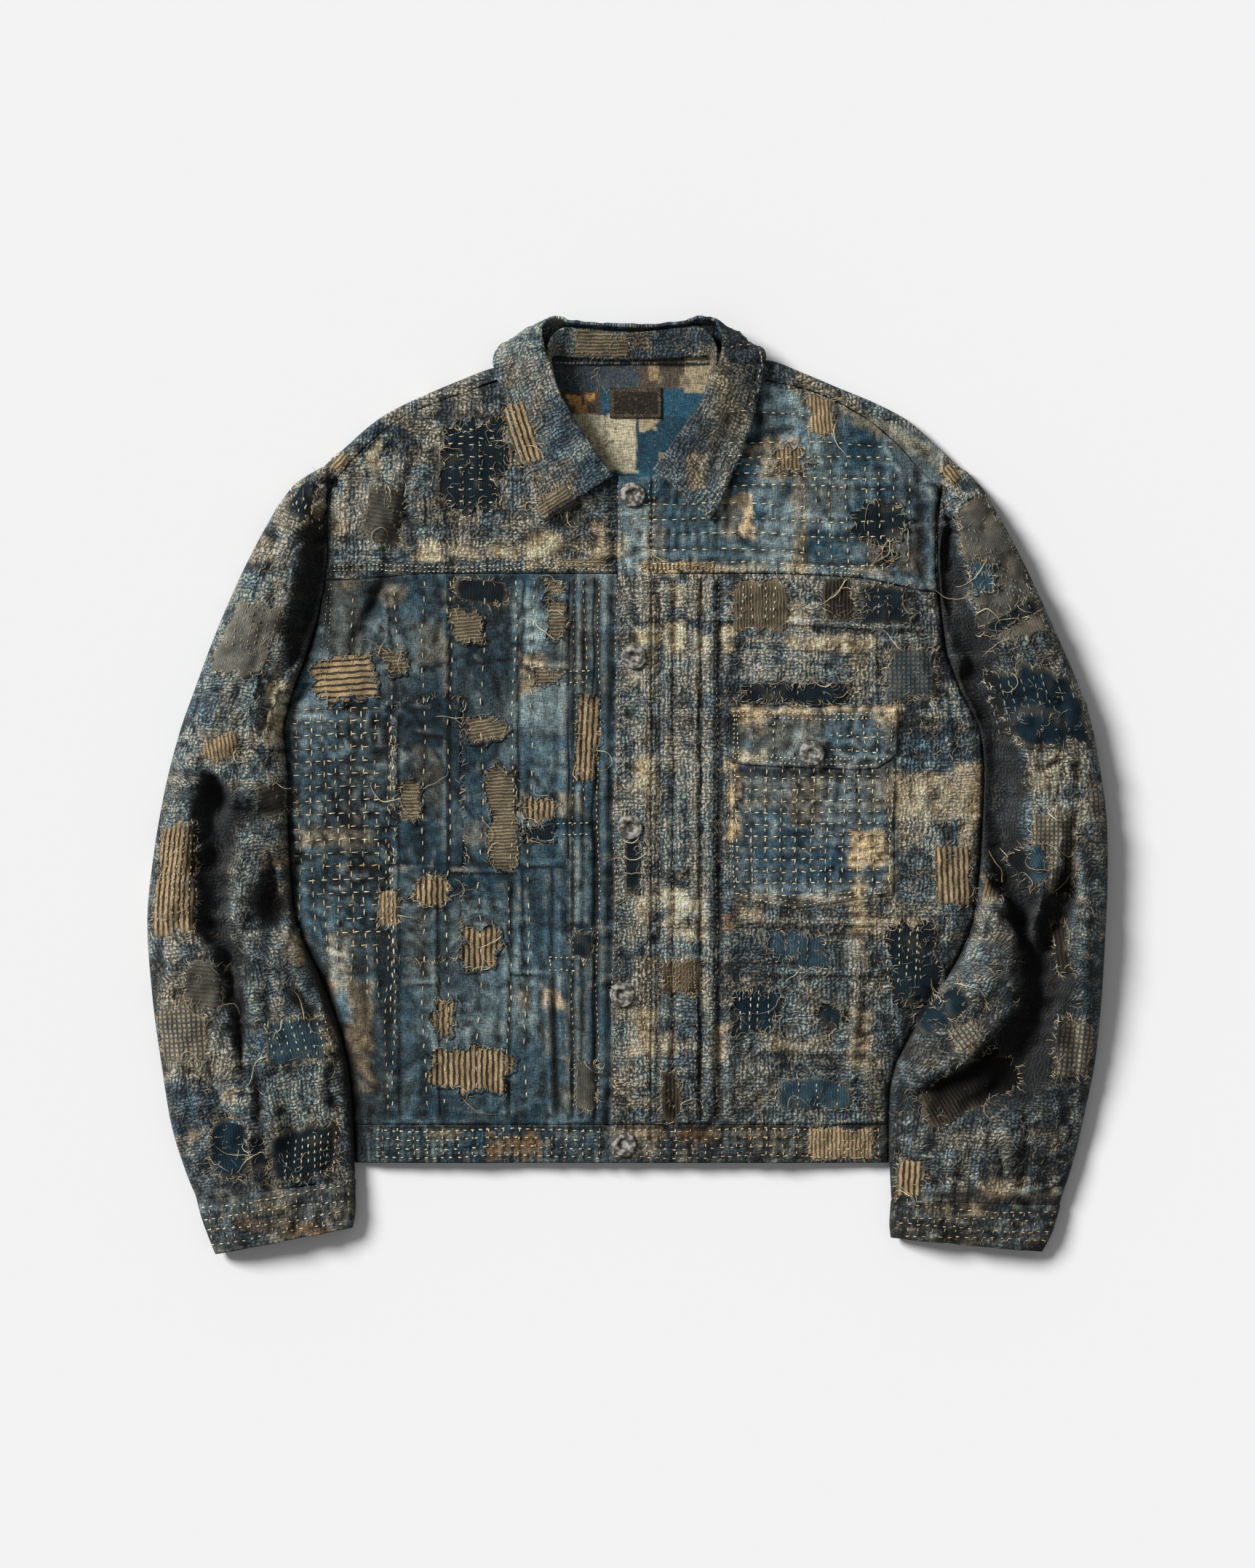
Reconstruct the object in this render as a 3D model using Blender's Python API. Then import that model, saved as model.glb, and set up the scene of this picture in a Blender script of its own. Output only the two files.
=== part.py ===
# Patched boro work jacket, lying flat on its back with the front up.
# Sizes are in millimetres until add_piece turns them into metres. X runs to the wearer's left,
# Y from the hem up to the collar and Z up from the surface, with the origin under the middle.
# The wearer's right side is at -X, because the front faces up.

import math

import bmesh
import bpy
import numpy as np
from mathutils import Vector
from mathutils.bvhtree import BVHTree

# Driving dimensions
MM = 0.001
SEAM = 0.3             # gap between pieces that are sewn edge to edge
CLOTH = 2.2            # wall of the quilted, layered cloth
BAND = 2.8             # waistband and cuffs, one more layer
COLLAR = 2.6           # two plies of the collar
PATCH = 1.1            # sewn-on patch
LIFT = 0.45            # clearance of a piece that lies on another
SLEEVE_LIFT = 0.7      # the same over the stronger curve of a sleeve
SLEEVE_SEAM = 8.0      # height of a sleeve's side edges above the surface
ARMHOLE_GAP = 2.6      # between the body's side and the sleeve beside it
LEAST_SLEEVE = 6.2     # lowest the upper sleeve cloth dips in a fold
YOKE_SEAM = 166.0
BACK_YOKE_SEAM = 190.0
WAIST_SEAM = -269.0
HEM = -299.0
NECK_EDGE = 333.0
BUTTON = 10.0          # radius of a button
OVERLAP_TOP, OVERLAP_BOTTOM = -7.0, -14.0   # x of the front edge at the neck and at the hem
OVERLAP_WIDTH = 33.0
UNDERLAP_DROP = CLOTH + 1.0
UNDERLAP_START, UNDERLAP_RUN = 8.0, 6.0     # where the step down begins and how wide it is
UNDERLAP_STEPS = (-12, -8, -2, 8, 24)       # columns of the right front beside that step
OVERLAP_STEPS = (0, 12, OVERLAP_WIDTH)      # columns of the left front under the button band
PLACKET = 1.6          # button band
STRIP = 1.4            # pleats and pocket
FLAP_CLOTH = 2.4
LINING = 1.5
LABEL_CLOTH = 0.8
STAND_CLOTH = 1.6
UNDER_TURN = 9.0       # how much of an under sleeve turns up at each side
BODY_ROUND, BODY_FADE = 5, 8                # how squarely the body's crown meets its side edges
SLEEVE_ROUND, SLEEVE_FADE = 2.8, 10         # the same for a sleeve, and for its folds
NECK_MIDDLE = np.array([4.0, 300.0, 0.0])
NEAR_SHOULDER = 235.0  # below this the yoke's side column keeps to the body's side edge

# Shares of the way across where the columns of a piece stand.
ACROSS_BACK = np.array([0.0, 0.34, 0.67, 1.0])
ACROSS_FRONT = np.array([0, 0.03, 0.09, 0.18, 0.3, 0.44, 0.6, 0.8])
ACROSS_BAND = np.array([0, 0.03, 0.09, 0.2, 0.4, 0.7])
ACROSS_UPPER = np.array([0, 0.035, 0.1, 0.2, 0.32, 0.44, 0.56, 0.68, 0.8, 0.9, 0.965, 1.0])
ACROSS_UNDER = np.array([0, 0.2, 0.4, 0.6, 0.8, 1.0])


def table(columns, rows):
    return {name: np.array([row[i] for row in rows], float) for i, name in enumerate(columns.split())}


# Outline of the body and its height: y, side edges, height of the edges and of the middle.
BODY = table("y right left edge crown", (
    (340, -229, 249, 11.5, 15.0),
    (243, -229, 249, 11.0, 16.0),
    (223, -236, 245, 10.5, 16.5),
    (177, -235, 243, 9.5, 17.0),
    (131, -243, 247, 8.5, 17.5),
    (102, -252, 251, 8.0, 17.5),
    (73, -263, 262, 7.5, 17.5),
    (45, -271, 278, 7.0, 17.5),
    (10, -267, 281, 6.5, 17.5),
    (-36, -267, 279, 6.5, 17.5),
    (-70, -265, 277, 6.5, 17.5),
    (-105, -262, 273, 6.5, 17.5),
    (-122, -256, 268, 6.5, 17.5),
    (-148, -243, 254, 6.5, 17.5),
    (-180, -232, 232, 6.5, 17.0),
    (-197, -225, 223, 6.5, 16.5),
    (-220, -220, 211, 6.5, 16.0),
    (-240, -217, 206, 6.5, 15.0),
    (-269, -215, 205, 6.5, 13.5),
    (-299, -214, 205, 6.0, 12.0)))

# Folds of the body: a line, how far the fold reaches from it and how high it stands.
BODY_FOLDS = table("x0 y0 x1 y1 reach height", (
    (-181, 268, -190, 206, 9, -8),
    (-190, 206, -199, 165, 9, -8),
    (-199, 165, -224, 106, 9, -7),
    (-208, 236, -214, 190, 10, 2.5),
    (-168, 150, -160, 40, 12, 1.5),
    (-150, -60, -166, -235, 12, 2),
    (-88, -110, -96, -240, 10, 1.5),
    (118, -120, 112, -245, 12, 2),
    (176, -125, 160, -240, 12, 1.8),
    (240, 40, 246, -80, 10, 2)))

# Sleeves: where each section starts at the outer edge and ends at the inner one, and its height.
SLEEVE_RIGHT = table("ox oy ix iy height", (
    (-241, 250, -230.5, 240, 15),
    (-254, 243, -237, 228, 19),
    (-267, 232, -238, 212, 25),
    (-286, 202, -238, 182, 31),
    (-305, 165, -240, 152, 34),
    (-325, 119, -250, 118, 35),
    (-344, 68, -266, 70, 34),
    (-354, 39, -274, 38, 33),
    (-365, -4, -270, -2, 33),
    (-374, -56, -269, -54, 34),
    (-379, -108, -263, -104, 34),
    (-375, -168, -245, -150, 32),
    (-368, -220, -228, -192, 30),
    (-360, -269, -219, -238, 28),
    (-349, -305, -216, -283, 25),
    (-340, -327, -215, -310, 22)))

SLEEVE_LEFT = table("ox oy ix iy height", (
    (266.5, 248.5, 250.5, 231.5, 15),
    (274, 240, 247, 220, 19),
    (283, 229, 245, 206, 24),
    (307, 186, 246, 176, 31),
    (328, 142, 250, 140, 34),
    (352, 88, 258, 90, 35),
    (365, 52, 274, 52, 34),
    (373, 12, 284, 14, 33),
    (378, -26, 282, -24, 33),
    (379, -72, 280, -66, 34),
    (377, -122, 273, -114, 34),
    (374, -172, 245, -164, 33),
    (369, -219, 221, -207, 31),
    (361, -259, 209, -247, 28),
    (352, -297, 207, -292, 25),
    (341, -331, 208, -327, 22)))

# The deep troughs and the ridges of each sleeve.
SLEEVE_RIGHT_FOLDS = table("x0 y0 x1 y1 reach height", (
    (-246, 215, -258, 150, 9, -15),
    (-258, 150, -282, 88, 10, -14),
    (-282, 88, -300, 52, 9, -9),
    (-252, 160, -276, 84, 7, 5),
    (-276, 100, -291, 30, 9, 6),
    (-318, 20, -336, -60, 13, -17),
    (-336, -60, -338, -138, 12, -14),
    (-328, -14, -274, -18, 7, -13),
    (-280, -66, -292, -130, 8, -14),
    (-280, -66, -262, -112, 7, -10),
    (-302, -70, -306, -118, 12, 5),
    (-300, 10, -286, -52, 12, 5),
    (-298, -150, -282, -220, 9, -7),
    (-272, -140, -240, -200, 8, -6),
    (-352, -120, -345, -260, 12, 4),
    (-322, -230, -316, -300, 8, -5),
    (-268, -230, -262, -300, 9, -5)))

SLEEVE_LEFT_FOLDS = table("x0 y0 x1 y1 reach height", (
    (256, 214, 260, 140, 9, -16),
    (260, 140, 274, 80, 10, -16),
    (274, 80, 294, 30, 10, -15),
    (294, 30, 296, -50, 10, -14),
    (304, -38, 300, -136, 8, -15),
    (336, -64, 326, -132, 8, -11),
    (318, -50, 322, -120, 10, 4),
    (282, -72, 310, -126, 9, 9),
    (310, -126, 300, -180, 9, 9),
    (300, -180, 246, -228, 10, 8),
    (278, -112, 258, -150, 8, -5),
    (240, -262, 290, -236, 13, -14),
    (290, -236, 340, -200, 14, -12),
    (362, 0, 364, -200, 12, 4),
    (330, 190, 356, 60, 14, 3),
    (262, -270, 256, -320, 9, 4),
    (318, -262, 310, -322, 8, -4)))

# Cuffs, from the sleeve seam to the open end.
CUFF_RIGHT = table("ox oy ix iy height", (
    (-339.5, -328.6, -214.8, -311.6, 22),
    (-336, -342, -215, -324, 23),
    (-331, -356, -215, -338, 22.5),
    (-325, -371, -217, -350, 20)))

CUFF_LEFT = table("ox oy ix iy height", (
    (341.2, -332.6, 208.2, -328.6, 22),
    (338, -344, 207.5, -338, 23),
    (334, -356, 207, -348, 22.5),
    (327, -369, 208, -358, 20)))

# Collar fall, from the wearer's right tip round the back of the neck to the left tip: the fold
# and the outer edge of each section, how far the cloth bows away from the neck near each, and
# how much it domes between them.
FALL = table("fx fy fz ex ey ez bow tuck dome", (
    (-11, 243, 21.5, -67, 208, 21.5, 0, 0, 2),
    (-23, 259, 24, -75, 229, 21.5, 0, 0, 3),
    (-37, 280, 27, -84, 257, 21.5, 0, 0, 4),
    (-51, 304, 30, -92, 284, 21.5, 1, 0, 5),
    (-61, 329, 32, -99, 309, 21.5, 2, 0, 5),
    (-66, 348, 32, -106, 332, 20, 3, 1, 5),
    (-67, 360, 30, -98, 345, 13, 5, 3, 4),
    (-58, 367, 24, -70, 341, 4, 7, 16, 1),
    (-36, 366, 16, -42, 338, 0.2, 9, 24, 0),
    (1, 362, 14.5, 1, 337, 0.2, 9, 24, 0),
    (39, 366, 16, 46, 338, 0.2, 9, 24, 0),
    (64, 368, 24, 76, 341, 4, 7, 16, 1),
    (73, 358, 30, 104, 345, 13, 5, 3, 4),
    (74, 344, 32, 110, 334, 20, 3, 1, 5),
    (70, 328, 32, 107, 315, 21.5, 2, 0, 5),
    (61, 307, 30, 99, 289, 21.5, 1, 0, 5),
    (48, 287, 27, 91, 263, 21.5, 0, 0, 4),
    (36, 270, 24.5, 81, 239, 21.5, 0, 0, 3),
    (27, 257, 23, 73, 220, 21.5, 0, 0, 2.5),
    (20, 248, 21.5, 66, 207, 21.5, 0, 0, 2)))

# Collar stand: its top edge under the fold and the neck seam below it.
STAND = table("tx ty tz bx by bz", (
    (-39, 278, 23.5, -41, 277, 20.5),
    (-52, 302, 26.5, -52, 301, 20.0),
    (-61, 328, 28.0, -58, 325, 19.0),
    (-61, 347, 25.0, -59, 337, 12.0),
    (-51, 359, 18.0, -48, 337, 9.0),
    (-30, 359, 12.0, -28, 336, 8.6),
    (1, 356, 11.0, 1, 335, 8.6),
    (34, 359, 12.0, 33, 336, 8.6),
    (57, 360, 18.0, 54, 337, 9.0),
    (68, 347, 25.0, 64, 337, 12.0),
    (69, 328, 28.0, 64, 325, 19.0),
    (61, 305, 26.5, 59, 304, 20.0),
    (49, 286, 23.5, 50, 285, 20.5)))

# Back yoke: its lower seam, the top edge where it turns over the shoulder, and the shoulder
# seam in front. Between the shoulders the neck edge only turns up.
SHOULDER_RIGHT = table("bx ox oy sx sy", (
    (-235, -239, 252, -228.5, 241.5),
    (-218, -222, 267, -214, 259),
    (-196, -200, 286, -191, 280),
    (-176, -180, 298, -174, 291.5),
    (-152, -154, 310, -151, 301),
    (-124, -125, 322, -122, 311),
    (-108, -109, 328, -108, 317),
    (-90, -90, 332, -88, 322)))
NECK_BACK = table("bx ox", ((-72, -72), (-40, -40), (2, 2), (44, 44), (78, 78)))
SHOULDER_LEFT = table("bx ox oy sx sy", (
    (94, 96, 334, 94, 323),
    (112, 114, 334.5, 112, 318),
    (140, 141, 324, 139, 312),
    (166, 167, 313, 165, 302),
    (192, 196, 301, 192, 286),
    (214, 222, 287, 214, 267),
    (232, 245, 267, 230, 249),
    (243, 263, 249.5, 246, 233)))

# Front yokes: each column from the shoulder seam or the neckline down to the yoke seam.
YOKE_RIGHT = table("tx ty bx by", (
    (-228.5, 241.5, -235, 161),
    (-221.25, 250.25, -226, 161),
    (-214, 259, -214, 161),
    (-202.5, 269.5, -203, 162),
    (-191, 280, -192, 163),
    (-182.5, 285.75, -184, 164),
    (-174, 291.5, -174, 165),
    (-151, 301, -151, 166),
    (-122, 311, -122, 166),
    (-88, 322, -88, 166),
    (-74, 322, -70, 166),
    (-64, 309, -52, 166),
    (-50, 286, -36, 166),
    (-36, 263, -26, 166)))
YOKE_LEFT = table("tx ty bx by", (
    (37, 257, 30, 166),
    (51, 279, 42, 166),
    (65, 303, 56, 166),
    (80, 320, 74, 166),
    (94, 323, 92, 166),
    (112, 318, 110, 166),
    (139, 312, 137, 165.5),
    (165, 302, 163, 164),
    (192, 286, 190, 162),
    (214, 267, 212, 157),
    (230, 249, 230, 152.5),
    (238, 241, 240, 151.5),
    (246, 233, 246.5, 151)))

# Sewn-on pieces: each column from its top to its bottom edge.
POCKET = table("tx ty bx by", (
    (81, 57, 81, -87), (92, 57, 92, -90), (112, 57, 112, -95), (131, 57, 131, -99),
    (158, 57, 158, -95), (185, 57, 184, -91), (212, 57, 210, -88)))
FLAP = table("tx ty bx by", (
    (80, 60, 80, 18), (92, 60.5, 92, 15.5), (112, 60.5, 112, 14.5), (131, 60.5, 131, 13.5),
    (158, 60, 158, 12.5), (180, 60, 180, 11.5), (197, 59.5, 197, 13), (206, 59.5, 206, 18),
    (213, 59, 212, 24)))
LABEL = table("tx ty bx by", (
    (-14, 313, -14, 289), (0, 313, 0, 289), (13, 313, 13, 289), (27, 313, 27, 289)))

PATCHES = table("left right top bottom panel", (
    (-146, -98, 288, 214, 0),
    (-184, -130, 66, -138, 1),
    (-111, -87, 14, -68, 1),
    (-154, -93, -206, -244, 1),
    (90, 176, 79, 63, 2),
    (204, 243, 106, 66, 2),
    (81, 121, -160, -198, 2),
    (204, 225, -122, -168, 2),
    (142, 163, 306, 276, 3),
    (176, 222, 222, 190, 3)))
PATCH_NAMES = (
    "patch_yoke_right_indigo", "patch_front_right_grid", "patch_front_right_cord",
    "patch_front_right_stripe", "patch_front_left_navy", "patch_front_left_check",
    "patch_front_left_window", "patch_front_left_indigo", "patch_yoke_left_cord",
    "patch_yoke_left_inlay")

SLEEVE_PATCHES = table("side start end outer inner", (
    (0, 0.10, 0.19, 0.34, 0.80),
    (0, 0.31, 0.39, 0.20, 0.78),
    (0, 0.60, 0.73, 0.2, 0.46),
    (0, 0.90, 0.97, 0.42, 0.86),
    (1, 0.15, 0.29, 0.30, 0.86),
    (1, 0.33, 0.43, 0.16, 0.80),
    (1, 0.53, 0.60, 0.28, 0.66)))
SLEEVE_PATCH_NAMES = (
    "patch_sleeve_right_indigo", "patch_sleeve_right_grey", "patch_sleeve_right_stripe",
    "patch_sleeve_right_lower", "patch_sleeve_left_grey", "patch_sleeve_left_indigo",
    "patch_sleeve_left_check")

BUTTON_SPOTS = table("x y", ((4, 228), (5, 100), (2, -34), (-4, -166), (-3, -284)))
FLAP_BUTTON = (145, 24)

# Half profile of a ring-headed button, from the middle of its face out and round to its back.
BUTTON_PROFILE = table("r z", (
    (0.31, 1.0), (0.40, 2.5), (0.62, 3.6), (0.86, 3.0), (1.0, 1.5), (0.93, 0.0)))

# Colour and roughness of each finish.
FINISHES = {
    "indigo_cloth": (0.045, 0.085, 0.125, 0.9),
    "faded_cloth": (0.10, 0.16, 0.20, 0.9),
    "plaid_cloth": (0.12, 0.14, 0.15, 0.92),
    "dark_cloth": (0.012, 0.018, 0.028, 0.9),
    "cord_cloth": (0.16, 0.13, 0.09, 0.92),
    "grey_cloth": (0.10, 0.09, 0.07, 0.92),
    "lining_cloth": (0.07, 0.08, 0.09, 0.85),
    "label_cloth": (0.05, 0.04, 0.03, 0.8)}
BUTTON_FINISH = (0.30, 0.28, 0.24, 0.42)

materials = {}
surfaces = {}          # highest faces of each panel, for what lies on it


def clear_scene():
    for item in list(bpy.data.objects):
        bpy.data.objects.remove(item, do_unlink=True)


def material(name, values, metallic=0.0):
    if name not in materials:
        made = bpy.data.materials.new(name)
        made.use_nodes = True
        shader = made.node_tree.nodes["Principled BSDF"]
        shader.inputs["Base Color"].default_value = (*values[:3], 1.0)
        shader.inputs["Roughness"].default_value = values[3]
        shader.inputs["Metallic"].default_value = metallic
        materials[name] = made
    return materials[name]


def add_piece(name, vertices, faces, finish):
    mesh = bpy.data.meshes.new(name)
    mesh.from_pydata([tuple(np.asarray(v) * MM) for v in vertices], [], faces)
    shape = bmesh.new()
    shape.from_mesh(mesh)
    bmesh.ops.recalc_face_normals(shape, faces=shape.faces)
    shape.to_mesh(mesh)
    shape.free()
    piece = bpy.data.objects.new(name, mesh)
    bpy.context.scene.collection.objects.link(piece)
    if finish == "button_metal":
        mesh.materials.append(material(finish, BUTTON_FINISH, 0.8))
        mesh.shade_smooth()
        mesh.set_sharp_from_angle(angle=math.radians(50))
    else:
        mesh.materials.append(material(finish, FINISHES[finish]))
    return piece


def strip_faces(first, second, flip=False):
    faces = []
    for a, b, c, d in zip(first[:-1], first[1:], second[1:], second[:-1]):
        faces += [(a, b, c), (a, c, d)] if not flip else [(c, b, a), (d, c, a)]
    return faces


def shell(name, face, back, finish, tube=False):
    # A wall of cloth between two matching grids of points, closed round its rim.
    rows, columns = face.shape[:2]
    number = np.arange(rows * columns).reshape(rows, columns)
    if tube:
        number = np.hstack([number, number[:, :1]])
    under = number + rows * columns
    faces = []
    for i in range(rows - 1):
        faces += strip_faces(number[i], number[i + 1])
        faces += strip_faces(under[i], under[i + 1], flip=True)
    faces += strip_faces(under[0], number[0])
    faces += strip_faces(number[-1], under[-1])
    if not tube:
        faces += strip_faces(number[:, 0], under[:, 0])
        faces += strip_faces(under[:, -1], number[:, -1])
    faces = [tuple(int(v) for v in f) for f in faces]
    points = np.vstack([face.reshape(-1, 3), back.reshape(-1, 3)])
    surfaces[name] = BVHTree.FromPolygons([tuple(p) for p in points], faces)
    return add_piece(name, points, faces, finish)


def height_under(names, x, y, reach=0.0):
    # Highest point of the named panels at a spot, or close round it.
    spots = [(0, 0)]
    if reach:
        turns = np.linspace(0, 2 * math.pi, 9)[:-1]
        spots += [(reach * math.cos(a), reach * math.sin(a)) for a in turns]
    best = -1.0
    for dx, dy in spots:
        for name in names:
            hit = surfaces[name].ray_cast(Vector((x + dx, y + dy, 200)), Vector((0, 0, -1)))
            if hit[0]:
                best = max(best, hit[0].z)
    return best


def smooth(values, count):
    # Values read at even steps along a smooth curve through the rows of a table.
    slopes = np.gradient(values)
    at = np.linspace(0, len(values) - 1, count)
    k = np.minimum(at.astype(int), len(values) - 2)
    f = at - k
    return ((1 + 2 * f) * (1 - f) ** 2 * values[k] + f * (1 - f) ** 2 * slopes[k]
            + f * f * (3 - 2 * f) * values[k + 1] + f * f * (f - 1) * slopes[k + 1])


def fold_height(folds, x, y):
    # Where folds meet, the deepest trough and the highest ridge hold.
    trough, ridge = np.zeros_like(x), np.zeros_like(x)
    for x0, y0, x1, y1, reach, height in zip(*folds.values()):
        length = math.hypot(x1 - x0, y1 - y0)
        run = ((x - x0) * (x1 - x0) + (y - y0) * (y1 - y0)) / length ** 2
        near = np.clip(run, 0, 1)
        gap = np.hypot(x - x0 - near * (x1 - x0), y - y0 - near * (y1 - y0))
        rise = height * np.exp(-(gap / reach) ** 2)
        trough, ridge = np.minimum(trough, rise), np.maximum(ridge, rise)
    return trough + ridge


def body_edge(side, y):
    return np.interp(y, BODY["y"][::-1], BODY[side][::-1])


def body_height(x, y):
    right, left = body_edge("right", y), body_edge("left", y)
    edge, crown = body_edge("edge", y), body_edge("crown", y)
    across = np.clip(np.abs((x - (right + left) / 2) / ((left - right) / 2)), 0, 1)
    swell = (crown - edge) * np.sqrt(1 - across ** BODY_ROUND)
    return edge + swell + fold_height(BODY_FOLDS, x, y) * (1 - across ** BODY_FADE)


def overlap_edge(y):
    return np.interp(y, (HEM, 243.0), (OVERLAP_BOTTOM, OVERLAP_TOP))


def underlap(x, y):
    # The wearer's right front steps down where the left front laps over it.
    step = np.clip((x - overlap_edge(y) + UNDERLAP_START) / UNDERLAP_RUN, 0, 1)
    return UNDERLAP_DROP * step * step * (3 - 2 * step)


def stack(x, y, z):
    return np.stack([x, y, z], axis=-1)


def lay_on_back(name, x, y, thickness, finish, steps_down=False):
    z = body_height(x, y) - (underlap(x, y) if steps_down else 0.0)
    shell(name, stack(x, y, z), stack(x, y, z - thickness), finish)


def columns_down(sheet, rows, top_gap=0.0, bottom_gap=0.0):
    down = np.linspace(0, 1, rows)[:, None]
    length = np.hypot(sheet["tx"] - sheet["bx"], sheet["ty"] - sheet["by"])
    down = top_gap / length + down * (1 - (top_gap + bottom_gap) / length)
    return (sheet["tx"] + (sheet["bx"] - sheet["tx"]) * down,
            sheet["ty"] + (sheet["by"] - sheet["ty"]) * down)


def add_columns(sheet, rows, at_end):
    extra = table("tx ty bx by", rows)
    order = (sheet, extra) if at_end else (extra, sheet)
    return {name: np.concatenate([part[name] for part in order]) for name in sheet}


def make_back():
    levels = BODY["y"][(BODY["y"] < BACK_YOKE_SEAM - 5) & (BODY["y"] > WAIST_SEAM)]
    panel = np.concatenate([[BACK_YOKE_SEAM - SEAM], levels, [WAIST_SEAM + SEAM]])
    band = np.array([WAIST_SEAM - SEAM, HEM])
    for name, rows, thickness, finish in (("back_panel", panel, CLOTH, "plaid_cloth"),
                                          ("waistband_back", band, BAND, "faded_cloth")):
        right, left = body_edge("right", rows)[:, None], body_edge("left", rows)[:, None]
        x = right + (left - right) * ACROSS_BACK
        y = rows[:, None] + 0 * x
        shell(name, stack(x, y, 0 * x), stack(x, y, 0 * x + thickness), finish)


def shoulder_path(bx, ox, oy, sx, sy):
    # From the lower seam flat to the top edge, round it, and forward to the shoulder seam.
    reach = math.hypot(ox - sx, oy - sy)
    inward = ((sx - ox) / reach, (sy - oy) / reach)
    top = float(body_height(np.array(sx), np.array(sy)))
    steps = ((max(8.5, 0.85 * reach), 0.0), (4.5, 0.4), (1.2, 2.6), (0.0, 0.42 * top), (1.2, 0.72 * top),
             (4.0, 0.92 * top))
    middle = (BACK_YOKE_SEAM + sy) / 2
    mx = float(np.clip((bx + sx) / 2, body_edge("right", middle), body_edge("left", middle)))
    path = [(bx, BACK_YOKE_SEAM + SEAM, 0.0), (mx, middle, 0.0)]
    path += [(ox + inward[0] * d, oy + inward[1] * d, z) for d, z in steps]
    return path + [(sx - inward[0] * SEAM, sy - inward[1] * SEAM, top)]


def neck_path(bx, ox):
    steps = ((8.0, 0.0), (4.0, 0.3), (1.2, 1.2), (0.2, 2.8), (0.0, 4.4), (0.0, 5.8), (0.0, 7.2))
    path = [(bx, BACK_YOKE_SEAM + SEAM, 0.0), ((bx + ox) / 2, (BACK_YOKE_SEAM + NECK_EDGE) / 2, 0.0)]
    return path + [(ox, NECK_EDGE - d, z) for d, z in steps]


def wall_inside(face, thickness, tube=False):
    # The same grid moved in by the wall, along the surface's own normals.
    run = np.gradient(face, axis=0)
    if tube:
        across = (np.roll(face, -1, axis=1) - np.roll(face, 1, axis=1)) / 2
    else:
        across = np.gradient(face, axis=1)
    normal = np.cross(across, run)
    normal /= np.linalg.norm(normal, axis=-1, keepdims=True)
    return face - normal * thickness


def make_back_yoke():
    paths = [shoulder_path(*row) for row in zip(*SHOULDER_RIGHT.values())]
    paths += [neck_path(*row) for row in zip(*NECK_BACK.values())]
    paths += [shoulder_path(*row) for row in zip(*SHOULDER_LEFT.values())]
    face = np.array(paths)
    back = wall_inside(face, CLOTH)
    back[..., 2] = np.where(face[..., 2] == 0, CLOTH, back[..., 2])
    on_right, on_left = len(SHOULDER_RIGHT["bx"]), len(SHOULDER_LEFT["bx"])
    for seam in (slice(0, on_right), slice(-on_left, None)):
        back[seam, -1] = face[seam, -1] - np.array([0, 0, CLOTH])
    shell("back_yoke", face, back, "plaid_cloth")


def make_lining():
    rows = np.array([325, 300, 262, 226])[:, None]
    x = np.array([-66, -34, 2, 38, 72])[None, :] + 0 * rows
    y = rows + 0 * x
    low = CLOTH + LIFT
    shell("neck_lining", stack(x, y, 0 * x + low + LINING), stack(x, y, 0 * x + low), "lining_cloth")
    x, y = columns_down(LABEL, 3)
    low += LINING + SEAM
    shell("label", stack(x, y, 0 * x + low + LABEL_CLOTH), stack(x, y, 0 * x + low), "label_cloth")


def make_yokes():
    edge = float(overlap_edge(YOKE_SEAM))
    under = ((-21.0, 247.0, edge - 12, YOKE_SEAM), (-15.5, 242.0, edge - 8, YOKE_SEAM),
             (-9.5, 240.0, edge - 2, YOKE_SEAM), (4.0, 239.0, edge + 10, YOKE_SEAM),
             (18.0, 239.0, edge + 26, YOKE_SEAM))
    over = ((OVERLAP_TOP, 243.0, edge, YOKE_SEAM), (6.0, 243.0, edge + 14, YOKE_SEAM),
            (20.0, 243.0, edge + OVERLAP_WIDTH - 8, YOKE_SEAM))
    x, y = columns_down(add_columns(YOKE_RIGHT, under, True), 6, SEAM, SEAM)
    x[:, 0] = np.where(y[:, 0] < NEAR_SHOULDER, body_edge("right", y[:, 0]), x[:, 0])
    lay_on_back("front_yoke_right", x, y, CLOTH, "plaid_cloth", steps_down=True)
    x, y = columns_down(add_columns(YOKE_LEFT, over, False), 6, SEAM, SEAM)
    x[:, -1] = np.where(y[:, -1] < NEAR_SHOULDER - 10, body_edge("left", y[:, -1]), x[:, -1])
    lay_on_back("front_yoke_left", x, y, CLOTH, "indigo_cloth")


def make_lower_fronts():
    # The top row follows the yoke seam, which drops towards the armhole.
    levels = BODY["y"][(BODY["y"] < YOKE_SEAM - 20) & (BODY["y"] > WAIST_SEAM)]
    for side, seam, steps, finish in (("right", YOKE_RIGHT, UNDERLAP_STEPS, "faded_cloth"),
                                      ("left", YOKE_LEFT, OVERLAP_STEPS, "plaid_cloth")):
        armhole = seam["by"].min()
        rows = np.concatenate([[armhole], levels, [WAIST_SEAM + SEAM]])
        x, y = body_columns(side, rows, ACROSS_FRONT, steps)
        before, after = (YOKE_SEAM, armhole) if side == "left" else (armhole, YOKE_SEAM)
        y[0] = np.interp(x[0], seam["bx"], seam["by"], left=before, right=after) - SEAM
        lay_on_back("front_" + side, x, y, CLOTH, finish, steps_down=side == "right")


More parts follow.
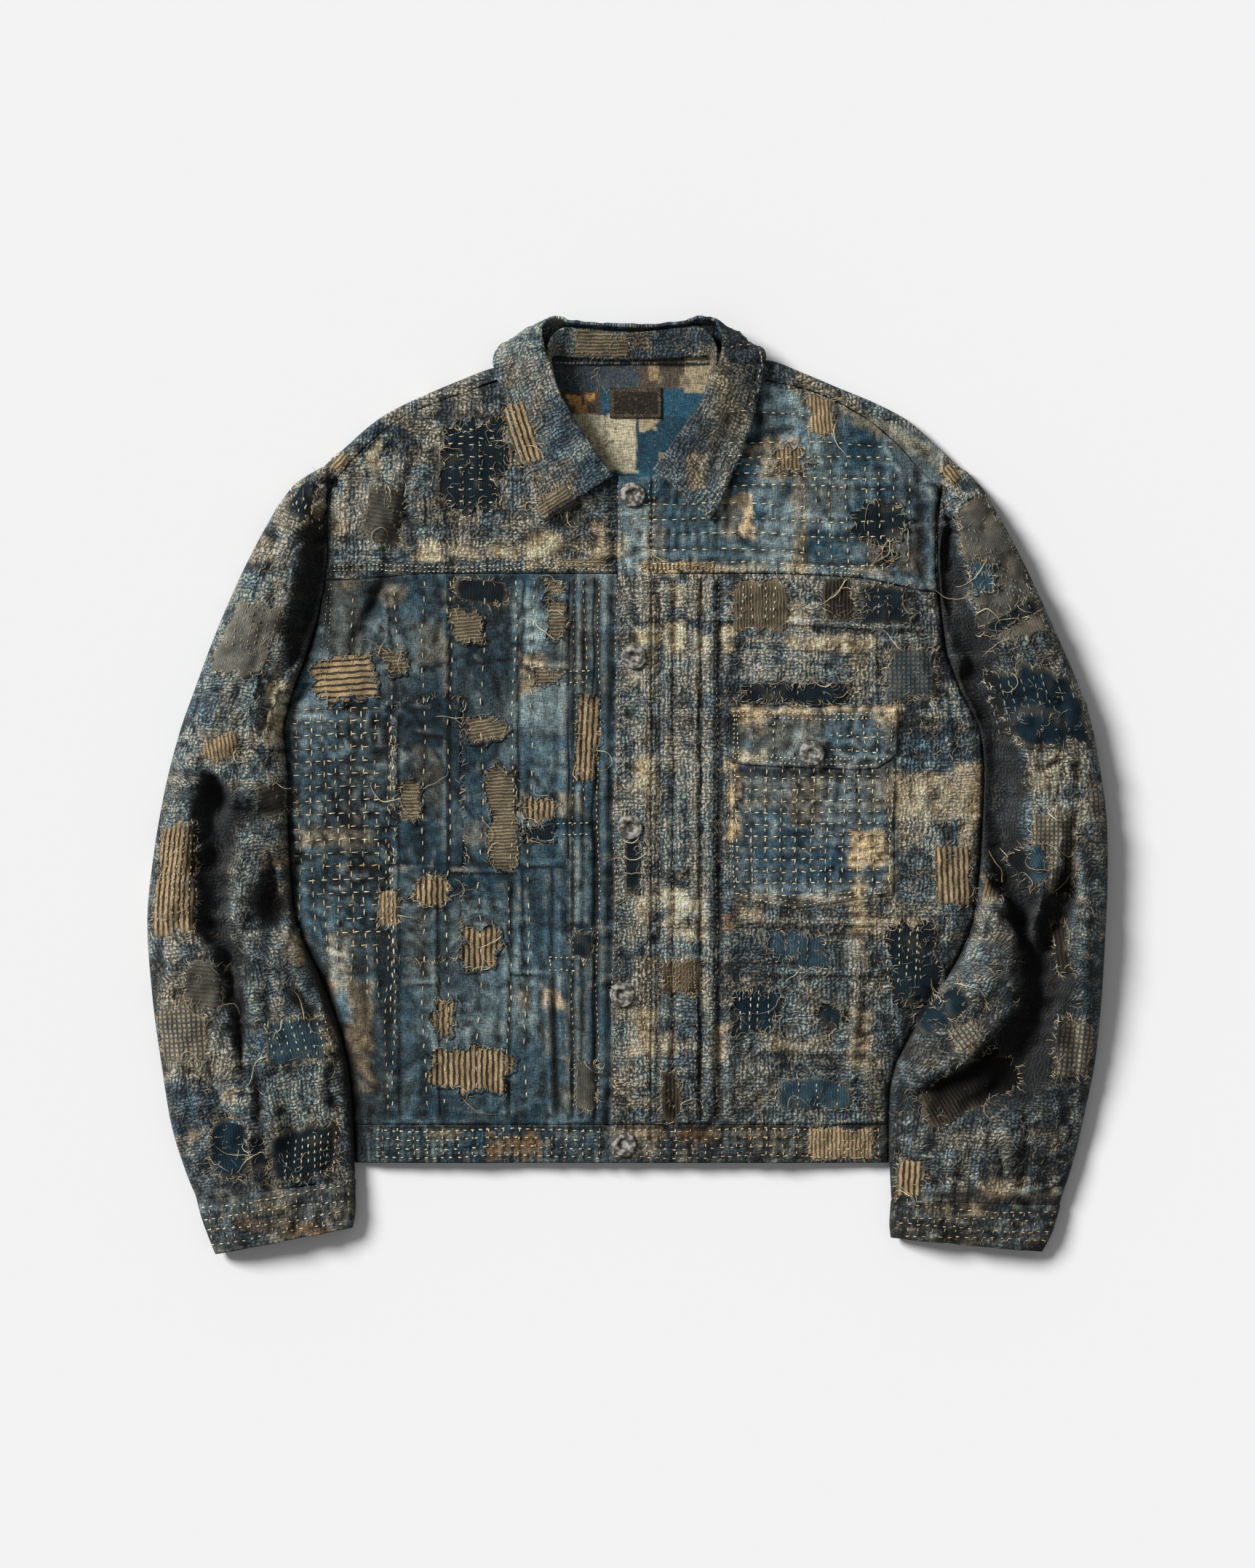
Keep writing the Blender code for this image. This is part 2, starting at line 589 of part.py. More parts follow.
def body_columns(side, rows, share, steps):
    # Columns from the side seam to the front edge; the last few keep their distance from that edge.
    near = overlap_edge(rows)[:, None] + np.array(steps, float)[None, :]
    start = near[:, :1] if side == "right" else near[:, -1:]
    outer = body_edge(side, rows)[:, None]
    far = outer + (start - outer) * share[None, :]
    x = np.hstack([far, near]) if side == "right" else np.hstack([near, far[:, ::-1]])
    return x, rows[:, None] + 0 * x


def make_waistband():
    rows = np.array([WAIST_SEAM - SEAM, -284.0, HEM])
    for side, finish, steps in (("right", "faded_cloth", UNDERLAP_STEPS),
                                ("left", "plaid_cloth", OVERLAP_STEPS)):
        x, y = body_columns(side, rows, ACROSS_BAND, steps)
        lay_on_back("waistband_" + side, x, y, BAND, finish, steps_down=side == "right")


def applied(name, sheet, rows, panels, thickness, finish, reach=4.0):
    # A piece sewn on panels: every point is the panel's own, moved out.
    x, y = columns_down(sheet, rows)
    low = np.array([[height_under(panels, px, py, reach) for px, py in zip(*spots)]
                    for spots in zip(x, y)]) + LIFT
    shell(name, stack(x, y, low + thickness), stack(x, y, low), finish)


def box_sheet(left, right, top, bottom, columns):
    xs = np.linspace(left, right, columns)
    return {"tx": xs, "ty": 0 * xs + top, "bx": xs, "by": 0 * xs + bottom}


def make_strips():
    levels = np.linspace(0, 1, 3)
    top, bottom = 242.5, WAIST_SEAM + 1
    low = float(overlap_edge(bottom))
    placket = {"tx": OVERLAP_TOP + levels * 26, "ty": 0 * levels + top,
               "bx": low + levels * (OVERLAP_WIDTH - 1), "by": 0 * levels + bottom}
    applied("placket", placket, 20, ["front_yoke_left", "front_left"], PLACKET, "plaid_cloth")
    pleat = box_sheet(-46, -27, YOKE_SEAM - 3, WAIST_SEAM + 2, 3)
    applied("pleat_right", pleat, 14, ["front_right"], STRIP, "faded_cloth")
    pleat = box_sheet(37, 57, YOKE_SEAM - 3, WAIST_SEAM + 2, 3)
    applied("pleat_left", pleat, 14, ["front_left"], STRIP, "plaid_cloth")


def make_pocket():
    applied("pocket", POCKET, 7, ["front_left"], STRIP, "faded_cloth")
    applied("pocket_flap", FLAP, 4, ["front_left", "pocket"], FLAP_CLOTH, "grey_cloth", 9.0)


def make_patches():
    finishes = ("dark_cloth", "dark_cloth", "cord_cloth", "cord_cloth", "dark_cloth", "grey_cloth",
                "dark_cloth", "indigo_cloth", "cord_cloth", "dark_cloth")
    panels = ("front_yoke_right", "front_right", "front_left", "front_yoke_left")
    for i, name in enumerate(PATCH_NAMES):
        left, right, top, bottom, panel = (PATCHES[key][i] for key in PATCHES)
        columns = 3 + int((right - left) / 30)
        rows = 3 + int((top - bottom) / 30)
        sheet = box_sheet(left, right, top, bottom, columns)
        applied(name, sheet, rows, [panels[int(panel)]], PATCH, finishes[i])


def sleeve_line(sleeve, count, side):
    ox, oy, ix, iy, height = (smooth(sleeve[key], count) for key in ("ox", "oy", "ix", "iy", "height"))
    if side == "right":
        ix = np.minimum(ix, body_edge(side, iy) - ARMHOLE_GAP)
    else:
        ix = np.maximum(ix, body_edge(side, iy) + ARMHOLE_GAP)
    return ox, oy, ix, iy, height


def sleeve_points(line, across):
    # Points at shares of the way across each section: 0 is the outer edge and 1 the inner one.
    ox, oy, ix, iy, height = (value[:, None] for value in line)
    return ox + (ix - ox) * across, oy + (iy - oy) * across, height


def seam_height(line):
    # The side seams ride lower where the sleeve narrows into the shoulder.
    ox, oy, ix, iy, _ = line
    return SLEEVE_SEAM * np.clip(np.hypot(ix - ox, iy - oy) / 60, 0.45, 1)[:, None]


def upper_face(line, folds, across, gap):
    x, y, height = sleeve_points(line, across)
    seam = seam_height(line) + gap
    bend = np.abs(2 * across - 1)
    z = seam + (height - seam) * np.sqrt(1 - bend ** SLEEVE_ROUND)
    if folds is not None:
        z = z + fold_height(folds, x, y) * (1 - bend ** SLEEVE_FADE)
        z = np.maximum(z, np.where(bend < 1, LEAST_SLEEVE + 3 * bend, z))
    return stack(x, y, z)


def under_face(line, across, gap):
    # Flat in the middle and turned up along both sides.
    ox, oy, ix, iy, _ = line
    width = np.hypot(ix - ox, iy - oy)[:, None]
    turn = np.minimum(UNDER_TURN, 0.3 * width)
    side = np.minimum(across, 1 - across)
    share = np.where(side <= 0.4, side / 0.4 * turn / width, 0.5)
    share = np.where(across > 0.5, 1 - share, share)
    x, y, _ = sleeve_points(line, share)
    return stack(x, y, (seam_height(line) - gap) * (1 - np.minimum(side / 0.4, 1)) ** 2)


def inset_edges(face, inner, thickness):
    # At a side seam the wall is level, so that its two panels meet edge to edge.
    for column, opposite in ((0, -1), (-1, 0)):
        far = face[:, opposite, :2] - face[:, column, :2]
        aim = far / np.linalg.norm(far, axis=1, keepdims=True)
        inner[:, column, :2] = face[:, column, :2] + aim * thickness
        inner[:, column, 2] = face[:, column, 2]
    return inner


def make_sleeve(side, sleeve, folds, cuff):
    mirror = 1 if side == "right" else -1
    line = sleeve_line(sleeve, 20, side)
    upper = upper_face(line, folds, ACROSS_UPPER, SEAM / 2)
    inside = wall_inside(upper, -CLOTH * mirror)
    inside[..., 2] = np.maximum(inside[..., 2], CLOTH + LIFT)
    shell("sleeve_upper_" + side, upper, inset_edges(upper, inside, CLOTH), "plaid_cloth")
    under = under_face(line, ACROSS_UNDER, SEAM / 2)
    inside = wall_inside(under, CLOTH * mirror)
    inside[..., 2] = np.where(under[..., 2] == 0, CLOTH, inside[..., 2])
    shell("sleeve_under_" + side, under, inset_edges(under, inside, CLOTH), "plaid_cloth")

    line = [smooth(cuff[key], 4) for key in ("ox", "oy", "ix", "iy", "height")]
    top = upper_face(line, None, ACROSS_UPPER, 0.0)
    bottom = under_face(line, ACROSS_UNDER, 0.0)
    ring = np.concatenate([top, bottom[:, -2:0:-1]], axis=1)
    inside = wall_inside(ring, -BAND * mirror, tube=True)
    inside[..., 2] = np.where(ring[..., 2] == 0, BAND, inside[..., 2])
    shell("cuff_" + side, ring, inside, "faded_cloth", tube=True)


def make_sleeve_patches():
    finishes = ("dark_cloth", "grey_cloth", "cord_cloth", "indigo_cloth", "grey_cloth", "indigo_cloth",
                "grey_cloth")
    for i, name in enumerate(SLEEVE_PATCH_NAMES):
        side, start, end, outer, inner = (SLEEVE_PATCHES[key][i] for key in SLEEVE_PATCHES)
        side = "left" if side else "right"
        line = sleeve_line(SLEEVE_LEFT if side == "left" else SLEEVE_RIGHT, 101, side)
        rows = np.linspace(start, end, 5) * 100
        line = [np.interp(rows, np.arange(101), value) for value in line]
        x, y, _ = sleeve_points(line, np.linspace(outer, inner, 5))
        low = np.array([[height_under(["sleeve_upper_" + side], px, py, 6.0) for px, py in zip(*spots)]
                        for spots in zip(x, y)]) + SLEEVE_LIFT
        shell(name, stack(x, y, low + PATCH), stack(x, y, low), finishes[i])


def make_collar():
    fold = np.stack([FALL["fx"], FALL["fy"], FALL["fz"]], axis=-1)
    edge = np.stack([FALL["ex"], FALL["ey"], FALL["ez"]], axis=-1)
    away = fold - NECK_MIDDLE
    away[:, 2] = 0
    away /= np.linalg.norm(away, axis=1, keepdims=True)
    up = np.array([0.0, 0.0, 1.0])
    near = fold + (edge - fold) / 3 + away * FALL["bow"][:, None] + up * FALL["dome"][:, None]
    far = edge - (edge - fold) / 3 + away * FALL["tuck"][:, None] + up * FALL["dome"][:, None] * 0.6
    share = np.linspace(0, 1, 7)[None, :, None]
    face = (fold[:, None] * (1 - share) ** 3 + near[:, None] * 3 * share * (1 - share) ** 2
            + far[:, None] * 3 * share ** 2 * (1 - share) + edge[:, None] * share ** 3)
    shell("collar_fall", face, wall_inside(face, -COLLAR), "plaid_cloth")

    top = np.stack([STAND["tx"], STAND["ty"], STAND["tz"]], axis=-1)
    seam = np.stack([STAND["bx"], STAND["by"], STAND["bz"]], axis=-1)
    share = np.linspace(0, 1, 4)[None, :, None]
    face = top[:, None] * (1 - share) + seam[:, None] * share
    shell("collar_stand", face, wall_inside(face, STAND_CLOTH), "plaid_cloth")


def make_button(name, x, y, panels):
    base = max(height_under(panels, x, y, BUTTON * share) for share in (0.3, 0.6, 0.95)) + SEAM
    turns = 12
    vertices = [(x, y, base + BUTTON_PROFILE["z"][0]), (x, y, base)]
    rings = []
    for r, z in zip(BUTTON_PROFILE["r"], BUTTON_PROFILE["z"]):
        start = len(vertices)
        for k in range(turns):
            a = 2 * math.pi * k / turns
            vertices.append((x + r * BUTTON * math.cos(a), y + r * BUTTON * math.sin(a), base + z))
        rings.append(list(range(start, start + turns)) + [start])
    faces = []
    for first, second in zip(rings[:-1], rings[1:]):
        faces += strip_faces(first, second)
    for a, b in zip(rings[0][:-1], rings[0][1:]):
        faces.append((0, a, b))
    for a, b in zip(rings[-1][:-1], rings[-1][1:]):
        faces.append((1, b, a))
    add_piece(name, vertices, faces, "button_metal")


def make_buttons():
    for i, (x, y) in enumerate(zip(BUTTON_SPOTS["x"], BUTTON_SPOTS["y"])):
        panels = ["placket", "waistband_left", "front_left", "front_yoke_left"]
        make_button("button_%d" % (i + 1), float(x), float(y), panels)
    make_button("button_pocket", *FLAP_BUTTON, ["pocket_flap"])


def main():
    clear_scene()
    make_back()
    make_back_yoke()
    make_lining()
    make_yokes()
    make_lower_fronts()
    make_waistband()
    make_strips()
    make_pocket()
    make_patches()
    make_sleeve("right", SLEEVE_RIGHT, SLEEVE_RIGHT_FOLDS, CUFF_RIGHT)
    make_sleeve("left", SLEEVE_LEFT, SLEEVE_LEFT_FOLDS, CUFF_LEFT)
    make_sleeve_patches()
    make_collar()
    make_buttons()


main()
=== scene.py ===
import math

import bmesh
import bpy
import numpy as np
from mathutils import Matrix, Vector
from mathutils.bvhtree import BVHTree


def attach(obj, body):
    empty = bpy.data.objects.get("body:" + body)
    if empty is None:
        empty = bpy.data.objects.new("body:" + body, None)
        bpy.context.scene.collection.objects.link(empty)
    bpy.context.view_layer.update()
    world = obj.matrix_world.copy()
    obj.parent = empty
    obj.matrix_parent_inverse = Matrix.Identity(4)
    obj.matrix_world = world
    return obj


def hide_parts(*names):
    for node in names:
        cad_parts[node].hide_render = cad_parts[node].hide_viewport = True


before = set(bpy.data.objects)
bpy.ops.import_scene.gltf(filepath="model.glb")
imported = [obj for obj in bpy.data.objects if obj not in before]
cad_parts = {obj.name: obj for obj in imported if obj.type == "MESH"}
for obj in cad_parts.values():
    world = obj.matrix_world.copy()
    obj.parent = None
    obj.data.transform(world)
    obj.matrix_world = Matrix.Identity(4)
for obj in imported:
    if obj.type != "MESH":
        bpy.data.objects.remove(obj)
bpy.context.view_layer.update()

# Patched boro work jacket, lying flat with its front up. Sizes are millimetres until a mesh is made.
# X runs to the wearer's left, Y up to the collar, Z up from the surface.
mm = 0.001
cloth = {"fine": 2.5, "hidden": 5.0, "wall": 1.5, "lap": 0.3}


def table(columns, rows):
    return {name: np.array([row[i] for row in rows], float) for i, name in enumerate(columns.split())}


# Body: y, side edges, height of the edges and of the middle.
body = table("y right left edge crown", (
    (340, -229, 249, 11.5, 15), (243, -229, 249, 11, 16), (223, -236, 245, 10.5, 16.5),
    (177, -235, 243, 9.5, 17), (131, -243, 247, 8.5, 17.5), (102, -252, 251, 8, 17.5),
    (73, -263, 262, 7.5, 17.5), (45, -271, 278, 7, 17.5), (10, -267, 281, 6.5, 17.5),
    (-36, -267, 279, 6.5, 17.5), (-70, -265, 277, 6.5, 17.5), (-105, -262, 273, 6.5, 17.5),
    (-122, -256, 268, 6.5, 17.5), (-148, -243, 254, 6.5, 17.5), (-180, -232, 232, 6.5, 17),
    (-197, -225, 223, 6.5, 16.5), (-220, -220, 211, 6.5, 16), (-240, -217, 206, 6.5, 15),
    (-269, -215, 205, 6.5, 13.5), (-299, -214, 205, 6, 12)))

# Folds: a line, how far the fold reaches from it and how high it stands.
bodyFolds = table("x0 y0 x1 y1 reach height", (
    (-172, 264, -176, 214, 6, -7), (-176, 214, -184, 186, 6, -7), (-184, 186, -203, 134, 7, -7),
    (-203, 134, -226, 104, 7, -6), (-197, 244, -194, 200, 9, 3.5), (-208, 236, -214, 190, 10, 2),
    (-168, 150, -160, 40, 12, 1.5), (-150, -60, -166, -235, 12, 2), (-88, -110, -96, -240, 10, 1.5),
    (118, -120, 112, -245, 12, 2), (176, -125, 160, -240, 12, 1.8), (240, 40, 246, -80, 10, 2)))

# Sleeves: each section from its outer to its inner edge, and its height.
sleeveRight = table("ox oy ix iy height", (
    (-241, 250, -230.5, 240, 15), (-254, 243, -237, 228, 19), (-267, 232, -238, 212, 25),
    (-286, 202, -238, 182, 31), (-305, 165, -240, 152, 34), (-325, 119, -250, 118, 35),
    (-344, 68, -266, 70, 34), (-354, 39, -274, 38, 33), (-365, -4, -270, -2, 33),
    (-374, -56, -269, -54, 34), (-379, -108, -263, -104, 34), (-375, -168, -245, -150, 32),
    (-368, -220, -228, -192, 30), (-360, -269, -219, -238, 28), (-349, -305, -216, -283, 25),
    (-340, -327, -215, -310, 22)))
sleeveLeft = table("ox oy ix iy height", (
    (266.5, 248.5, 250.5, 231.5, 15), (274, 240, 247, 220, 19), (283, 229, 245, 206, 24),
    (307, 186, 246, 176, 31), (328, 142, 250, 140, 34), (352, 88, 258, 90, 35), (365, 52, 274, 52, 34),
    (373, 12, 284, 14, 33), (378, -26, 282, -24, 33), (379, -72, 280, -66, 34), (377, -122, 273, -114, 34),
    (374, -172, 245, -164, 33), (369, -219, 221, -207, 31), (361, -259, 209, -247, 28),
    (352, -297, 207, -292, 25), (341, -331, 208, -327, 22)))
sleeveRightFolds = table("x0 y0 x1 y1 reach height", (
    (-238, 226, -246, 165, 10, -14), (-246, 165, -257, 118, 12, -14), (-257, 118, -272, 80, 11, -13),
    (-275, 80, -290, 36, 5, -8), (-288, 90, -298, 30, 9, 6), (-332, 20, -327, -16, 13, -14),
    (-327, -16, -327, -66, 14, -15), (-327, -66, -326, -112, 11, -14), (-326, -112, -314, -142, 10, -13),
    (-314, -142, -307, -184, 7, -12), (-307, -184, -300, -232, 6, -10), (-316, -14, -272, -18, 6, -10),
    (-277, -64, -281, -96, 7, -14), (-281, -96, -278, -124, 15, -15), (-306, -60, -308, -118, 10, 5),
    (-300, 16, -288, -6, 12, 6), (-286, -70, -304, -120, 7, 4), (-272, -140, -240, -200, 8, -6),
    (-352, -120, -345, -260, 12, 4), (-322, -230, -316, -300, 7, -5), (-268, -230, -262, -300, 7, -5)))
sleeveLeftFolds = table("x0 y0 x1 y1 reach height", (
    (251, 220, 254, 160, 7, -14), (254, 160, 262, 130, 9, -14), (262, 130, 279, 78, 12, -14),
    (279, 78, 293, 20, 13, -15), (293, 20, 295, -40, 15, -15), (295, -40, 297, -80, 15, -14),
    (297, -80, 306, -104, 12, -14), (306, -104, 324, -150, 9, -13), (346, -60, 334, -110, 9, -11),
    (334, -110, 324, -150, 9, -11), (324, -150, 322, -196, 20, -13), (322, -196, 306, -232, 17, -13),
    (306, -232, 270, -252, 13, -11), (362, 0, 364, -200, 12, 4), (330, 190, 356, 60, 14, 3),
    (318, -30, 322, -100, 10, 5), (262, -270, 256, -320, 9, 4), (318, -262, 310, -322, 8, -4)))
# Ledges: how far the high side swells and by how much, how far the low side hollows and by how much,
# then a path that has the high side on its right hand.
sleeveRightLedges = (
    (22, 4, 14, 10, (-268, -16), (-292, -20), (-314, -14), (-330, 16)),
    (22, 3, 10, 6, (-232, -196), (-262, -160), (-300, -132)), (16, 3, 8, 5, (-280, -300), (-296, -170)),
    (14, 2, 7, 4, (-344, -290), (-340, -200)))
sleeveLeftLedges = (
    (22, 5, 30, 13, (276, -66), (300, -100), (316, -134), (318, -162), (300, -190), (272, -214),
     (222, -243)),
    (20, 3, 14, 9, (352, -8), (344, -60), (330, -110), (326, -146)),
    (14, 3, 8, 4, (352, -300), (356, -180)), (12, 3, 8, 5, (300, -322), (292, -262)))
cuffRight = table("ox oy ix iy height", (
    (-339.5, -328.6, -214.8, -311.6, 22), (-336, -342, -215, -324, 23), (-331, -356, -215, -338, 22.5),
    (-325, -371, -217, -350, 20)))
cuffLeft = table("ox oy ix iy height", (
    (341.2, -332.6, 208.2, -328.6, 22), (338, -344, 207.5, -338, 23), (334, -356, 207, -348, 22.5),
    (327, -369, 208, -358, 20)))

# Collar: fold and outer edge of each section, how it bows at each and domes between.
collarFall = table("fx fy fz ex ey ez bow tuck dome", (
    (-11, 243, 21.5, -67, 208, 21.5, 0, 0, 2), (-23, 259, 24, -75, 229, 21.5, 0, 0, 3),
    (-37, 280, 27, -84, 257, 21.5, 0, 0, 4), (-51, 304, 30, -92, 284, 21.5, 1, 0, 5),
    (-61, 329, 32, -99, 309, 21.5, 2, 0, 5), (-66, 348, 32, -106, 332, 20, 3, 1, 5),
    (-67, 360, 30, -98, 345, 13, 5, 3, 4), (-58, 367, 24, -70, 341, 4, 7, 16, 1),
    (-36, 366, 16, -42, 338, 0.2, 9, 24, 0), (1, 362, 14.5, 1, 337, 0.2, 9, 24, 0),
    (39, 366, 16, 46, 338, 0.2, 9, 24, 0), (64, 368, 24, 76, 341, 4, 7, 16, 1),
    (73, 358, 30, 104, 345, 13, 5, 3, 4), (74, 344, 32, 110, 334, 20, 3, 1, 5),
    (70, 328, 32, 107, 315, 21.5, 2, 0, 5), (61, 307, 30, 99, 289, 21.5, 1, 0, 5),
    (48, 287, 27, 91, 263, 21.5, 0, 0, 4), (36, 270, 24.5, 81, 239, 21.5, 0, 0, 3),
    (27, 257, 23, 73, 220, 21.5, 0, 0, 2.5), (20, 248, 21.5, 66, 207, 21.5, 0, 0, 2)))
collarStand = table("tx ty tz bx by bz", (
    (-39, 278, 23.5, -41, 277, 20.5), (-52, 302, 26.5, -52, 301, 20), (-61, 328, 28, -58, 325, 19),
    (-61, 347, 25, -59, 337, 12), (-51, 359, 18, -48, 337, 9), (-30, 359, 12, -28, 336, 8.6),
    (1, 356, 11, 1, 335, 8.6), (34, 359, 12, 33, 336, 8.6), (57, 360, 18, 54, 337, 9),
    (68, 347, 25, 64, 337, 12), (69, 328, 28, 64, 325, 19), (61, 305, 26.5, 59, 304, 20),
    (49, 286, 23.5, 50, 285, 20.5)))

# Back yoke: lower seam, top edge where it turns over the shoulder, and the seam in front.
shoulderRight = table("bx ox oy sx sy", (
    (-235, -239, 252, -228.5, 241.5), (-218, -222, 267, -214, 259), (-196, -200, 286, -191, 280),
    (-176, -180, 298, -174, 291.5), (-152, -154, 310, -151, 301), (-124, -125, 322, -122, 311),
    (-108, -109, 328, -108, 317), (-90, -90, 332, -88, 322)))
neckBack = table("bx ox", ((-72, -72), (-40, -40), (2, 2), (44, 44), (78, 78)))
shoulderLeft = table("bx ox oy sx sy", (
    (94, 96, 334, 94, 323), (112, 114, 334.5, 112, 318), (140, 141, 324, 139, 312),
    (166, 167, 313, 165, 302), (192, 196, 301, 192, 286), (214, 222, 287, 214, 267),
    (232, 245, 267, 230, 249), (243, 263, 249.5, 246, 233)))

# Front yokes: each column from the shoulder seam or neckline down to the yoke seam.
yokeRight = table("tx ty bx by", (
    (-228.5, 241.5, -235, 161), (-221.25, 250.25, -226, 161), (-214, 259, -214, 161),
    (-202.5, 269.5, -203, 162), (-191, 280, -192, 163), (-182.5, 285.75, -184, 164),
    (-174, 291.5, -174, 165), (-151, 301, -151, 166), (-122, 311, -122, 166), (-88, 322, -88, 166),
    (-74, 322, -70, 166), (-64, 309, -52, 166), (-50, 286, -36, 166), (-36, 263, -26, 166),
    (-21, 247, -19.3, 166), (-15.5, 242, -15.3, 166), (-9.5, 240, -9.3, 166), (4, 239, 2.7, 166),
    (18, 239, 18.7, 166)))
yokeLeft = table("tx ty bx by", (
    (-7, 243, -7.3, 166), (6, 243, 6.7, 166), (20, 243, 17.7, 166), (37, 257, 30, 166), (51, 279, 42, 166),
    (65, 303, 56, 166), (80, 320, 74, 166), (94, 323, 92, 166), (112, 318, 110, 166),
    (139, 312, 137, 165.5), (165, 302, 163, 164), (192, 286, 190, 162), (214, 267, 212, 157),
    (230, 249, 230, 152.5), (238, 241, 240, 151.5), (246, 233, 246.5, 151)))
pocketShape = table("tx ty bx by", (
    (81, 57, 81, -87), (92, 57, 92, -90), (112, 57, 112, -95), (131, 57, 131, -99), (158, 57, 158, -95),
    (185, 57, 184, -91), (212, 57, 210, -88)))
flapShape = table("tx ty bx by", (
    (80, 60, 80, 18), (92, 60.5, 92, 15.5), (112, 60.5, 112, 14.5), (131, 60.5, 131, 13.5),
    (158, 60, 158, 12.5), (180, 60, 180, 11.5), (197, 59.5, 197, 13), (206, 59.5, 206, 18),
    (213, 59, 212, 24)))
seams = {"yoke": 166.0, "backYoke": 190.0, "waist": -269.0, "hem": -299.0, "neck": 333.0}

tones = {
    "tan": (186, 160, 122), "ecru": (210, 194, 162), "sand": (150, 136, 110), "rust": (142, 106, 64),
    "brown": (80, 70, 56), "grey": (88, 90, 84), "faded": (104, 118, 120), "blue": (56, 78, 88),
    "deep": (25, 54, 68), "navy": (17, 33, 41), "nearBlack": (18, 20, 21), "nub": (96, 108, 112),
    "dark": (42, 54, 62), "slate": (60, 68, 74), "khaki": (148, 140, 118), "dim": (76, 66, 56),
    "mist": (158, 166, 162)}


def tone(name):
    share = np.array(tones[name], float) / 255
    return np.where(share < 0.04045, share / 12.92, ((share + 0.055) / 1.055) ** 2.4)


# Plan of the whole jacket at 1 mm: its relief, its dye with painted shade and light, how nubby the cloth is.
plan = {"left": -388, "right": 389, "low": -382, "high": 380}
# How worn it is: crinkles all over and beside the quilting, how far rows of stitches sink in, how pale the
# ridges go with wear and how dark the hollows go as painted shade, how pale the woven bands are, and how
# light plain and nubby cloth come out.
wear = {"crinkles": 1001, "byQuilting": 249, "longRow": (-0.62, 0.3), "shortRow": (-0.45, 0.15),
        "ridges": 1.05, "collarRidgeWearAndShade": 0.7, "bands": 0.62, "plain": 1.18, "nubby": 0.36, "least": 0.003,
        "most": 0.9}
spotX, spotY = np.meshgrid(np.arange(plan["left"], plan["right"]), np.arange(plan["low"], plan["high"]))
spotX, spotY = spotX.astype(float), spotY.astype(float)


def smoothStep(value):
    value = np.clip(value, 0, 1)
    return value * value * (3 - 2 * value)


def cloud(wave, seed, wide=1.0, tall=1.0):
    # Soft noise from -1 to 1 with bumps about one wave across.
    draw = np.random.default_rng(seed)
    across, up = (spotX - plan["left"]) / (wave * wide), (spotY - plan["low"]) / (wave * tall)
    grid = draw.uniform(-1, 1, (int(up.max()) + 2, int(across.max()) + 2))
    i, j = up.astype(int), across.astype(int)
    fi, fj = smoothStep(up - i), smoothStep(across - j)
    low = grid[i, j] * (1 - fj) + grid[i, j + 1] * fj
    high = grid[i + 1, j] * (1 - fj) + grid[i + 1, j + 1] * fj
    return low * (1 - fi) + high * fi


def sample(field, x, y):
    across = np.clip(np.asarray(x) - plan["left"], 0, field.shape[1] - 1.001)
    up = np.clip(np.asarray(y) - plan["low"], 0, field.shape[0] - 1.001)
    i, j = up.astype(int), across.astype(int)
    fi, fj = up - i, across - j
    if field.ndim == 3:
        fi, fj = fi[..., None], fj[..., None]
    low = field[i, j] * (1 - fj) + field[i, j + 1] * fj
    high = field[i + 1, j] * (1 - fj) + field[i + 1, j + 1] * fj
    return low * (1 - fi) + high * fi


def sampleAt(field, points):
    return sample(field, points[..., 0], points[..., 1])


def window(x0, x1, y0, y1):
    return (slice(max(0, int(y0 - plan["low"])), max(0, int(y1 - plan["low"]) + 2)),
            slice(max(0, int(x0 - plan["left"])), max(0, int(x1 - plan["left"]) + 2)))


def blur(field, reach):
    # Box blur in both directions, three times over.
    for _ in range(3):
        for axis in (0, 1):
            total = np.cumsum(np.pad(field, [(reach + 1, reach) if k == axis else (0, 0) for k in (0, 1)],
                                     mode="edge"), axis=axis)
            ahead = np.take(total, range(2 * reach + 1, total.shape[axis]), axis=axis)
            behind = np.take(total, range(0, total.shape[axis] - 2 * reach - 1), axis=axis)
            field = (ahead - behind) / (2 * reach + 1)
    return field


evenY = np.arange(seams["hem"] - 1, 342.0)
softEdges = {}
for side in ("right", "left", "edge", "crown"):
    raw = np.interp(evenY, body["y"][::-1], body[side][::-1])
    soft = np.hanning(19) / np.hanning(19).sum()
    softEdges[side] = np.convolve(np.pad(raw, 9, mode="edge"), soft, mode="valid")


def bodyEdge(side, y):
    return np.interp(y, evenY, softEdges[side])


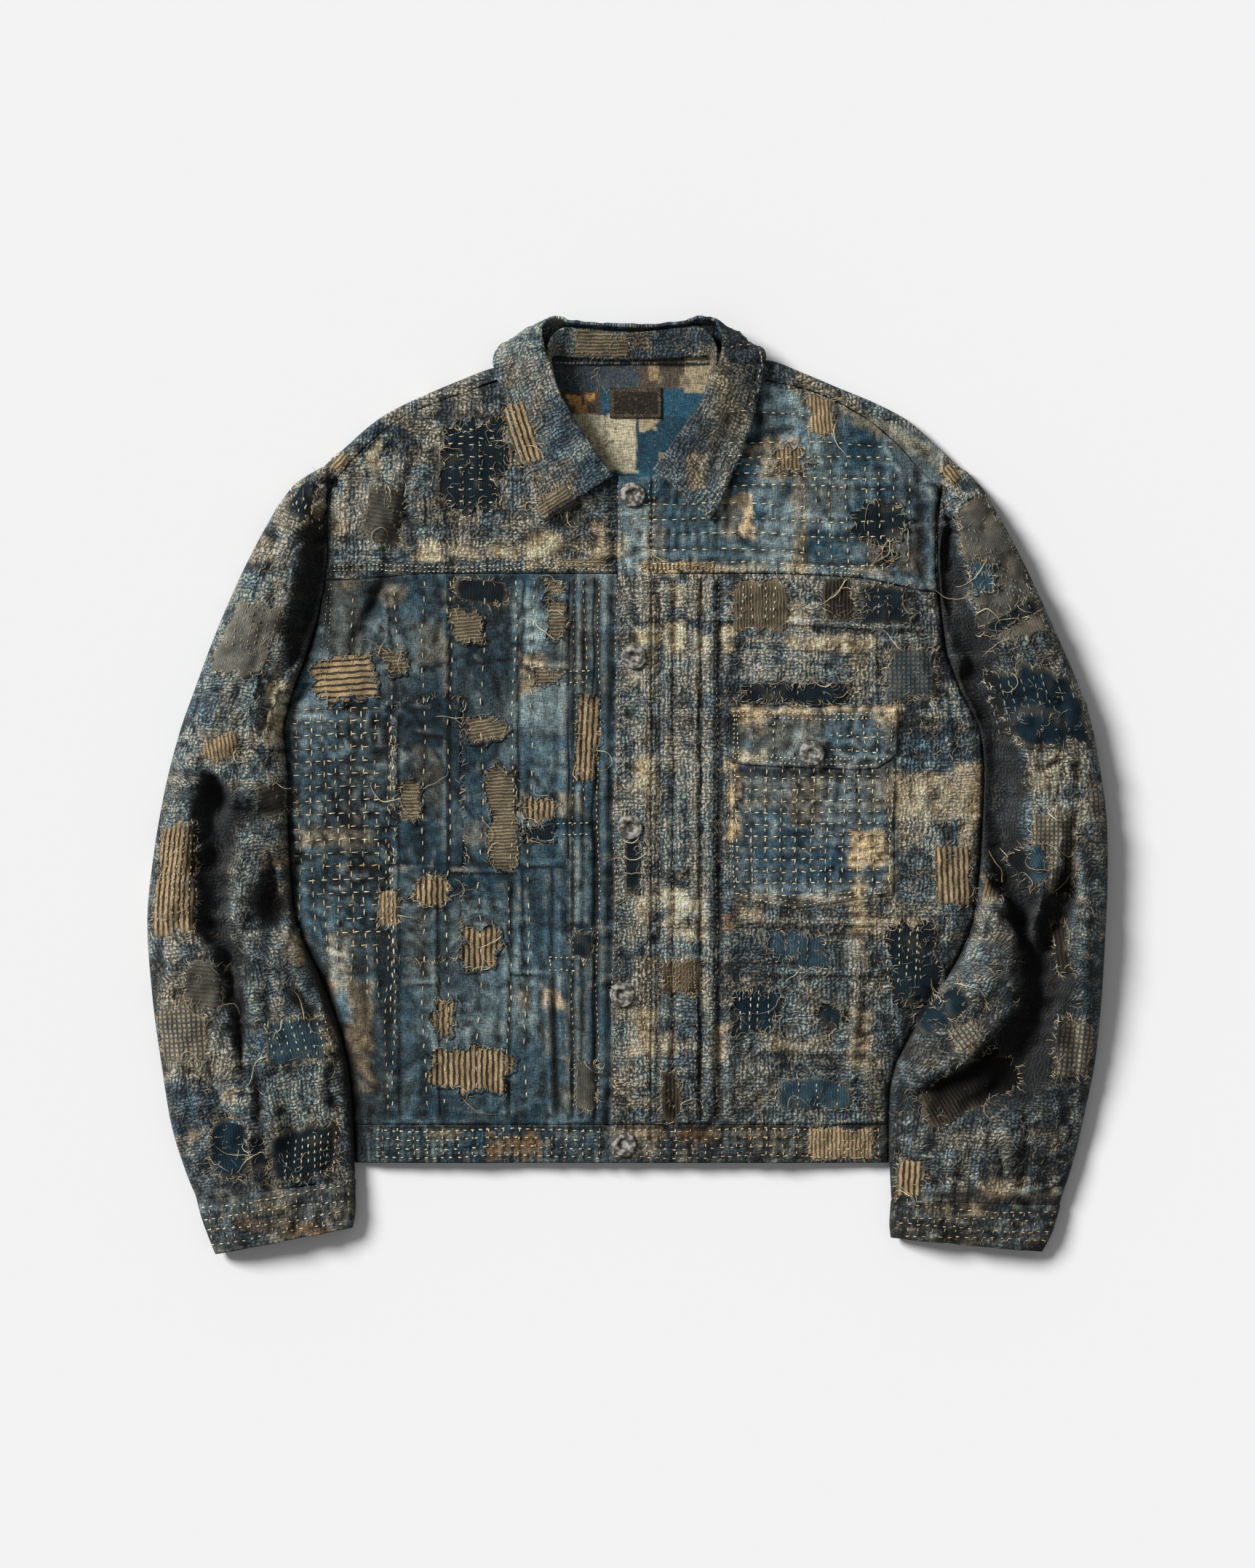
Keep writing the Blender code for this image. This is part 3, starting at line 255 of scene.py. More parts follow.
def foldHeight(folds, x, y, widen=1.0):
    # A fold narrows and dies away at an end where no other fold takes over.
    trough, ridge = np.zeros_like(x), np.zeros_like(x)
    x, y = x + sample(wanderX, x, y), y + sample(wanderY, x, y)
    rows = list(zip(*folds.values()))
    ends = [(row[k], row[k + 1]) for row in rows for k in (0, 2)]
    for x0, y0, x1, y1, reach, height in rows:
        run = ((x - x0) * (x1 - x0) + (y - y0) * (y1 - y0)) / ((x1 - x0) ** 2 + (y1 - y0) ** 2)
        near = np.clip(run, 0, 1)
        gap = np.hypot(x - x0 - near * (x1 - x0), y - y0 - near * (y1 - y0))
        length = math.hypot(x1 - x0, y1 - y0)
        fade = 1.0
        for end, along in (((x0, y0), near), ((x1, y1), 1 - near)):
            if ends.count(end) < 2:
                taper = smoothStep(along * length / 36)
                gap, fade = gap * (1 + 1.3 * (1 - taper)), fade * (0.3 + 0.7 * taper)
        # a deep fold has steep walls and a flat floor
        steep = 2.5 if height < -7 else 2
        rise = height * (1.3 if height < -7 else 1.15) * fade * np.exp(-(gap / reach / widen) ** steep)
        trough, ridge = np.minimum(trough, rise), np.maximum(ridge, rise)
    return trough + ridge


def ledgeHeight(ledges, x, y):
    # Cloth that swells to a crest along a path and drops away on its other side.
    total = np.zeros_like(x)
    x, y = x + sample(wanderX, x, y), y + sample(wanderY, x, y)
    for swell, rise, hollow, drop, *path in ledges:
        best, side, along, done = np.full_like(x, 1e6), np.zeros_like(x), np.zeros_like(x), 0.0
        for (x0, y0), (x1, y1) in zip(path[:-1], path[1:]):
            length = math.hypot(x1 - x0, y1 - y0)
            dx, dy = (x1 - x0) / length, (y1 - y0) / length
            run = np.clip((x - x0) * dx + (y - y0) * dy, 0, length)
            acrossX, acrossY = x - x0 - run * dx, y - y0 - run * dy
            gap = np.hypot(acrossX, acrossY)
            nearer = gap < best
            side = np.where(nearer, gap * np.sign(acrossX * dy - acrossY * dx), side)
            along, best, done = np.where(nearer, done + run, along), np.minimum(best, gap), done + length
        fade = smoothStep(along / 24) * smoothStep((done - along) / 24)
        over = smoothStep(side / 6 + 0.5)
        total += fade * (rise * np.exp(-(side / swell) ** 2) * over
                         - drop * np.exp(-(side / hollow) ** 2) * (1 - over))
    return total


wanderX = 3.6 * cloud(21, 71) + 1.6 * cloud(9, 72)
wanderY = 3.6 * cloud(24, 73) + 1.6 * cloud(10, 74)


def bodyHeight(x, y):
    right, left = bodyEdge("right", y), bodyEdge("left", y)
    edge, crown = bodyEdge("edge", y), bodyEdge("crown", y)
    across = np.clip(np.abs((x - (right + left) / 2) / ((left - right) / 2)), 0, 1)
    return (edge + (crown - edge) * np.sqrt(1 - across ** 5)
            + foldHeight(bodyFolds, x, y) * (1 - across ** 8))


def overlapEdge(y):
    return np.interp(y, (seams["hem"], 243.0), (-14.0, -7.0))


def underlap(x, y):
    return 3.2 * smoothStep((x - overlapEdge(y) + 8.0) / 6.0)


def yokeSeamAt(x):
    return np.where(x < 2, np.interp(x, yokeRight["bx"], yokeRight["by"]),
                    np.interp(x, yokeLeft["bx"], yokeLeft["by"]))


print("maps of relief and dye")
onRight = spotX < bodyEdge("right", spotY)
onLeft = spotX > bodyEdge("left", spotY)
onSleeve = onRight | onLeft
aboveYoke = (spotY > yokeSeamAt(spotX)) & ~onSleeve
plainFront = (spotX < overlapEdge(spotY)) & ~aboveYoke & ~onSleeve
plainYoke = aboveYoke & (spotX > overlapEdge(spotY)) & (spotY < 322 - 0.33 * np.maximum(spotX - 92, 0))
cuffZone = onSleeve & (spotY < -318)
waistZone = ~onSleeve & (spotY < seams["waist"])

# Running stitches: a line, stitch length, gap, and thread tone.
stitchLines = [
    # quilting rows down the plain front, on the wearer's right
    (-215, 146, -219, 98, 4, 6, "ecru"), (-183, 152, -182, 100, 3.6, 6.4, "ecru"),
    (-161, 160, -160, -262, 4.4, 7, "ecru"), (-139, 160, -143, -262, 4.4, 7.6, "ecru"),
    (-113, 160, -118, -262, 4.8, 8.4, "ecru"), (-88, 160, -95, -262, 3.4, 5.2, "ecru"),
    (-74, 160, -81, -262, 4.4, 6.2, "ecru"), (-185, 70, -184, -262, 3.4, 4.6, "ecru"),
    (-189, 66, -190, -262, 3.4, 5, "tan"), (-33, 160, -34, -20, 3, 4.4, "tan"),
    (-22, 160, -24, -262, 2.2, 2.4, "tan"), (-41, 160, -43, -262, 2.4, 3.4, "sand"),
    (-50, 88, -27, 88, 2.4, 2.2, "ecru"), (-50, 79, -27, 79, 2.4, 2.2, "ecru"),
    (-56, -32, -24, -32, 2.4, 2.2, "ecru"), (-56, -41, -24, -41, 2.4, 2.2, "ecru"),
    (-62, -138, -36, -138, 2.4, 2.2, "ecru"), (-62, -148, -36, -148, 2.4, 2.2, "ecru"),
    (-62, -138, -62, -148, 2, 1.6, "ecru"), (-36, -138, -36, -148, 2, 1.6, "ecru"),
    (-237, 158, -243, 60, 1.6, 1.8, "sand"), (-233, 158, -239, 80, 1.6, 1.8, "sand")]
for k, y in enumerate((293, 270, 259, 252, 244, 236, 222, 210, 198, 186, 175)):
    # rows across the plain yoke, on the wearer's left
    stitchLines.append((64 + max(0, 12 - k) * 1.5 if k < 6 else 4, y, 214 if k % 3 else 150, y - 3, 4, 3.8,
                        "ecru"))
for k, x in enumerate((138, 149, 160, 173, 188, 199, 210, 221)):
    stitchLines.append((x, 262 - k * 3, x + 1, 168 - k, 3.4, 5, "ecru"))
for k in range(19):
    # the heavy grid near the wearer's right side
    y = 58 - k * 10.4
    stitchLines.append((-264 + max(0, k - 11) * 6.5, y, -184, y + 2, 4.6, 4.6, "ecru" if k % 3 else "tan"))
for k in range(8):
    x = -261 + k * 10.4
    stitchLines.append((x, 60 - abs(k - 4) * 2, x + 3, -128 - k * 9, 4.4, 4.8, "ecru" if k % 2 else "tan"))
for k in range(9):
    # the indigo window on the wearer's right yoke
    y = (281, 275, 269, 260, 251, 242, 234, 224, 217)[k]
    stitchLines.append((-141, y, -101, y - 1, 3.6, 4.4, "ecru"))
for k in range(11):
    # pocket bag and flap
    y = 6 - k * 9.2
    stitchLines.append((85, y, 209, y - 1.5, 3.6, 3.8, "ecru"))
for k in range(11):
    x = 86 + k * 12.0
    stitchLines.append((x, 12, x - 1, -88 - min(k, 10 - k) * 2, 3.6, 4.2, "ecru"))
for x in (164, 176, 187, 198):
    stitchLines.append((x, 54, x, 14, 3.2, 3.2, "ecru"))
stitchLines += [
    (116, 56, 116, 16, 3, 3.4, "ecru"), (160, 38, 208, 38, 3.2, 3.4, "ecru"),
    (160, 27, 206, 26, 3.2, 3.4, "ecru"), (83, 46, 128, 46, 2.2, 2.2, "tan"),
    (83, 56, 210, 56, 2, 1.6, "ecru"), (83, 52, 210, 52, 2, 1.6, "ecru"), (83, 55, 83, 18, 2, 1.6, "ecru"),
    (87, 55, 87, 18, 2, 1.6, "ecru"), (84, 19, 178, 15.5, 2, 1.6, "ecru"),
    (84, 23, 178, 19.5, 2, 1.6, "ecru"), (180, 15, 197, 16.5, 2, 1.6, "ecru"),
    (198, 17, 209, 25, 2, 1.6, "ecru"), (209, 26, 210, 55, 2, 1.6, "ecru"),
    (84, 12, 84, -84, 2.2, 1.8, "ecru"), (80, 12, 80, -84, 2.2, 1.8, "tan"),
    (209, 12, 207.5, -84, 2.2, 1.8, "ecru"), (85, -86, 131, -96, 2.2, 1.8, "ecru"),
    (131, -96, 207, -86, 2.2, 1.8, "ecru"), (85, -82, 131, -92, 2.2, 1.8, "tan"),
    (131, -92, 207, -82, 2.2, 1.8, "tan")]
for start, y0, end, y1 in ((-232, 167.6, -10, 169.6), (-232, 171.4, -10, 173.4), (-6, 169.6, 190, 164.6),
                           (-6, 173.2, 190, 168.2)):
    # twin rows above the yoke seam
    stitchLines.append((start, y0, end, y1, 1.9, 1.5, "ecru"))
for y, gap in ((-273, 3), (-280, 4.6), (-287, 4.4), (-294, 3.2)):
    # rows along the waistband
    stitchLines += [(-198, y, -16, y, 3.2, gap, "ecru"), (-10, y, 202, y, 3.2, gap, "tan")]
for k in range(33):
    x = -194 + k * 12.2
    stitchLines.append((x, -272, x + (k % 3) - 1, -297, 2.6, 3.4, "ecru" if k % 2 else "tan"))
for x, y0, y1 in ((-7, 236, -262), (-3.5, 236, -262), (18, 236, -262), (21, 240, -262), (27, 160, -262),
                  (38, 160, -262), (55, 160, -262), (62, 160, -262), (71, 160, -262)):
    # along the button band and the pleats
    stitchLines.append((x, y0, x - 5 if x < 22 else x - 2, y1, 2, 2.6, "sand" if x > 22 else "tan"))
for k in range(7):
    y = -140 - k * 4.2
    stitchLines.append((27, y, 59, y, 2.4, 1.8, "rust"))
for k in range(6):
    x = 29 + k * 5.6
    stitchLines.append((x, -138, x, -168, 2.4, 2, "rust"))
for k in range(4):
    # window rows low on the wearer's left front
    stitchLines += [(88 + k * 8, -162, 88 + k * 8, -196, 3, 2.6, "ecru"),
                    (116 + k * 9, -117, 116 + k * 9, -143, 3, 3, "sand"),
                    (206 + k * 8, -106 - k * 2, 204 + k * 8, -160, 3, 3.4, "ecru"),
                    (96 + k * 20, 78, 96 + k * 20, 64, 2.6, 2.2, "sand"),
                    (90 + k * 9, 156, 90 + k * 9, 124, 2.6, 3, "ecru"),
                    (188 + k * 9, 154, 189 + k * 9, 128, 2.6, 3, "sand"),
                    (118 + k * 16, -236, 118 + k * 16, -258, 2.6, 2.6, "ecru")]


def addCrease(field, x0, y0, x1, y1, reach, height, ripple=0.0, pitch=8.0, phase=0.0):
    # A soft ridge or groove along a line, with puckers beside it.
    far = reach * 2.6 + 3
    area = window(min(x0, x1) - far, max(x0, x1) + far, min(y0, y1) - far, max(y0, y1) + far)
    x, y = spotX[area], spotY[area]
    length = max(math.hypot(x1 - x0, y1 - y0), 0.5)
    run = ((x - x0) * (x1 - x0) + (y - y0) * (y1 - y0)) / length ** 2
    near = np.clip(run, 0, 1)
    gap = np.hypot(x - x0 - near * (x1 - x0), y - y0 - near * (y1 - y0))
    fade = smoothStep(np.minimum(near, 1 - near) * length / (reach * 2) + 0.25)
    field[area] += height * fade * np.exp(-(gap / reach) ** 2)
    if ripple:
        wave = np.sin(2 * np.pi * (near * length / pitch + phase))
        field[area] += ripple * wave * np.exp(-(gap / 4.0) ** 2)


# Painted shade: deep folds, and the gap between sleeve and body, are darkened in the colour.
depth = foldHeight(bodyFolds, spotX, spotY) * 0.8
for zone, folds, ledges in ((onRight, sleeveRightFolds, sleeveRightLedges),
                            (onLeft, sleeveLeftFolds, sleeveLeftLedges)):
    depth = np.where(zone, foldHeight(folds, spotX, spotY, 1.3) + ledgeHeight(ledges, spotX, spotY), depth)
hollow = 1 - 0.93 * smoothStep(-depth / 12.0 - 0.08)
rimGap = np.minimum(np.abs(spotX - bodyEdge("right", spotY)), np.abs(spotX - bodyEdge("left", spotY)))
hollow *= 1 - np.where(onSleeve, 0.75, 0.6) * np.exp(-(rimGap / 4.5) ** 2) * smoothStep((200 - spotY) / 30)

relief = np.zeros_like(spotX)
calm = np.where(plainFront | plainYoke, 0.75, 1.0) * np.where(onSleeve, 1.3, 1.0)
for wave, seed, height in ((46, 1, 2.0), (22, 2, 1.5), (12, 3, 1.1), (6, 4, 0.6), (3.4, 5, 0.3)):
    relief += height * cloud(wave, seed) * calm
for wave, seed, wide, tall, height in (
        (34, 51, 1.0, 1.8, -1.5), (26, 52, 1.6, 1.0, 1.3), (18, 53, 0.8, 1.6, -1.1), (15, 54, 1.5, 0.8, 1.0),
        (9, 55, 1.0, 1.0, -0.7)):
    # a net of crisp wrinkles, in patches
    line = np.exp(-(cloud(wave, seed, wide, tall) / 0.13) ** 2)
    relief += 1.3 * height * line * smoothStep(0.45 + 0.9 * cloud(40, seed + 20)) * calm
relief += 0.8 * cloud(9, 6, 1.0, 5.0) * np.where(onSleeve, 0.3, 0.8) * smoothStep(0.6 + cloud(60, 7))
relief += 0.55 * cloud(7, 8, 4.5, 1.0) * np.where(onSleeve, 0.9, 0.35)
nubGrid = (np.sin((spotX + 3 * cloud(30, 9)) * 2 * np.pi / 5.4)
           * np.sin((spotY + 3 * cloud(30, 10)) * 2 * np.pi / 5.0))
relief += 0.30 * nubGrid * np.where(plainFront | plainYoke, 0.15, 1.0)
ripples = np.sin((spotX + 5 * cloud(26, 11)) * 2 * np.pi / 8.2)
relief += (0.6 * ripples * smoothStep((spotX - 10) / 20) * smoothStep((135 - spotX) / 20) * aboveYoke
           * smoothStep((232 - spotY) / 20) * (0.6 + 0.6 * cloud(14, 12)))
draw = np.random.default_rng(20)
for k in range(wear["crinkles"] + wear["byQuilting"]):
    # small crinkles all over, and more where the quilting pulls
    x, y = draw.uniform(-380, 382), draw.uniform(-370, 335)
    if k >= wear["crinkles"]:
        x, y = draw.uniform(-236, -176), draw.uniform(-120, 62)
    lean = draw.normal(0, 0.5) + (0 if draw.random() < 0.6 else 1.4)
    length, reach = draw.uniform(9, 34), draw.uniform(1.5, 3.2)
    addCrease(relief, x, y, x + length * math.sin(lean), y + length * math.cos(lean), reach,
              draw.uniform(0.5, 1.5) * (1 if draw.random() < 0.45 else -1))
for k, (x0, y0, x1, y1, stitch, gap, shade) in enumerate(stitchLines):
    pitch = stitch + gap
    dip, ripple = wear["longRow" if pitch > 5 else "shortRow"]
    addCrease(relief, x0, y0, x1, y1, 1.9, dip, ripple, pitch, k * 0.37)

# Named creases: pleats, seams, pulled tears, and the longer drag lines of each area.
creases = (
    (-42, 162, -44, -266, 2, -1.8), (-34, 162, -36, -266, 1.6, -1.2), (-23, 162, -26, -266, 2, -1.8),
    (-52, 162, -54, -266, 2.6, 1.2), (-17, 162, -19, -266, 3, 1.2), (24, 162, 23, -266, 2.4, -2),
    (30, 162, 30, -266, 3.4, 1.6), (36, 162, 35, -266, 1.9, -2.2), (58, 162, 57, -266, 2, -2.4),
    (65, 162, 64, -266, 3.6, 2.2), (73, 162, 72, -266, 2.8, -3.4), (79, 162, 79, -266, 3.4, 1),
    (-73, 142, -99, 119, 1.6, -1.4), (-99, 119, -128, 101, 1.6, -1.5), (-128, 101, -162, 88, 1.6, -1.4),
    (-160, 40, -120, -30, 1.6, -1), (-120, -30, -95, -60, 1.6, -1), (-185, -62, -90, -66, 1.7, -1.4),
    (-195, 160, -222, 96, 5, -2.2), (-184, 158, -205, 100, 4, 1.8), (-240, 40, -205, 20, 4, 1.2),
    (-236, 10, -190, -20, 4, -1.6), (-238, -14, -186, -34, 4, 1.5), (-236, -50, -180, -76, 5, -2.4),
    (-232, -64, -182, -92, 4, 1.8), (-228, -96, -180, -110, 4, -1.4), (-214, -130, -196, -250, 5, -2),
    (-204, -120, -186, -250, 4, 1.6), (-176, -30, -158, -100, 3, 1.2), (-80, -60, -74, -200, 3, 1),
    (-64, -160, -60, -262, 2.4, 1.6), (-58, -150, -54, -262, 2.2, -2.2), (-48, -170, -46, -262, 2.4, 1.8),
    (84, 296, 66, 246, 5, -1.6), (98, 290, 84, 230, 4, 1.4), (118, 280, 108, 214, 4, -1.3),
    (196, 272, 206, 178, 4, -1.6), (214, 262, 222, 164, 5, 2), (228, 250, 234, 160, 4, -2),
    (240, 236, 242, 150, 3.5, 2), (156, 300, 150, 260, 4, 1.2), (100, 132, 204, 124, 3, 1.3),
    (90, 108, 210, 100, 3, -1.4), (96, 92, 214, 88, 3, 1.2), (212, 140, 236, 60, 4, -1.6),
    (224, 120, 256, 20, 5, 2), (226, 30, 262, -60, 5, -1.8), (230, -10, 262, -100, 4, 1.6),
    (86, -104, 210, -112, 3.4, 1.6), (84, -112, 200, -122, 3, -1.8), (98, -150, 200, -146, 4, 1.2),
    (170, -114, 160, -200, 4, -1.5), (182, -118, 176, -240, 4, 1.8), (196, -150, 214, -212, 4, -1.4),
    (84, -212, 200, -218, 3.4, -1.6), (84, -224, 196, -232, 3.4, 1.4), (-196, -271, -18, -271, 2.2, -1.4),
    (-8, -271, 203, -271, 2.2, -1.6), (-246, 236, -300, 120, 5, 2), (-266, 226, -322, 110, 4, -1.4),
    (-300, 100, -346, 10, 5, 1.8), (-340, 20, -366, -80, 5, -1.6), (-356, -60, -368, -200, 5, 2),
    (-330, 90, -300, 60, 4, -1.5), (-316, -40, -352, -60, 4, 1.6), (-346, -100, -320, -160, 5, 1.8),
    (-250, -120, -236, -220, 4, 2.2), (-286, -150, -270, -290, 4, -2), (-300, -190, -296, -300, 4, 2),
    (-336, -190, -322, -300, 4, -1.6), (-240, -210, -226, -300, 4, -1.8), (-330, -60, -300, -96, 4, -2.2),
    (-262, -60, -300, -40, 4, 2), (262, 240, 300, 170, 4, -1.4), (290, 216, 330, 120, 5, 1.8),
    (300, 160, 352, 40, 4, -1.6), (310, 100, 340, 20, 5, 1.8), (312, 30, 344, -50, 4, 2),
    (352, 20, 366, -120, 4, -1.6), (372, -20, 370, -200, 4, 1.6), (296, -60, 316, -150, 4, -2.4),
    (300, -150, 250, -212, 4, -2), (282, -150, 240, -196, 5, 2.4), (262, -130, 244, -170, 4, 2),
    (318, -110, 352, -180, 4, 1.8), (330, -200, 352, -280, 4, -1.6), (240, -240, 226, -320, 4, 1.8),
    (286, -262, 280, -320, 4, -1.6), (216, -230, 214, -310, 3, -1.6), (226, -276, 340, -280, 4, 1.4))
for crease in creases:
    addCrease(relief, *crease)
# Painted shadow: where an edge stands off the cloth under it, the place beside it is dark.
shadows = (
    (-64, 201, -30, 218, 5, -0.75), (-30, 218, -8, 232, 5, -0.75), (74, 200, 98, 250, 5, -0.7),
    (98, 250, 114, 306, 4, -0.65), (84, 11, 178, 8, 3, -0.8), (178, 8, 200, 10, 3, -0.75),
    (200, 10, 214, 21, 3, -0.7), (215, 24, 216, 56, 2.4, -0.6), (213, 8, 212, -86, 2.4, -0.6),
    (80, -90, 131, -102, 2.6, -0.7), (131, -102, 211, -91, 2.6, -0.7), (24, 232, 29, -262, 2.4, -0.45),
    (-252, -125, -226, -200, 8, -0.9), (-226, -200, -206, -300, 8, -0.9), (-232, 160, -238, 120, 5, -0.6),
    (-160, 276, -148, 272, 4, -0.5), (-146, 288, -148, 216, 3, -0.6), (-150, 290, -98, 291, 3, -0.6),
    (268, -100, 248, -148, 7, -0.6), (-236, -4, -216, -44, 7, -0.6), (-214, -40, -190, -84, 6, -0.5),
    (46, -10, 45, -70, 3, -0.7), (80, 158, 79, 70, 3, -0.6), (79, 60, 77, -60, 3, -0.5),
    (-60, -150, -57, -258, 3, -0.7), (-50, -30, -22, -31, 2.4, -0.7))
for shadow in shadows:
    addCrease(hollow, *shadow)
hollow = np.clip(hollow, 0.05, 1)

# Edges of cloth sewn over cloth on the plain front: a step up, and a dark line of painted shade where it
# ends, with a lighter band along the raised side.
sewnShade = np.zeros_like(spotX)
sewnEdges = (
    (-140, 162, -141, -70), (-86, 150, -87, -70), (-141, -70, -86, -71), (-190, 150, -182, 62),
    (-82, 162, -83, 92), (-83, 92, -46, 90), (-46, 160, -47, -60), (-82, -20, -83, -150),
    (-83, -66, -48, -64), (-181, 52, -180, -262), (-150, -76, -148, -262), (-92, -76, -94, -262),
    (-60, -66, -61, -140), (-122, 96, -88, 98), (-168, 40, -142, 36), (-178, -160, -150, -158),
    (-94, -150, -62, -152), (60, 128, 232, 120), (84, 82, 210, 78), (88, -112, 212, -112),
    (88, -150, 200, -152), (196, 118, 198, 62), (-160, 224, -158, 186), (-96, 240, -60, 238))
for x0, y0, x1, y1 in sewnEdges:
    reach = math.hypot(x1 - x0, y1 - y0)
    for field, off, wide, height in ((relief, 0, 1.5, -1.5), (relief, 3.0, 2.4, 1.1),
                                     (sewnShade, 0, 1.3, -0.62), (sewnShade, 2.6, 1.3, 0.42)):
        dx, dy = off * abs(y1 - y0) / reach, off * abs(x1 - x0) / reach
        addCrease(field, x0 - dx, y0 + dy, x1 - dx, y1 + dy, wide, height)
puckers = np.sin((spotX + 2 * cloud(20, 13)) * 2 * np.pi / 6.4)
rise = spotY - yokeSeamAt(spotX)
relief += (0.9 + 0.5 * puckers) * np.exp(-((rise - 4.5) / 3.6) ** 4) * ~onSleeve * (spotY < 200)
relief += waistZone * 0.7 * puckers * (0.5 + 0.5 * cloud(12, 14))
relief += cuffZone * 0.6 * cloud(5, 15, 1.0, 3.0)
relief = np.clip(relief, -5.0, 5.0)


# Dye: each area's base, then bleached, darned and dark spots and painted shade and light laid over it.
def softTone(first, second, wave, seed):
    share = smoothStep(0.5 + 0.75 * cloud(wave, seed) + 0.4 * cloud(wave / 3, seed + 50))
    return tone(first) + (tone(second) - tone(first)) * share[..., None]


nubBase = softTone("nub", "dark", 26, 21)
plainBase = softTone("blue", "faded", 40, 22)
plainBase = plainBase + (softTone("deep", "blue", 18, 23) - plainBase) * smoothStep(
    0.35 + 0.9 * cloud(34, 24) + 0.35 * cloud(9, 25))[..., None]
yokeBase = softTone("faded", "deep", 22, 26)
dyeAndShading = np.where(plainFront[..., None], plainBase, nubBase)
dyeAndShading = np.where(plainYoke[..., None], yokeBase, dyeAndShading)
nub = np.where(plainFront, 0.12, np.where(plainYoke, 0.16, 1.0))
nub = np.where(cuffZone | waistZone, 0.5, nub)
plaidAcross = np.cos((spotX - 8) * 2 * np.pi / 46.0) + 0.5 * np.cos(spotX * 2 * np.pi / 15.3)
plaidUp = np.cos((spotY + 6) * 2 * np.pi / 52.0) + 0.5 * np.cos(spotY * 2 * np.pi / 17.1)
plaid = smoothStep((plaidAcross + plaidUp) * 0.45 - 0.25 + 0.72 * cloud(11, 27))
plaid = plaid * np.where(plainFront | plainYoke, 0.0, 0.38)
inPocket = (spotX > 80) & (spotX < 214) & (spotY < 62) & (spotY > -88 - 11 * (1 - np.abs(spotX - 146) / 66))
nub = np.where(inPocket, 0.1, nub)
dyeAndShading = dyeAndShading + (tone("sand") - dyeAndShading) * plaid[..., None]
bandsAcross, bandsUp = (np.repeat(values, widths)[:900] for values, widths in (
    (np.random.default_rng(seed).uniform(-1, 1, 200), np.random.default_rng(seed + 1).integers(4, 14, 200))
    for seed in (81, 91)))
column = bandsAcross[np.clip((spotX - plan["left"] + wanderX * 0.7).astype(int), 0, 899)]
row = bandsUp[np.clip((spotY - plan["low"] + wanderY * 0.7).astype(int), 0, 899)]
bands = column * smoothStep(0.6 + cloud(44, 93)) + row * smoothStep(0.6 + cloud(44, 94))
bands = bands * np.where(plainFront, 0.25, np.where(plainYoke, 0.4, 1.0))
dyeAndShading = dyeAndShading * (1 + wear["bands"] * np.clip(bands, -1.2, 1.2))[..., None]
dyeAndShading = dyeAndShading * (1 + 0.45 * cloud(17, 95) + 0.25 * cloud(7, 96))[..., None]
dyeAndShading = dyeAndShading + (tone("sand") - dyeAndShading) * (0.6 * smoothStep((bands - 0.55) / 0.5) * (nub > 0.4))[..., None]
collarBase = nubBase * (1.15 + 0.5 * bands)[..., None]


def paint(x, y, wide, tall, shade, amount, turn=0.0, onto=None, soft=2.2, ragged=4.5):
    # One stain, bleached or darned spot, or a place of painted shade or light, with an uneven edge.
    half = math.hypot(wide, tall) / 2 + ragged + soft
    area = window(x - half, x + half, y - half, y + half)
    lean = math.radians(turn)
    dx, dy = spotX[area] - x, spotY[area] - y
    u, v = dx * math.cos(lean) + dy * math.sin(lean), dy * math.cos(lean) - dx * math.sin(lean)
    inside = np.minimum(wide / 2 - np.abs(u), tall / 2 - np.abs(v)) + ragged * edgeNoise[area]
    mask = smoothStep(inside / soft * 0.5 + 0.5) * amount * (1 if isinstance(shade, float) else patchy[area])
    field = dyeAndShading if onto is None else onto
    # a number makes the place darker or lighter, a tone dyes it
    wanted = field[area] * shade if isinstance(shade, float) else tone(shade)
    field[area] += (wanted - field[area]) * mask[..., None]
    if shade in ("tan", "ecru", "rust") and onto is None:
        nub[area] *= 1 - 0.62 * mask


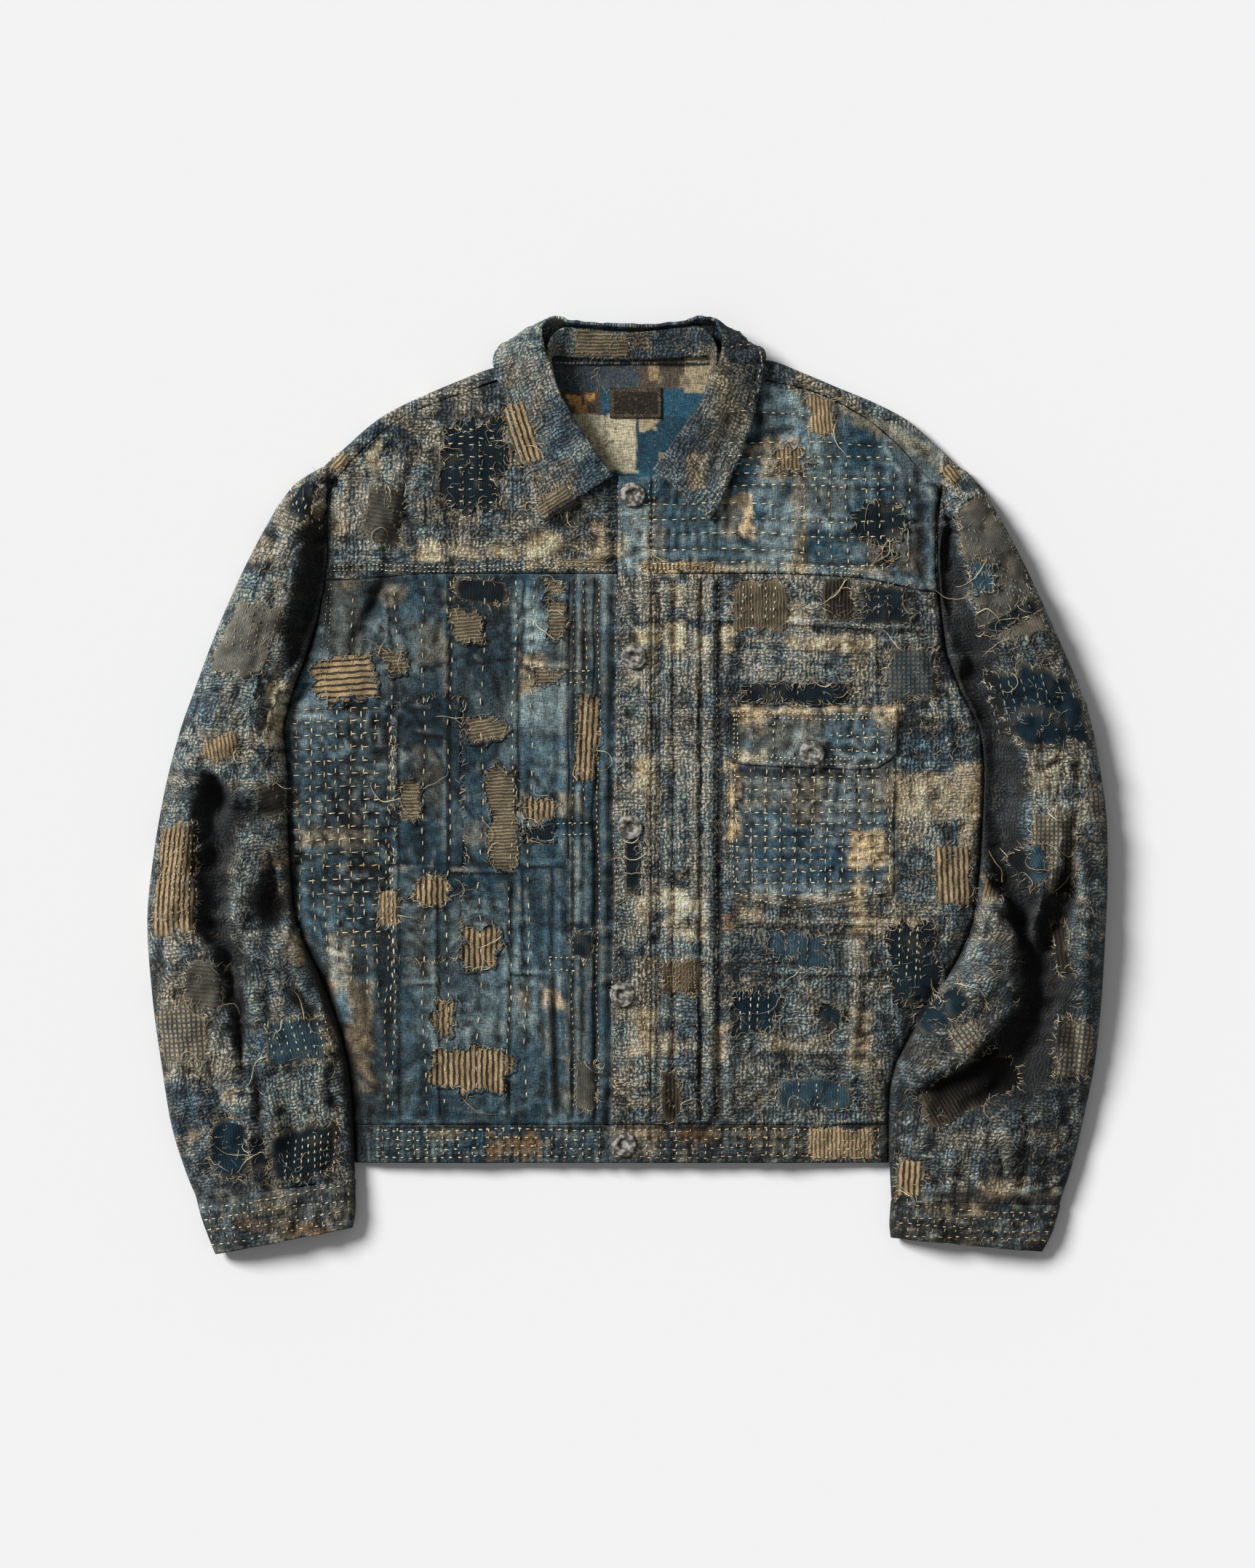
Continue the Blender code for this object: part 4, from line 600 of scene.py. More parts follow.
edgeNoise = 0.65 * cloud(8, 30) + 0.5 * cloud(3.2, 31)
patchy = np.clip(0.85 + 0.5 * cloud(7, 35) + 0.4 * cloud(3, 36), 0.2, 1.0)
# the wearer's right wing, which faces the light, is made far lighter: partly its paler cloth, partly painted
# light
collarDyeAndShading = collarBase * np.where(spotX < 0, 3.0, 1.25)[..., None]
dyeSpots = (
    # yoke, wearer's right
    (-165, 283, 130, 13, "sand", 0.4, -24), (-200, 244, 9, 46, "tan", 0.75),
    (-227, 212, 12, 30, "tan", 0.5), (-82, 186, 165, 13, "sand", 0.55), (-157, 185, 20, 18, "tan", 0.8),
    (-115, 182, 56, 10, "tan", 0.7), (-66, 185, 26, 26, "tan", 0.8), (-23, 188, 12, 44, "tan", 0.65),
    (-44, 200, 12, 30, "sand", 0.5), (-100, 235, 14, 40, "sand", 0.3), (-76, 214, 20, 22, "sand", 0.4),
    # the near-black strip at -174, 225 is painted shade in the fold there
    (-174, 225, 10, 90, "nearBlack", 0.45), (-215, 225, 20, 50, "sand", 0.35), (-140, 200, 60, 10, "dark", 0.5),
    (-60, 236, 20, 36, "dark", 0.4),
    # lower front, wearer's right
    (-222, 158, 20, 8, "tan", 0.8), (-186, 150, 24, 18, "sand", 0.6), (-178, 108, 38, 40, "faded", 0.6),
    (-155, 111, 22, 30, "sand", 0.45), (-221, 135, 24, 80, "grey", 0.75), (-76, 87, 20, 30, "tan", 0.85),
    (-47, 108, 26, 60, "grey", 0.6), (-60, 59, 28, 40, "faded", 0.8), (-105, 104, 44, 50, "deep", 0.7),
    (-160, 50, 50, 46, "deep", 0.85), (-157, 0, 20, 56, "sand", 0.45), (-66, 9, 32, 56, "deep", 0.7),
    (-128, 30, 34, 60, "deep", 0.6), (-94, 20, 12, 60, "faded", 0.6), (-230, -43, 60, 14, "tan", 0.6),
    (-212, -42, 24, 12, "ecru", 0.5), (-172, -41, 44, 56, "deep", 0.85), (-131, -64, 56, 26, "deep", 0.6),
    (-165, -114, 20, 86, "grey", 0.65), (-211, -200, 20, 84, "tan", 0.7), (-228, -140, 20, 50, "sand", 0.6),
    (-232, -10, 54, 60, "navy", 0.75), (-225, -70, 52, 50, "navy", 0.7), (-210, 44, 50, 26, "deep", 0.7),
    (-66, -88, 26, 50, "blue", 0.7), (-59, -169, 18, 14, "tan", 0.75), (-82, -171, 9, 13, "tan", 0.6),
    (-120, -160, 50, 50, "deep", 0.5), (-173, -237, 36, 16, "nearBlack", 0.5), (-50, -250, 12, 28, "brown", 0.6),
    (-190, -215, 12, 90, "dark", 0.6), (-100, -95, 40, 30, "blue", 0.6), (-86, -215, 24, 90, "blue", 0.6),
    (-40, -75, 16, 70, "faded", 0.8), (-40, -190, 16, 60, "grey", 0.7), (-30, 130, 14, 60, "grey", 0.5),
    (-45, -16, 16, 16, "sand", 0.7), (-86, -16, 12, 14, "tan", 0.8), (-120, -40, 20, 16, "sand", 0.4),
    # waistband and placket
    (-89, -286, 42, 20, "rust", 0.85), (-144, -276, 30, 10, "sand", 0.6), (-180, -288, 30, 16, "deep", 0.6),
    (-40, -284, 36, 22, "deep", 0.55), (6, -274, 46, 9, "tan", 0.7), (56, -277, 30, 12, "rust", 0.8),
    (103, -274, 46, 9, "sand", 0.7), (140, -288, 40, 14, "sand", 0.5), (60, -292, 60, 10, "deep", 0.5),
    (2, 108, 20, 70, "nub", 0.6), (10, 60, 20, 40, "faded", 0.55), (14, 116, 18, 15, "tan", 0.9),
    (4, 84, 14, 12, "tan", 0.6), (14, 36, 14, 16, "sand", 0.7), (14, 9, 17, 30, "tan", 0.95),
    (2, -20, 14, 20, "faded", 0.7), (14, -98, 17, 20, "tan", 0.8), (2, -120, 14, 16, "sand", 0.5),
    (12, -195, 19, 38, "tan", 0.85), (14, -150, 18, 30, "sand", 0.6), (0, 150, 22, 40, "nub", 0.6),
    (0, -232, 18, 22, "sand", 0.6), (0, -101, 16, 50, "faded", 0.5), (0, -170, 20, 16, "brown", 0.6),
    (38, 116, 17, 26, "tan", 0.95), (38, 148, 14, 18, "tan", 0.6), (59, 108, 11, 22, "tan", 0.9),
    (59, 150, 10, 20, "sand", 0.6), (40, 64, 13, 56, "brown", 0.6), (38, 22, 14, 30, "sand", 0.6),
    (60, 30, 10, 80, "dark", 0.7), (38, -40, 16, 50, "nub", 0.7), (38, -103, 18, 38, "tan", 0.9),
    (55, -106, 12, 28, "tan", 0.9), (55, -60, 12, 40, "sand", 0.4), (33, -205, 13, 20, "tan", 0.75),
    (56, -200, 12, 50, "dark", 0.5), (69, 134, 9, 56, "navy", 0.6), (74, -205, 9, 30, "tan", 0.8),
    (77, -109, 8, 13, "rust", 0.8), (70, 60, 8, 110, "dark", 0.5),
    # yoke, wearer's left
    (111, 297, 38, 46, "blue", 0.7), (182, 276, 46, 34, "deep", 0.8), (87, 212, 25, 34, "tan", 0.9),
    (76, 224, 12, 26, "tan", 0.6), (136, 196, 14, 50, "sand", 0.75), (136, 236, 12, 30, "sand", 0.5),
    (155, 226, 28, 26, "grey", 0.5), (166, 182, 46, 34, "deep", 0.8), (210, 190, 46, 44, "brown", 0.75),
    (190, 168, 30, 8, "sand", 0.6), (221, 236, 24, 40, "dark", 0.7), (14, 213, 28, 24, "grey", 0.6),
    (60, 200, 60, 44, "blue", 0.8), (38, 170, 60, 9, "tan", 0.85), (134, 168, 20, 11, "tan", 0.85),
    (90, 169, 40, 7, "sand", 0.6), (20, 190, 18, 22, "sand", 0.3), (195, 284, 150, 15, "sand", 0.6, -28),
    (255, 243, 13, 16, "tan", 0.95), (235, 205, 16, 60, "dark", 0.6), (68, 262, 20, 40, "blue", 0.6),
    (120, 256, 30, 30, "tan", 0.5), (98, 262, 16, 14, "sand", 0.6), (150, 282, 20, 20, "faded", 0.6),
    # lower front, wearer's left
    (134, 134, 22, 24, "tan", 0.7), (166, 145, 22, 34, "brown", 0.8), (161, 111, 76, 12, "tan", 0.8),
    (80, 114, 12, 22, "tan", 0.8), (184, 95, 16, 58, "sand", 0.6), (130, 92, 70, 14, "nub", 0.6),
    (234, -9, 58, 38, "tan", 0.7), (270, -4, 18, 40, "tan", 0.8), (221, 22, 56, 26, "blue", 0.6),
    (226, 96, 36, 60, "grey", 0.55), (221, -20, 30, 60, "sand", 0.55), (268, -40, 16, 40, "tan", 0.55),
    (182, -106, 13, 70, "tan", 0.85), (202, -111, 50, 13, "tan", 0.6), (182, -148, 12, 46, "sand", 0.8),
    (184, -203, 18, 50, "tan", 0.8), (134, -204, 50, 11, "tan", 0.5), (153, -145, 66, 50, "faded", 0.6),
    (145, -242, 76, 30, "blue", 0.85), (100, -240, 30, 30, "sand", 0.35), (96, -104, 20, 14, "tan", 0.7),
    (130, -108, 60, 10, "brown", 0.6), (98, -128, 30, 22, "dark", 0.8), (196, -236, 16, 40, "sand", 0.5),
    (150, -180, 16, 20, "sand", 0.5), (224, -100, 40, 12, "sand", 0.5),
    # pocket and flap
    (148, 36, 132, 48, "grey", 0.55), (148, 57, 132, 7, "tan", 0.7), (98, 46, 26, 16, "tan", 0.45),
    (92, 38, 20, 16, "blue", 0.6), (179, 38, 46, 36, "blue", 0.85), (120, 40, 26, 24, "grey", 0.7),
    (204, 52, 16, 14, "sand", 0.7), (96, 20, 24, 10, "ecru", 0.6), (150, -10, 126, 44, "grey", 0.6),
    (150, -50, 126, 60, "blue", 0.6), (121, -43, 40, 46, "deep", 0.85), (155, -59, 50, 34, "deep", 0.85),
    (189, -52, 28, 30, "tan", 0.9), (83, -12, 9, 60, "tan", 0.8), (140, -14, 24, 38, "brown", 0.8),
    (108, 4, 30, 16, "deep", 0.5), (176, -4, 30, 18, "deep", 0.6), (206, -70, 9, 50, "sand", 0.7),
    (140, -92, 110, 8, "sand", 0.6),
    # sleeve, wearer's right
    (-248, 213, 15, 28, "tan", 0.8), (-283, 184, 38, 18, "sand", 0.6), (-252, 190, 10, 30, "sand", 0.5),
    (-277, 56, 13, 46, "tan", 0.85), (-314, 30, 46, 22, "sand", 0.6), (-300, 150, 40, 26, "faded", 0.5),
    (-340, 84, 20, 30, "faded", 0.4), (-306, -67, 36, 56, "grey", 0.6), (-275, -62, 20, 9, "tan", 0.75),
    (-262, -132, 15, 20, "tan", 0.8), (-340, -184, 38, 86, "brown", 0.5), (-275, -200, 46, 26, "blue", 0.8),
    (-259, -245, 48, 46, "faded", 0.7), (-314, -247, 11, 10, "tan", 0.95), (-340, -278, 9, 9, "tan", 0.9),
    (-234, -184, 9, 56, "tan", 0.75), (-340, -226, 60, 14, "sand", 0.5), (-330, -268, 50, 60, "deep", 0.5),
    # the near-black spot at -318, -20 and the dark one at -286, -20 are painted shade in the sleeve's folds
    (-318, -20, 36, 40, "nearBlack", 0.5), (-286, -20, 30, 30, "dark", 0.6), (-360, -60, 22, 60, "dark", 0.5),
    (-276, -300, 40, 26, "faded", 0.4), (-280, -330, 26, 12, "sand", 0.6),
    # sleeve, wearer's left
    (338, 17, 46, 36, "sand", 0.6), (310, 60, 40, 30, "dark", 0.5), (330, 4, 20, 20, "tan", 0.4),
    (299, -124, 22, 48, "brown", 0.8), (286, -82, 13, 22, "tan", 0.85), (265, -199, 20, 24, "tan", 0.75),
    (247, -182, 44, 22, "blue", 0.7, 35), (273, -237, 96, 46, "dark", 0.85, 24),
    (349, -208, 24, 44, "tan", 0.55), (338, -148, 5, 36, "rust", 0.85), (286, -255, 46, 34, "blue", 0.6),
    (273, -279, 60, 12, "sand", 0.6), (330, -278, 40, 12, "sand", 0.45), (296, -318, 40, 16, "tan", 0.5),
    (318, -60, 30, 60, "blue", 0.5), (280, 200, 30, 60, "grey", 0.6), (300, 130, 50, 16, "navy", 0.6, 30),
    (345, -250, 30, 40, "blue", 0.4), (302, -160, 12, 60, "dark", 0.5), (354, -100, 16, 60, "nub", 0.4),
    # cuffs
    (-267, -350, 78, 11, "rust", 0.75, -8), (-284, -334, 18, 12, "sand", 0.8),
    (-300, -348, 60, 20, "deep", 0.5), (-236, -326, 30, 20, "faded", 0.4), (244, -334, 20, 13, "sand", 0.8),
    (276, -336, 19, 12, "tan", 0.75), (302, -337, 28, 14, "deep", 0.8), (223, -352, 30, 9, "brown", 0.7),
    (280, -354, 70, 14, "grey", 0.6),
    # broad darker and lighter places, mostly the cloth's tone; those under the elbow fold of the wearer's
    # left sleeve and beside the lower side of the body on the wearer's right are painted shade, and the much
    # lighter upper sleeve on the wearer's right is painted light
    (-275, -345, 160, 60, 0.5, 1), (275, -347, 160, 54, 0.34, 1), (300, -240, 170, 150, 0.5, 0.9),
    (345, -70, 70, 170, 0.9, 1), (-300, -240, 150, 150, 1.1, 1), (0, -284, 430, 34, 0.55, 1),
    (-225, -40, 84, 180, 0.6, 0.9), (140, -180, 130, 160, 0.8, 1), (240, 30, 60, 190, 1.5, 1),
    (5, 232, 30, 28, "deep", 0.9), (110, 235, 230, 120, 0.92, 1), (30, 236, 60, 60, 0.9, 1),
    (100, -284, 220, 34, 0.75, 1), (5, -10, 32, 520, 1.3, 1), (50, -30, 50, 380, 1.5, 1),
    (-205, 60, 60, 60, 0.7, 0.6), (-110, -50, 220, 430, 0.68, 1), (-200, -190, 40, 150, 0.55, 1),
    (300, 190, 70, 60, 0.75, 1), (-308, 120, 80, 220, 2.4, 0.9), (-320, -190, 90, 190, 1.3, 0.9),
    (300, -250, 110, 150, 1.25, 0.9), (-150, 236, 190, 120, 1.5, 0.8), (120, 110, 100, 60, 1.8, 0.8),
    (-158, 234, 34, 60, 0.36, 1), (-196, 222, 36, 80, 1.6, 0.9), (-111, 110, 40, 110, 0.7, 0.9),
    (-67, 60, 30, 210, 1.5, 0.9), (-160, 110, 36, 110, 1.15, 0.9), (-157, 30, 60, 84, 0.62, 0.8),
    (-66, -150, 30, 200, 1.25, 0.9), (-100, -190, 60, 120, 1.15, 0.8), (-150, 100, 120, 140, 0.75, 1),
    (-226, 120, 40, 100, 0.6, 1), (60, -30, 40, 380, 1.12, 1), (120, -284, 190, 34, 0.7, 1),
    (275, -347, 160, 54, 0.8, 1), (262, -250, 140, 150, 0.8, 1), (35, 40, 60, 300, 1.2, 1),
    (332, 20, 70, 120, 1.5, 1), (304, -222, 110, 70, 0.62, 0.9), (300, -180, 60, 50, 0.6, 0.9),
    (-192, 222, 40, 90, 1.3, 0.9), (60, 220, 120, 70, 1.2, 0.9), (-300, -100, 140, 240, 1.25, 1))
collarSpots = (
    (-96, 300, 16, 60, "blue", 0.6, -18), (-58, 240, 40, 20, "sand", 0.6, 30),
    (-54, 228, 30, 12, "tan", 0.7, 30), (-86, 325, 26, 24, "tan", 0.4), (54, 246, 16, 26, "tan", 0.7),
    (78, 304, 18, 60, "sand", 0.6, 20), (66, 330, 20, 30, "tan", 0.45), (92, 262, 10, 60, "blue", 0.5, 15),
    (-78, 345, 26, 12, "blue", 0.6), (-66, 318, 8, 60, "tan", 0.5, -14), (60, 276, 14, 30, "dark", 0.6, 25),
    (30, 352, 30, 20, "dark", 0.6), (64, 352, 16, 16, "deep", 0.7), (-52, 352, 20, 20, "blue", 0.6),
    (10, 352, 16, 18, "tan", 0.4), (84, 276, 44, 100, "sand", 0.35, 15),
    (-84, 276, 44, 100, "sand", 0.3, -15))
for spot in dyeSpots:
    paint(*spot)
for spot in collarSpots:
    paint(*spot, onto=collarDyeAndShading)
relief += 0.28 * cloud(2.6, 32) * nub

# Worn ridges go pale, and hollows are darkened as painted shade.
proud = relief - blur(relief, 3)
collarDyeAndShading = collarDyeAndShading * (1 + wear["collarRidgeWearAndShade"] * np.clip(proud, -0.85, 0.8))[..., None]
collarDyeAndShading = np.clip(collarDyeAndShading, wear["least"], wear["most"])
dyeAndShading = dyeAndShading * (1 + wear["ridges"] * np.clip(proud, -0.75, 0.8))[..., None]
rubbed = smoothStep((proud - 0.3) / 0.9) * (0.3 + 0.3 * nub) * smoothStep(0.45 + cloud(9, 33))
warm = smoothStep(0.35 + 1.4 * cloud(24, 34))[..., None]
dyeAndShading = dyeAndShading + (tone("mist") + (tone("sand") * 1.3 - tone("mist")) * warm - dyeAndShading) * rubbed[..., None]
dyeAndShading = dyeAndShading * (wear["plain"] + wear["nubby"] * nub)[..., None]
# painted shade of folds, gaps and lifted edges, and of the sewn edges, goes into the colour
dyeAndShading = dyeAndShading * (hollow * (1 + np.clip(sewnShade, -0.7, 0.5)))[..., None]
dyeAndShading = np.clip(dyeAndShading, wear["least"], wear["most"])


# Materials. Each of these adds a node to a material and gives what comes out of it.
def node(tree, kind, inputs=None, **settings):
    made = tree.nodes.new("ShaderNode" + kind)
    for key, value in settings.items():
        setattr(made, key, value)
    for key, value in (inputs or {}).items():
        if isinstance(value, bpy.types.NodeSocket):
            tree.links.new(value, made.inputs[key])
        else:
            made.inputs[key].default_value = value
    return made.outputs


def mathNode(tree, operation, first, second=0.0):
    return node(tree, "Math", {0: first, 1: second}, operation=operation)[0]


def plus(tree, first, second):
    return mathNode(tree, "ADD", first, second)


def times(tree, first, second):
    return mathNode(tree, "MULTIPLY", first, second)


def noise(tree, place, scale, detail, output=0, roughness=0.5):
    return node(tree, "TexNoise", {"Vector": place, "Scale": scale, "Detail": detail,
                                   "Roughness": roughness})[output]


def stretched(tree, place, across, along):
    return node(tree, "Mapping", {"Vector": place, "Scale": (across, along, 1.0)})[0]


def attribute(tree, name, output):
    return node(tree, "Attribute", attribute_name=name)[output]


def blendNode(tree, share, first, second, kind="MIX"):
    return node(tree, "Mix", {0: share, 6: first, 7: second}, data_type="RGBA", blend_type=kind)[2]


def tinted(tree, shade, red, green, blue):
    return blendNode(tree, 1.0, shade, (red, green, blue, 1), "MULTIPLY")


def rampNode(tree, value, low, high):
    return node(tree, "MapRange", {0: value, 1: low, 2: high, 3: 0.0, 4: 1.0},
                interpolation_type="SMOOTHSTEP")[0]


def colour(shade, lift=1.0):
    return (*np.clip(tone(shade) * lift, 0, 1).tolist(), 1.0)


def newMaterial(name, roughness, sheen=0.0):
    made = bpy.data.materials.new(name)
    made.use_nodes = True
    shader = made.node_tree.nodes["Principled BSDF"]
    for key, value in (("Roughness", roughness), ("Specular IOR Level", 0.12), ("Sheen Weight", sheen),
                       ("Sheen Roughness", 0.6)):
        shader.inputs[key].default_value = value
    return made, made.node_tree, shader


def finishMaterial(tree, shader, shade, height, depth):
    bump = node(tree, "Bump", {"Height": height, "Distance": depth, "Strength": 1.0})
    tree.links.new(bump[0], shader.inputs["Normal"])
    tree.links.new(shade, shader.inputs["Base Color"])


def bodyCloth(name, sheen, fleck, cell, depth):
    # Worn cloth whose dye, painted shade and nap come from the piece, with threads, slubs, puckers
    # and flecks of its own.
    made, tree, shader = newMaterial(name, 0.9, sheen)
    place, nap = attribute(tree, "clothPlace", "Vector"), attribute(tree, "nap", "Fac")
    dyedAndShaded, openness = attribute(tree, "dyeAndShading", "Color"), attribute(tree, "dyeAndShading", "Alpha")
    wander = noise(tree, place, 0.12, 2.5, "Color")
    bent = node(tree, "VectorMath", {0: wander, 1: (7.0, 7.0, 0.0), 2: place}, operation="MULTIPLY_ADD")[0]
    wide, tall = cell
    cells = node(tree, "TexVoronoi", {"Vector": stretched(tree, bent, 1 / wide, 1 / tall), "Scale": 1.0,
                                      "Randomness": 0.7}, voronoi_dimensions="2D")
    chance = node(tree, "SeparateXYZ", {0: cells["Color"]})[0]
    flecks = noise(tree, place, fleck, 2.0, roughness=0.75)
    slub = plus(tree, noise(tree, stretched(tree, place, 1.5, 0.2), 1.0, 1.0),
                noise(tree, stretched(tree, place, 0.2, 1.5), 1.0, 1.0))
    pillow = times(tree, rampNode(tree, cells["Distance"], 0.58, 0.14), rampNode(tree, wander, 0.3, 0.55))
    parts = node(tree, "SeparateXYZ", {0: bent})
    ribs = [mathNode(tree, "SINE", times(tree, parts[k], 2 * math.pi / pitch))
            for k, pitch in enumerate(cell)]
    way = rampNode(tree, noise(tree, place, 0.04, 1.0), 0.4, 0.56)
    rib = plus(tree, times(tree, ribs[0], way), times(tree, ribs[1], mathNode(tree, "SUBTRACT", 1.0, way)))
    weave = plus(tree, times(tree, pillow, 0.26), times(tree, rib, 0.06))
    light = plus(tree, weave, plus(tree, flecks, times(tree, slub, 0.16)))
    # nubby cloth: dark ground under pale flecks, some of them tan, which go dark in painted shade
    darkDye = blendNode(tree, 0.3, tinted(tree, dyedAndShaded, 0.25, 0.275, 0.3), (0.007, 0.011, 0.015, 1))
    warmth = rampNode(tree, noise(tree, place, 0.055, 2.0), 0.42, 0.62)
    tanShare = times(tree, times(tree, rampNode(tree, chance, 0.45, 0.8), warmth), 0.6)
    paleDye = blendNode(tree, tanShare, tinted(tree, dyedAndShaded, 2.35, 2.35, 2.25),
                        blendNode(tree, openness, (0.01, 0.012, 0.014, 1), colour("ecru", 0.8)))
    paleDye = blendNode(tree, 1.0, paleDye, (0.86, 0.78, 0.61, 1), "DARKEN")
    nubby = blendNode(tree, rampNode(tree, light, 0.62, 0.98), darkDye, paleDye)
    # plain cloth: slubs, and a few worn threads, fewer in painted shade
    plain = blendNode(tree, rampNode(tree, slub, 0.75, 1.25), tinted(tree, dyedAndShaded, 0.5, 0.53, 0.56),
                      tinted(tree, dyedAndShaded, 1.5, 1.48, 1.42))
    worn = times(tree, rampNode(tree, flecks, 0.58, 0.74), times(tree, openness, 0.5))
    plain = blendNode(tree, worn, plain, blendNode(tree, 0.45, dyedAndShaded, colour("ecru")))
    rough = times(tree, plus(tree, times(tree, flecks, 1.3), times(tree, weave, 4.0)), nap)
    height = plus(tree, rough, plus(tree, times(tree, slub, 0.5), times(tree, flecks, 0.4)))
    finishMaterial(tree, shader, blendNode(tree, nap, plain, nubby), height, depth)
    return made


# Body cloths: sheen, how fine the flecks are, size of a nub across and along, and depth of the weave.
clothLook = {"plaid_cloth": (0.08, 1.15, (3.3, 2.8), 0.0016), "faded_cloth": (0.08, 1.1, (3.6, 3.0), 0.0015),
             "indigo_cloth": (0.08, 1.1, (3.4, 2.9), 0.0015), "lining_cloth": (0.1, 0.6, (9.0, 9.0), 0.0004)}
bodyCloths = {name: bodyCloth(name, *values) for name, values in clothLook.items()}

# Patch cloths: ground and line tones, the way the lines run, their pitch and share, and how light it is.
patchLook = {
    "hickory": ("tan", "nearBlack", "up", 4.4, 0.42, 0.82),
    "tanStripe": ("tan", "nearBlack", "across", 4.8, 0.34, 0.85),
    "cord": ("sand", "brown", "across", 2.7, 0.5, 0.88),
    "cordUp": ("tan", "brown", "up", 3.2, 0.42, 0.82),
    "greyRib": ("grey", "brown", "across", 3.4, 0.45, 0.95),
    "brownRib": ("brown", "nearBlack", "up", 3.0, 0.45, 0.6),
    "check": ("sand", "dark", "both", 3.8, 0.4, 1.1),
    "greyCheck": ("grey", "dark", "both", 3.6, 0.36, 1.0),
    "greyTwill": ("grey", "brown", "up", 2.0, 0.3, 0.95),
    "brownTwill": ("brown", "sand", "up", 2.4, 0.2, 1.0),
    "navy": ("navy", "nearBlack", "up", 2.0, 0.3, 1.15),
    "indigo": ("deep", "navy", "up", 2.2, 0.4, 0.62),
    "paleTwill": ("grey", "brown", "up", 2.0, 0.25, 1.5),
    "blue": ("blue", "deep", "up", 2.2, 0.3, 0.95),
    "nearBlack": ("nearBlack", "navy", "up", 2.4, 0.3, 1.3)}


def patchCloth(name, ground, second, way, pitch, share, lift):
    made, tree, shader = newMaterial(name, 0.9, 0.04)
    place = attribute(tree, "clothPlace", "Vector")
    wander = node(tree, "TexNoise", {"Vector": place, "Scale": 0.12, "Detail": 2.0}, normalize=False)
    shift = node(tree, "VectorMath", {0: wander["Color"], 3: 0.8}, operation="SCALE")[0]
    bent = node(tree, "VectorMath", {0: place, 1: shift}, operation="ADD")[0]
    parts = node(tree, "SeparateXYZ", {0: bent})
    lines = []
    for axis, wanted in ((0, ("up", "both")), (1, ("across", "both"))):
        if way in wanted:
            turn = mathNode(tree, "FRACT", mathNode(tree, "DIVIDE", parts[axis], pitch))
            far = mathNode(tree, "ABSOLUTE", mathNode(tree, "SUBTRACT", turn, 0.5))
            edge = 0.5 - share / 2
            lines.append(rampNode(tree, far, edge - 0.05, edge + 0.05))
    line = lines[0] if len(lines) == 1 else mathNode(tree, "MAXIMUM", lines[0], times(tree, lines[1], 0.8))
    fleck = noise(tree, place, 0.9, 3.0, roughness=0.7)
    mixed = blendNode(tree, rampNode(tree, fleck, 0.36, 0.66), colour(ground, 0.62 * lift),
                      colour(ground, 1.3 * lift))
    mixed = blendNode(tree, times(tree, line, 0.9), mixed, colour(second, lift))
    stain = times(tree, rampNode(tree, noise(tree, place, 0.09, 2.0), 0.45, 0.7), 0.45)
    mixed = blendNode(tree, stain, mixed, tinted(tree, mixed, 0.4, 0.38, 0.36))
    mixed = blendNode(tree, times(tree, attribute(tree, "nap", "Fac"), 0.45), mixed, colour("sand", 0.9))
    # the painted shade of the place the patch lies on
    mixed = blendNode(tree, 1.0, mixed, attribute(tree, "dyeAndShading", "Color"), "MULTIPLY")
    grooves = times(tree, line, 0.9 if pitch > 2.5 else 0.35)
    finishMaterial(tree, shader, mixed, mathNode(tree, "SUBTRACT", times(tree, fleck, 0.8), grooves), 0.0007)
    return made


patchCloths = {name: patchCloth(name, *values) for name, values in patchLook.items()}


def threadCloth(name, shade, lift):
    made, tree, shader = newMaterial(name, 0.85, 0.2)
    place = node(tree, "TexCoord")["Object"]
    soft, twist = noise(tree, place, 60.0, 1.0), noise(tree, place, 1400.0, 1.0)
    tint = blendNode(tree, rampNode(tree, soft, 0.35, 0.65), colour(shade, 0.7 * lift),
                     colour(shade, 1.25 * lift))
    tint = blendNode(tree, times(tree, twist, 0.5), tint, colour("brown"))
    finishMaterial(tree, shader, tint, twist, 0.0003)
    return made


threadLook = {"ecru": ("ecru", 1.4), "tan": ("tan", 1.35), "sand": ("sand", 1.3), "rust": ("rust", 1.2),
              "blueGrey": ("mist", 0.75)}
threadCloths = {name: threadCloth(name + "_thread", *values) for name, values in threadLook.items()}
thread = {name: k for k, name in enumerate(threadCloths)}


def buttonFinish():
    made, tree, shader = newMaterial("button_metal", 0.42)
    rub = noise(tree, node(tree, "TexCoord")["Object"], 240.0, 3.0)
    dull = blendNode(tree, rampNode(tree, rub, 0.42, 0.62), (0.10, 0.092, 0.08, 1), (0.46, 0.44, 0.40, 1))
    tree.links.new(mathNode(tree, "MULTIPLY_ADD", rub, 0.5), shader.inputs["Roughness"])
    shader.inputs["Metallic"].default_value = 0.7
    finishMaterial(tree, shader, dull, rub, 0.0001)
    return made


# Building a sheet of cloth from a grid of points
topPoints, topFaces = [], []


def refine(values, count):
    slopes = np.gradient(values, axis=0)
    at = np.linspace(0, len(values) - 1, count)
    k = np.minimum(at.astype(int), len(values) - 2)
    f = (at - k).reshape((-1,) + (1,) * (values.ndim - 1))
    return ((1 + 2 * f) * (1 - f) ** 2 * values[k] + f * (1 - f) ** 2 * slopes[k]
            + f * f * (3 - 2 * f) * values[k + 1] + f * f * (f - 1) * slopes[k + 1])


def normalsOf(points):
    normal = np.cross(np.gradient(points, axis=1), np.gradient(points, axis=0))
    normal /= np.maximum(np.linalg.norm(normal, axis=-1, keepdims=True), 1e-9)
    return normal


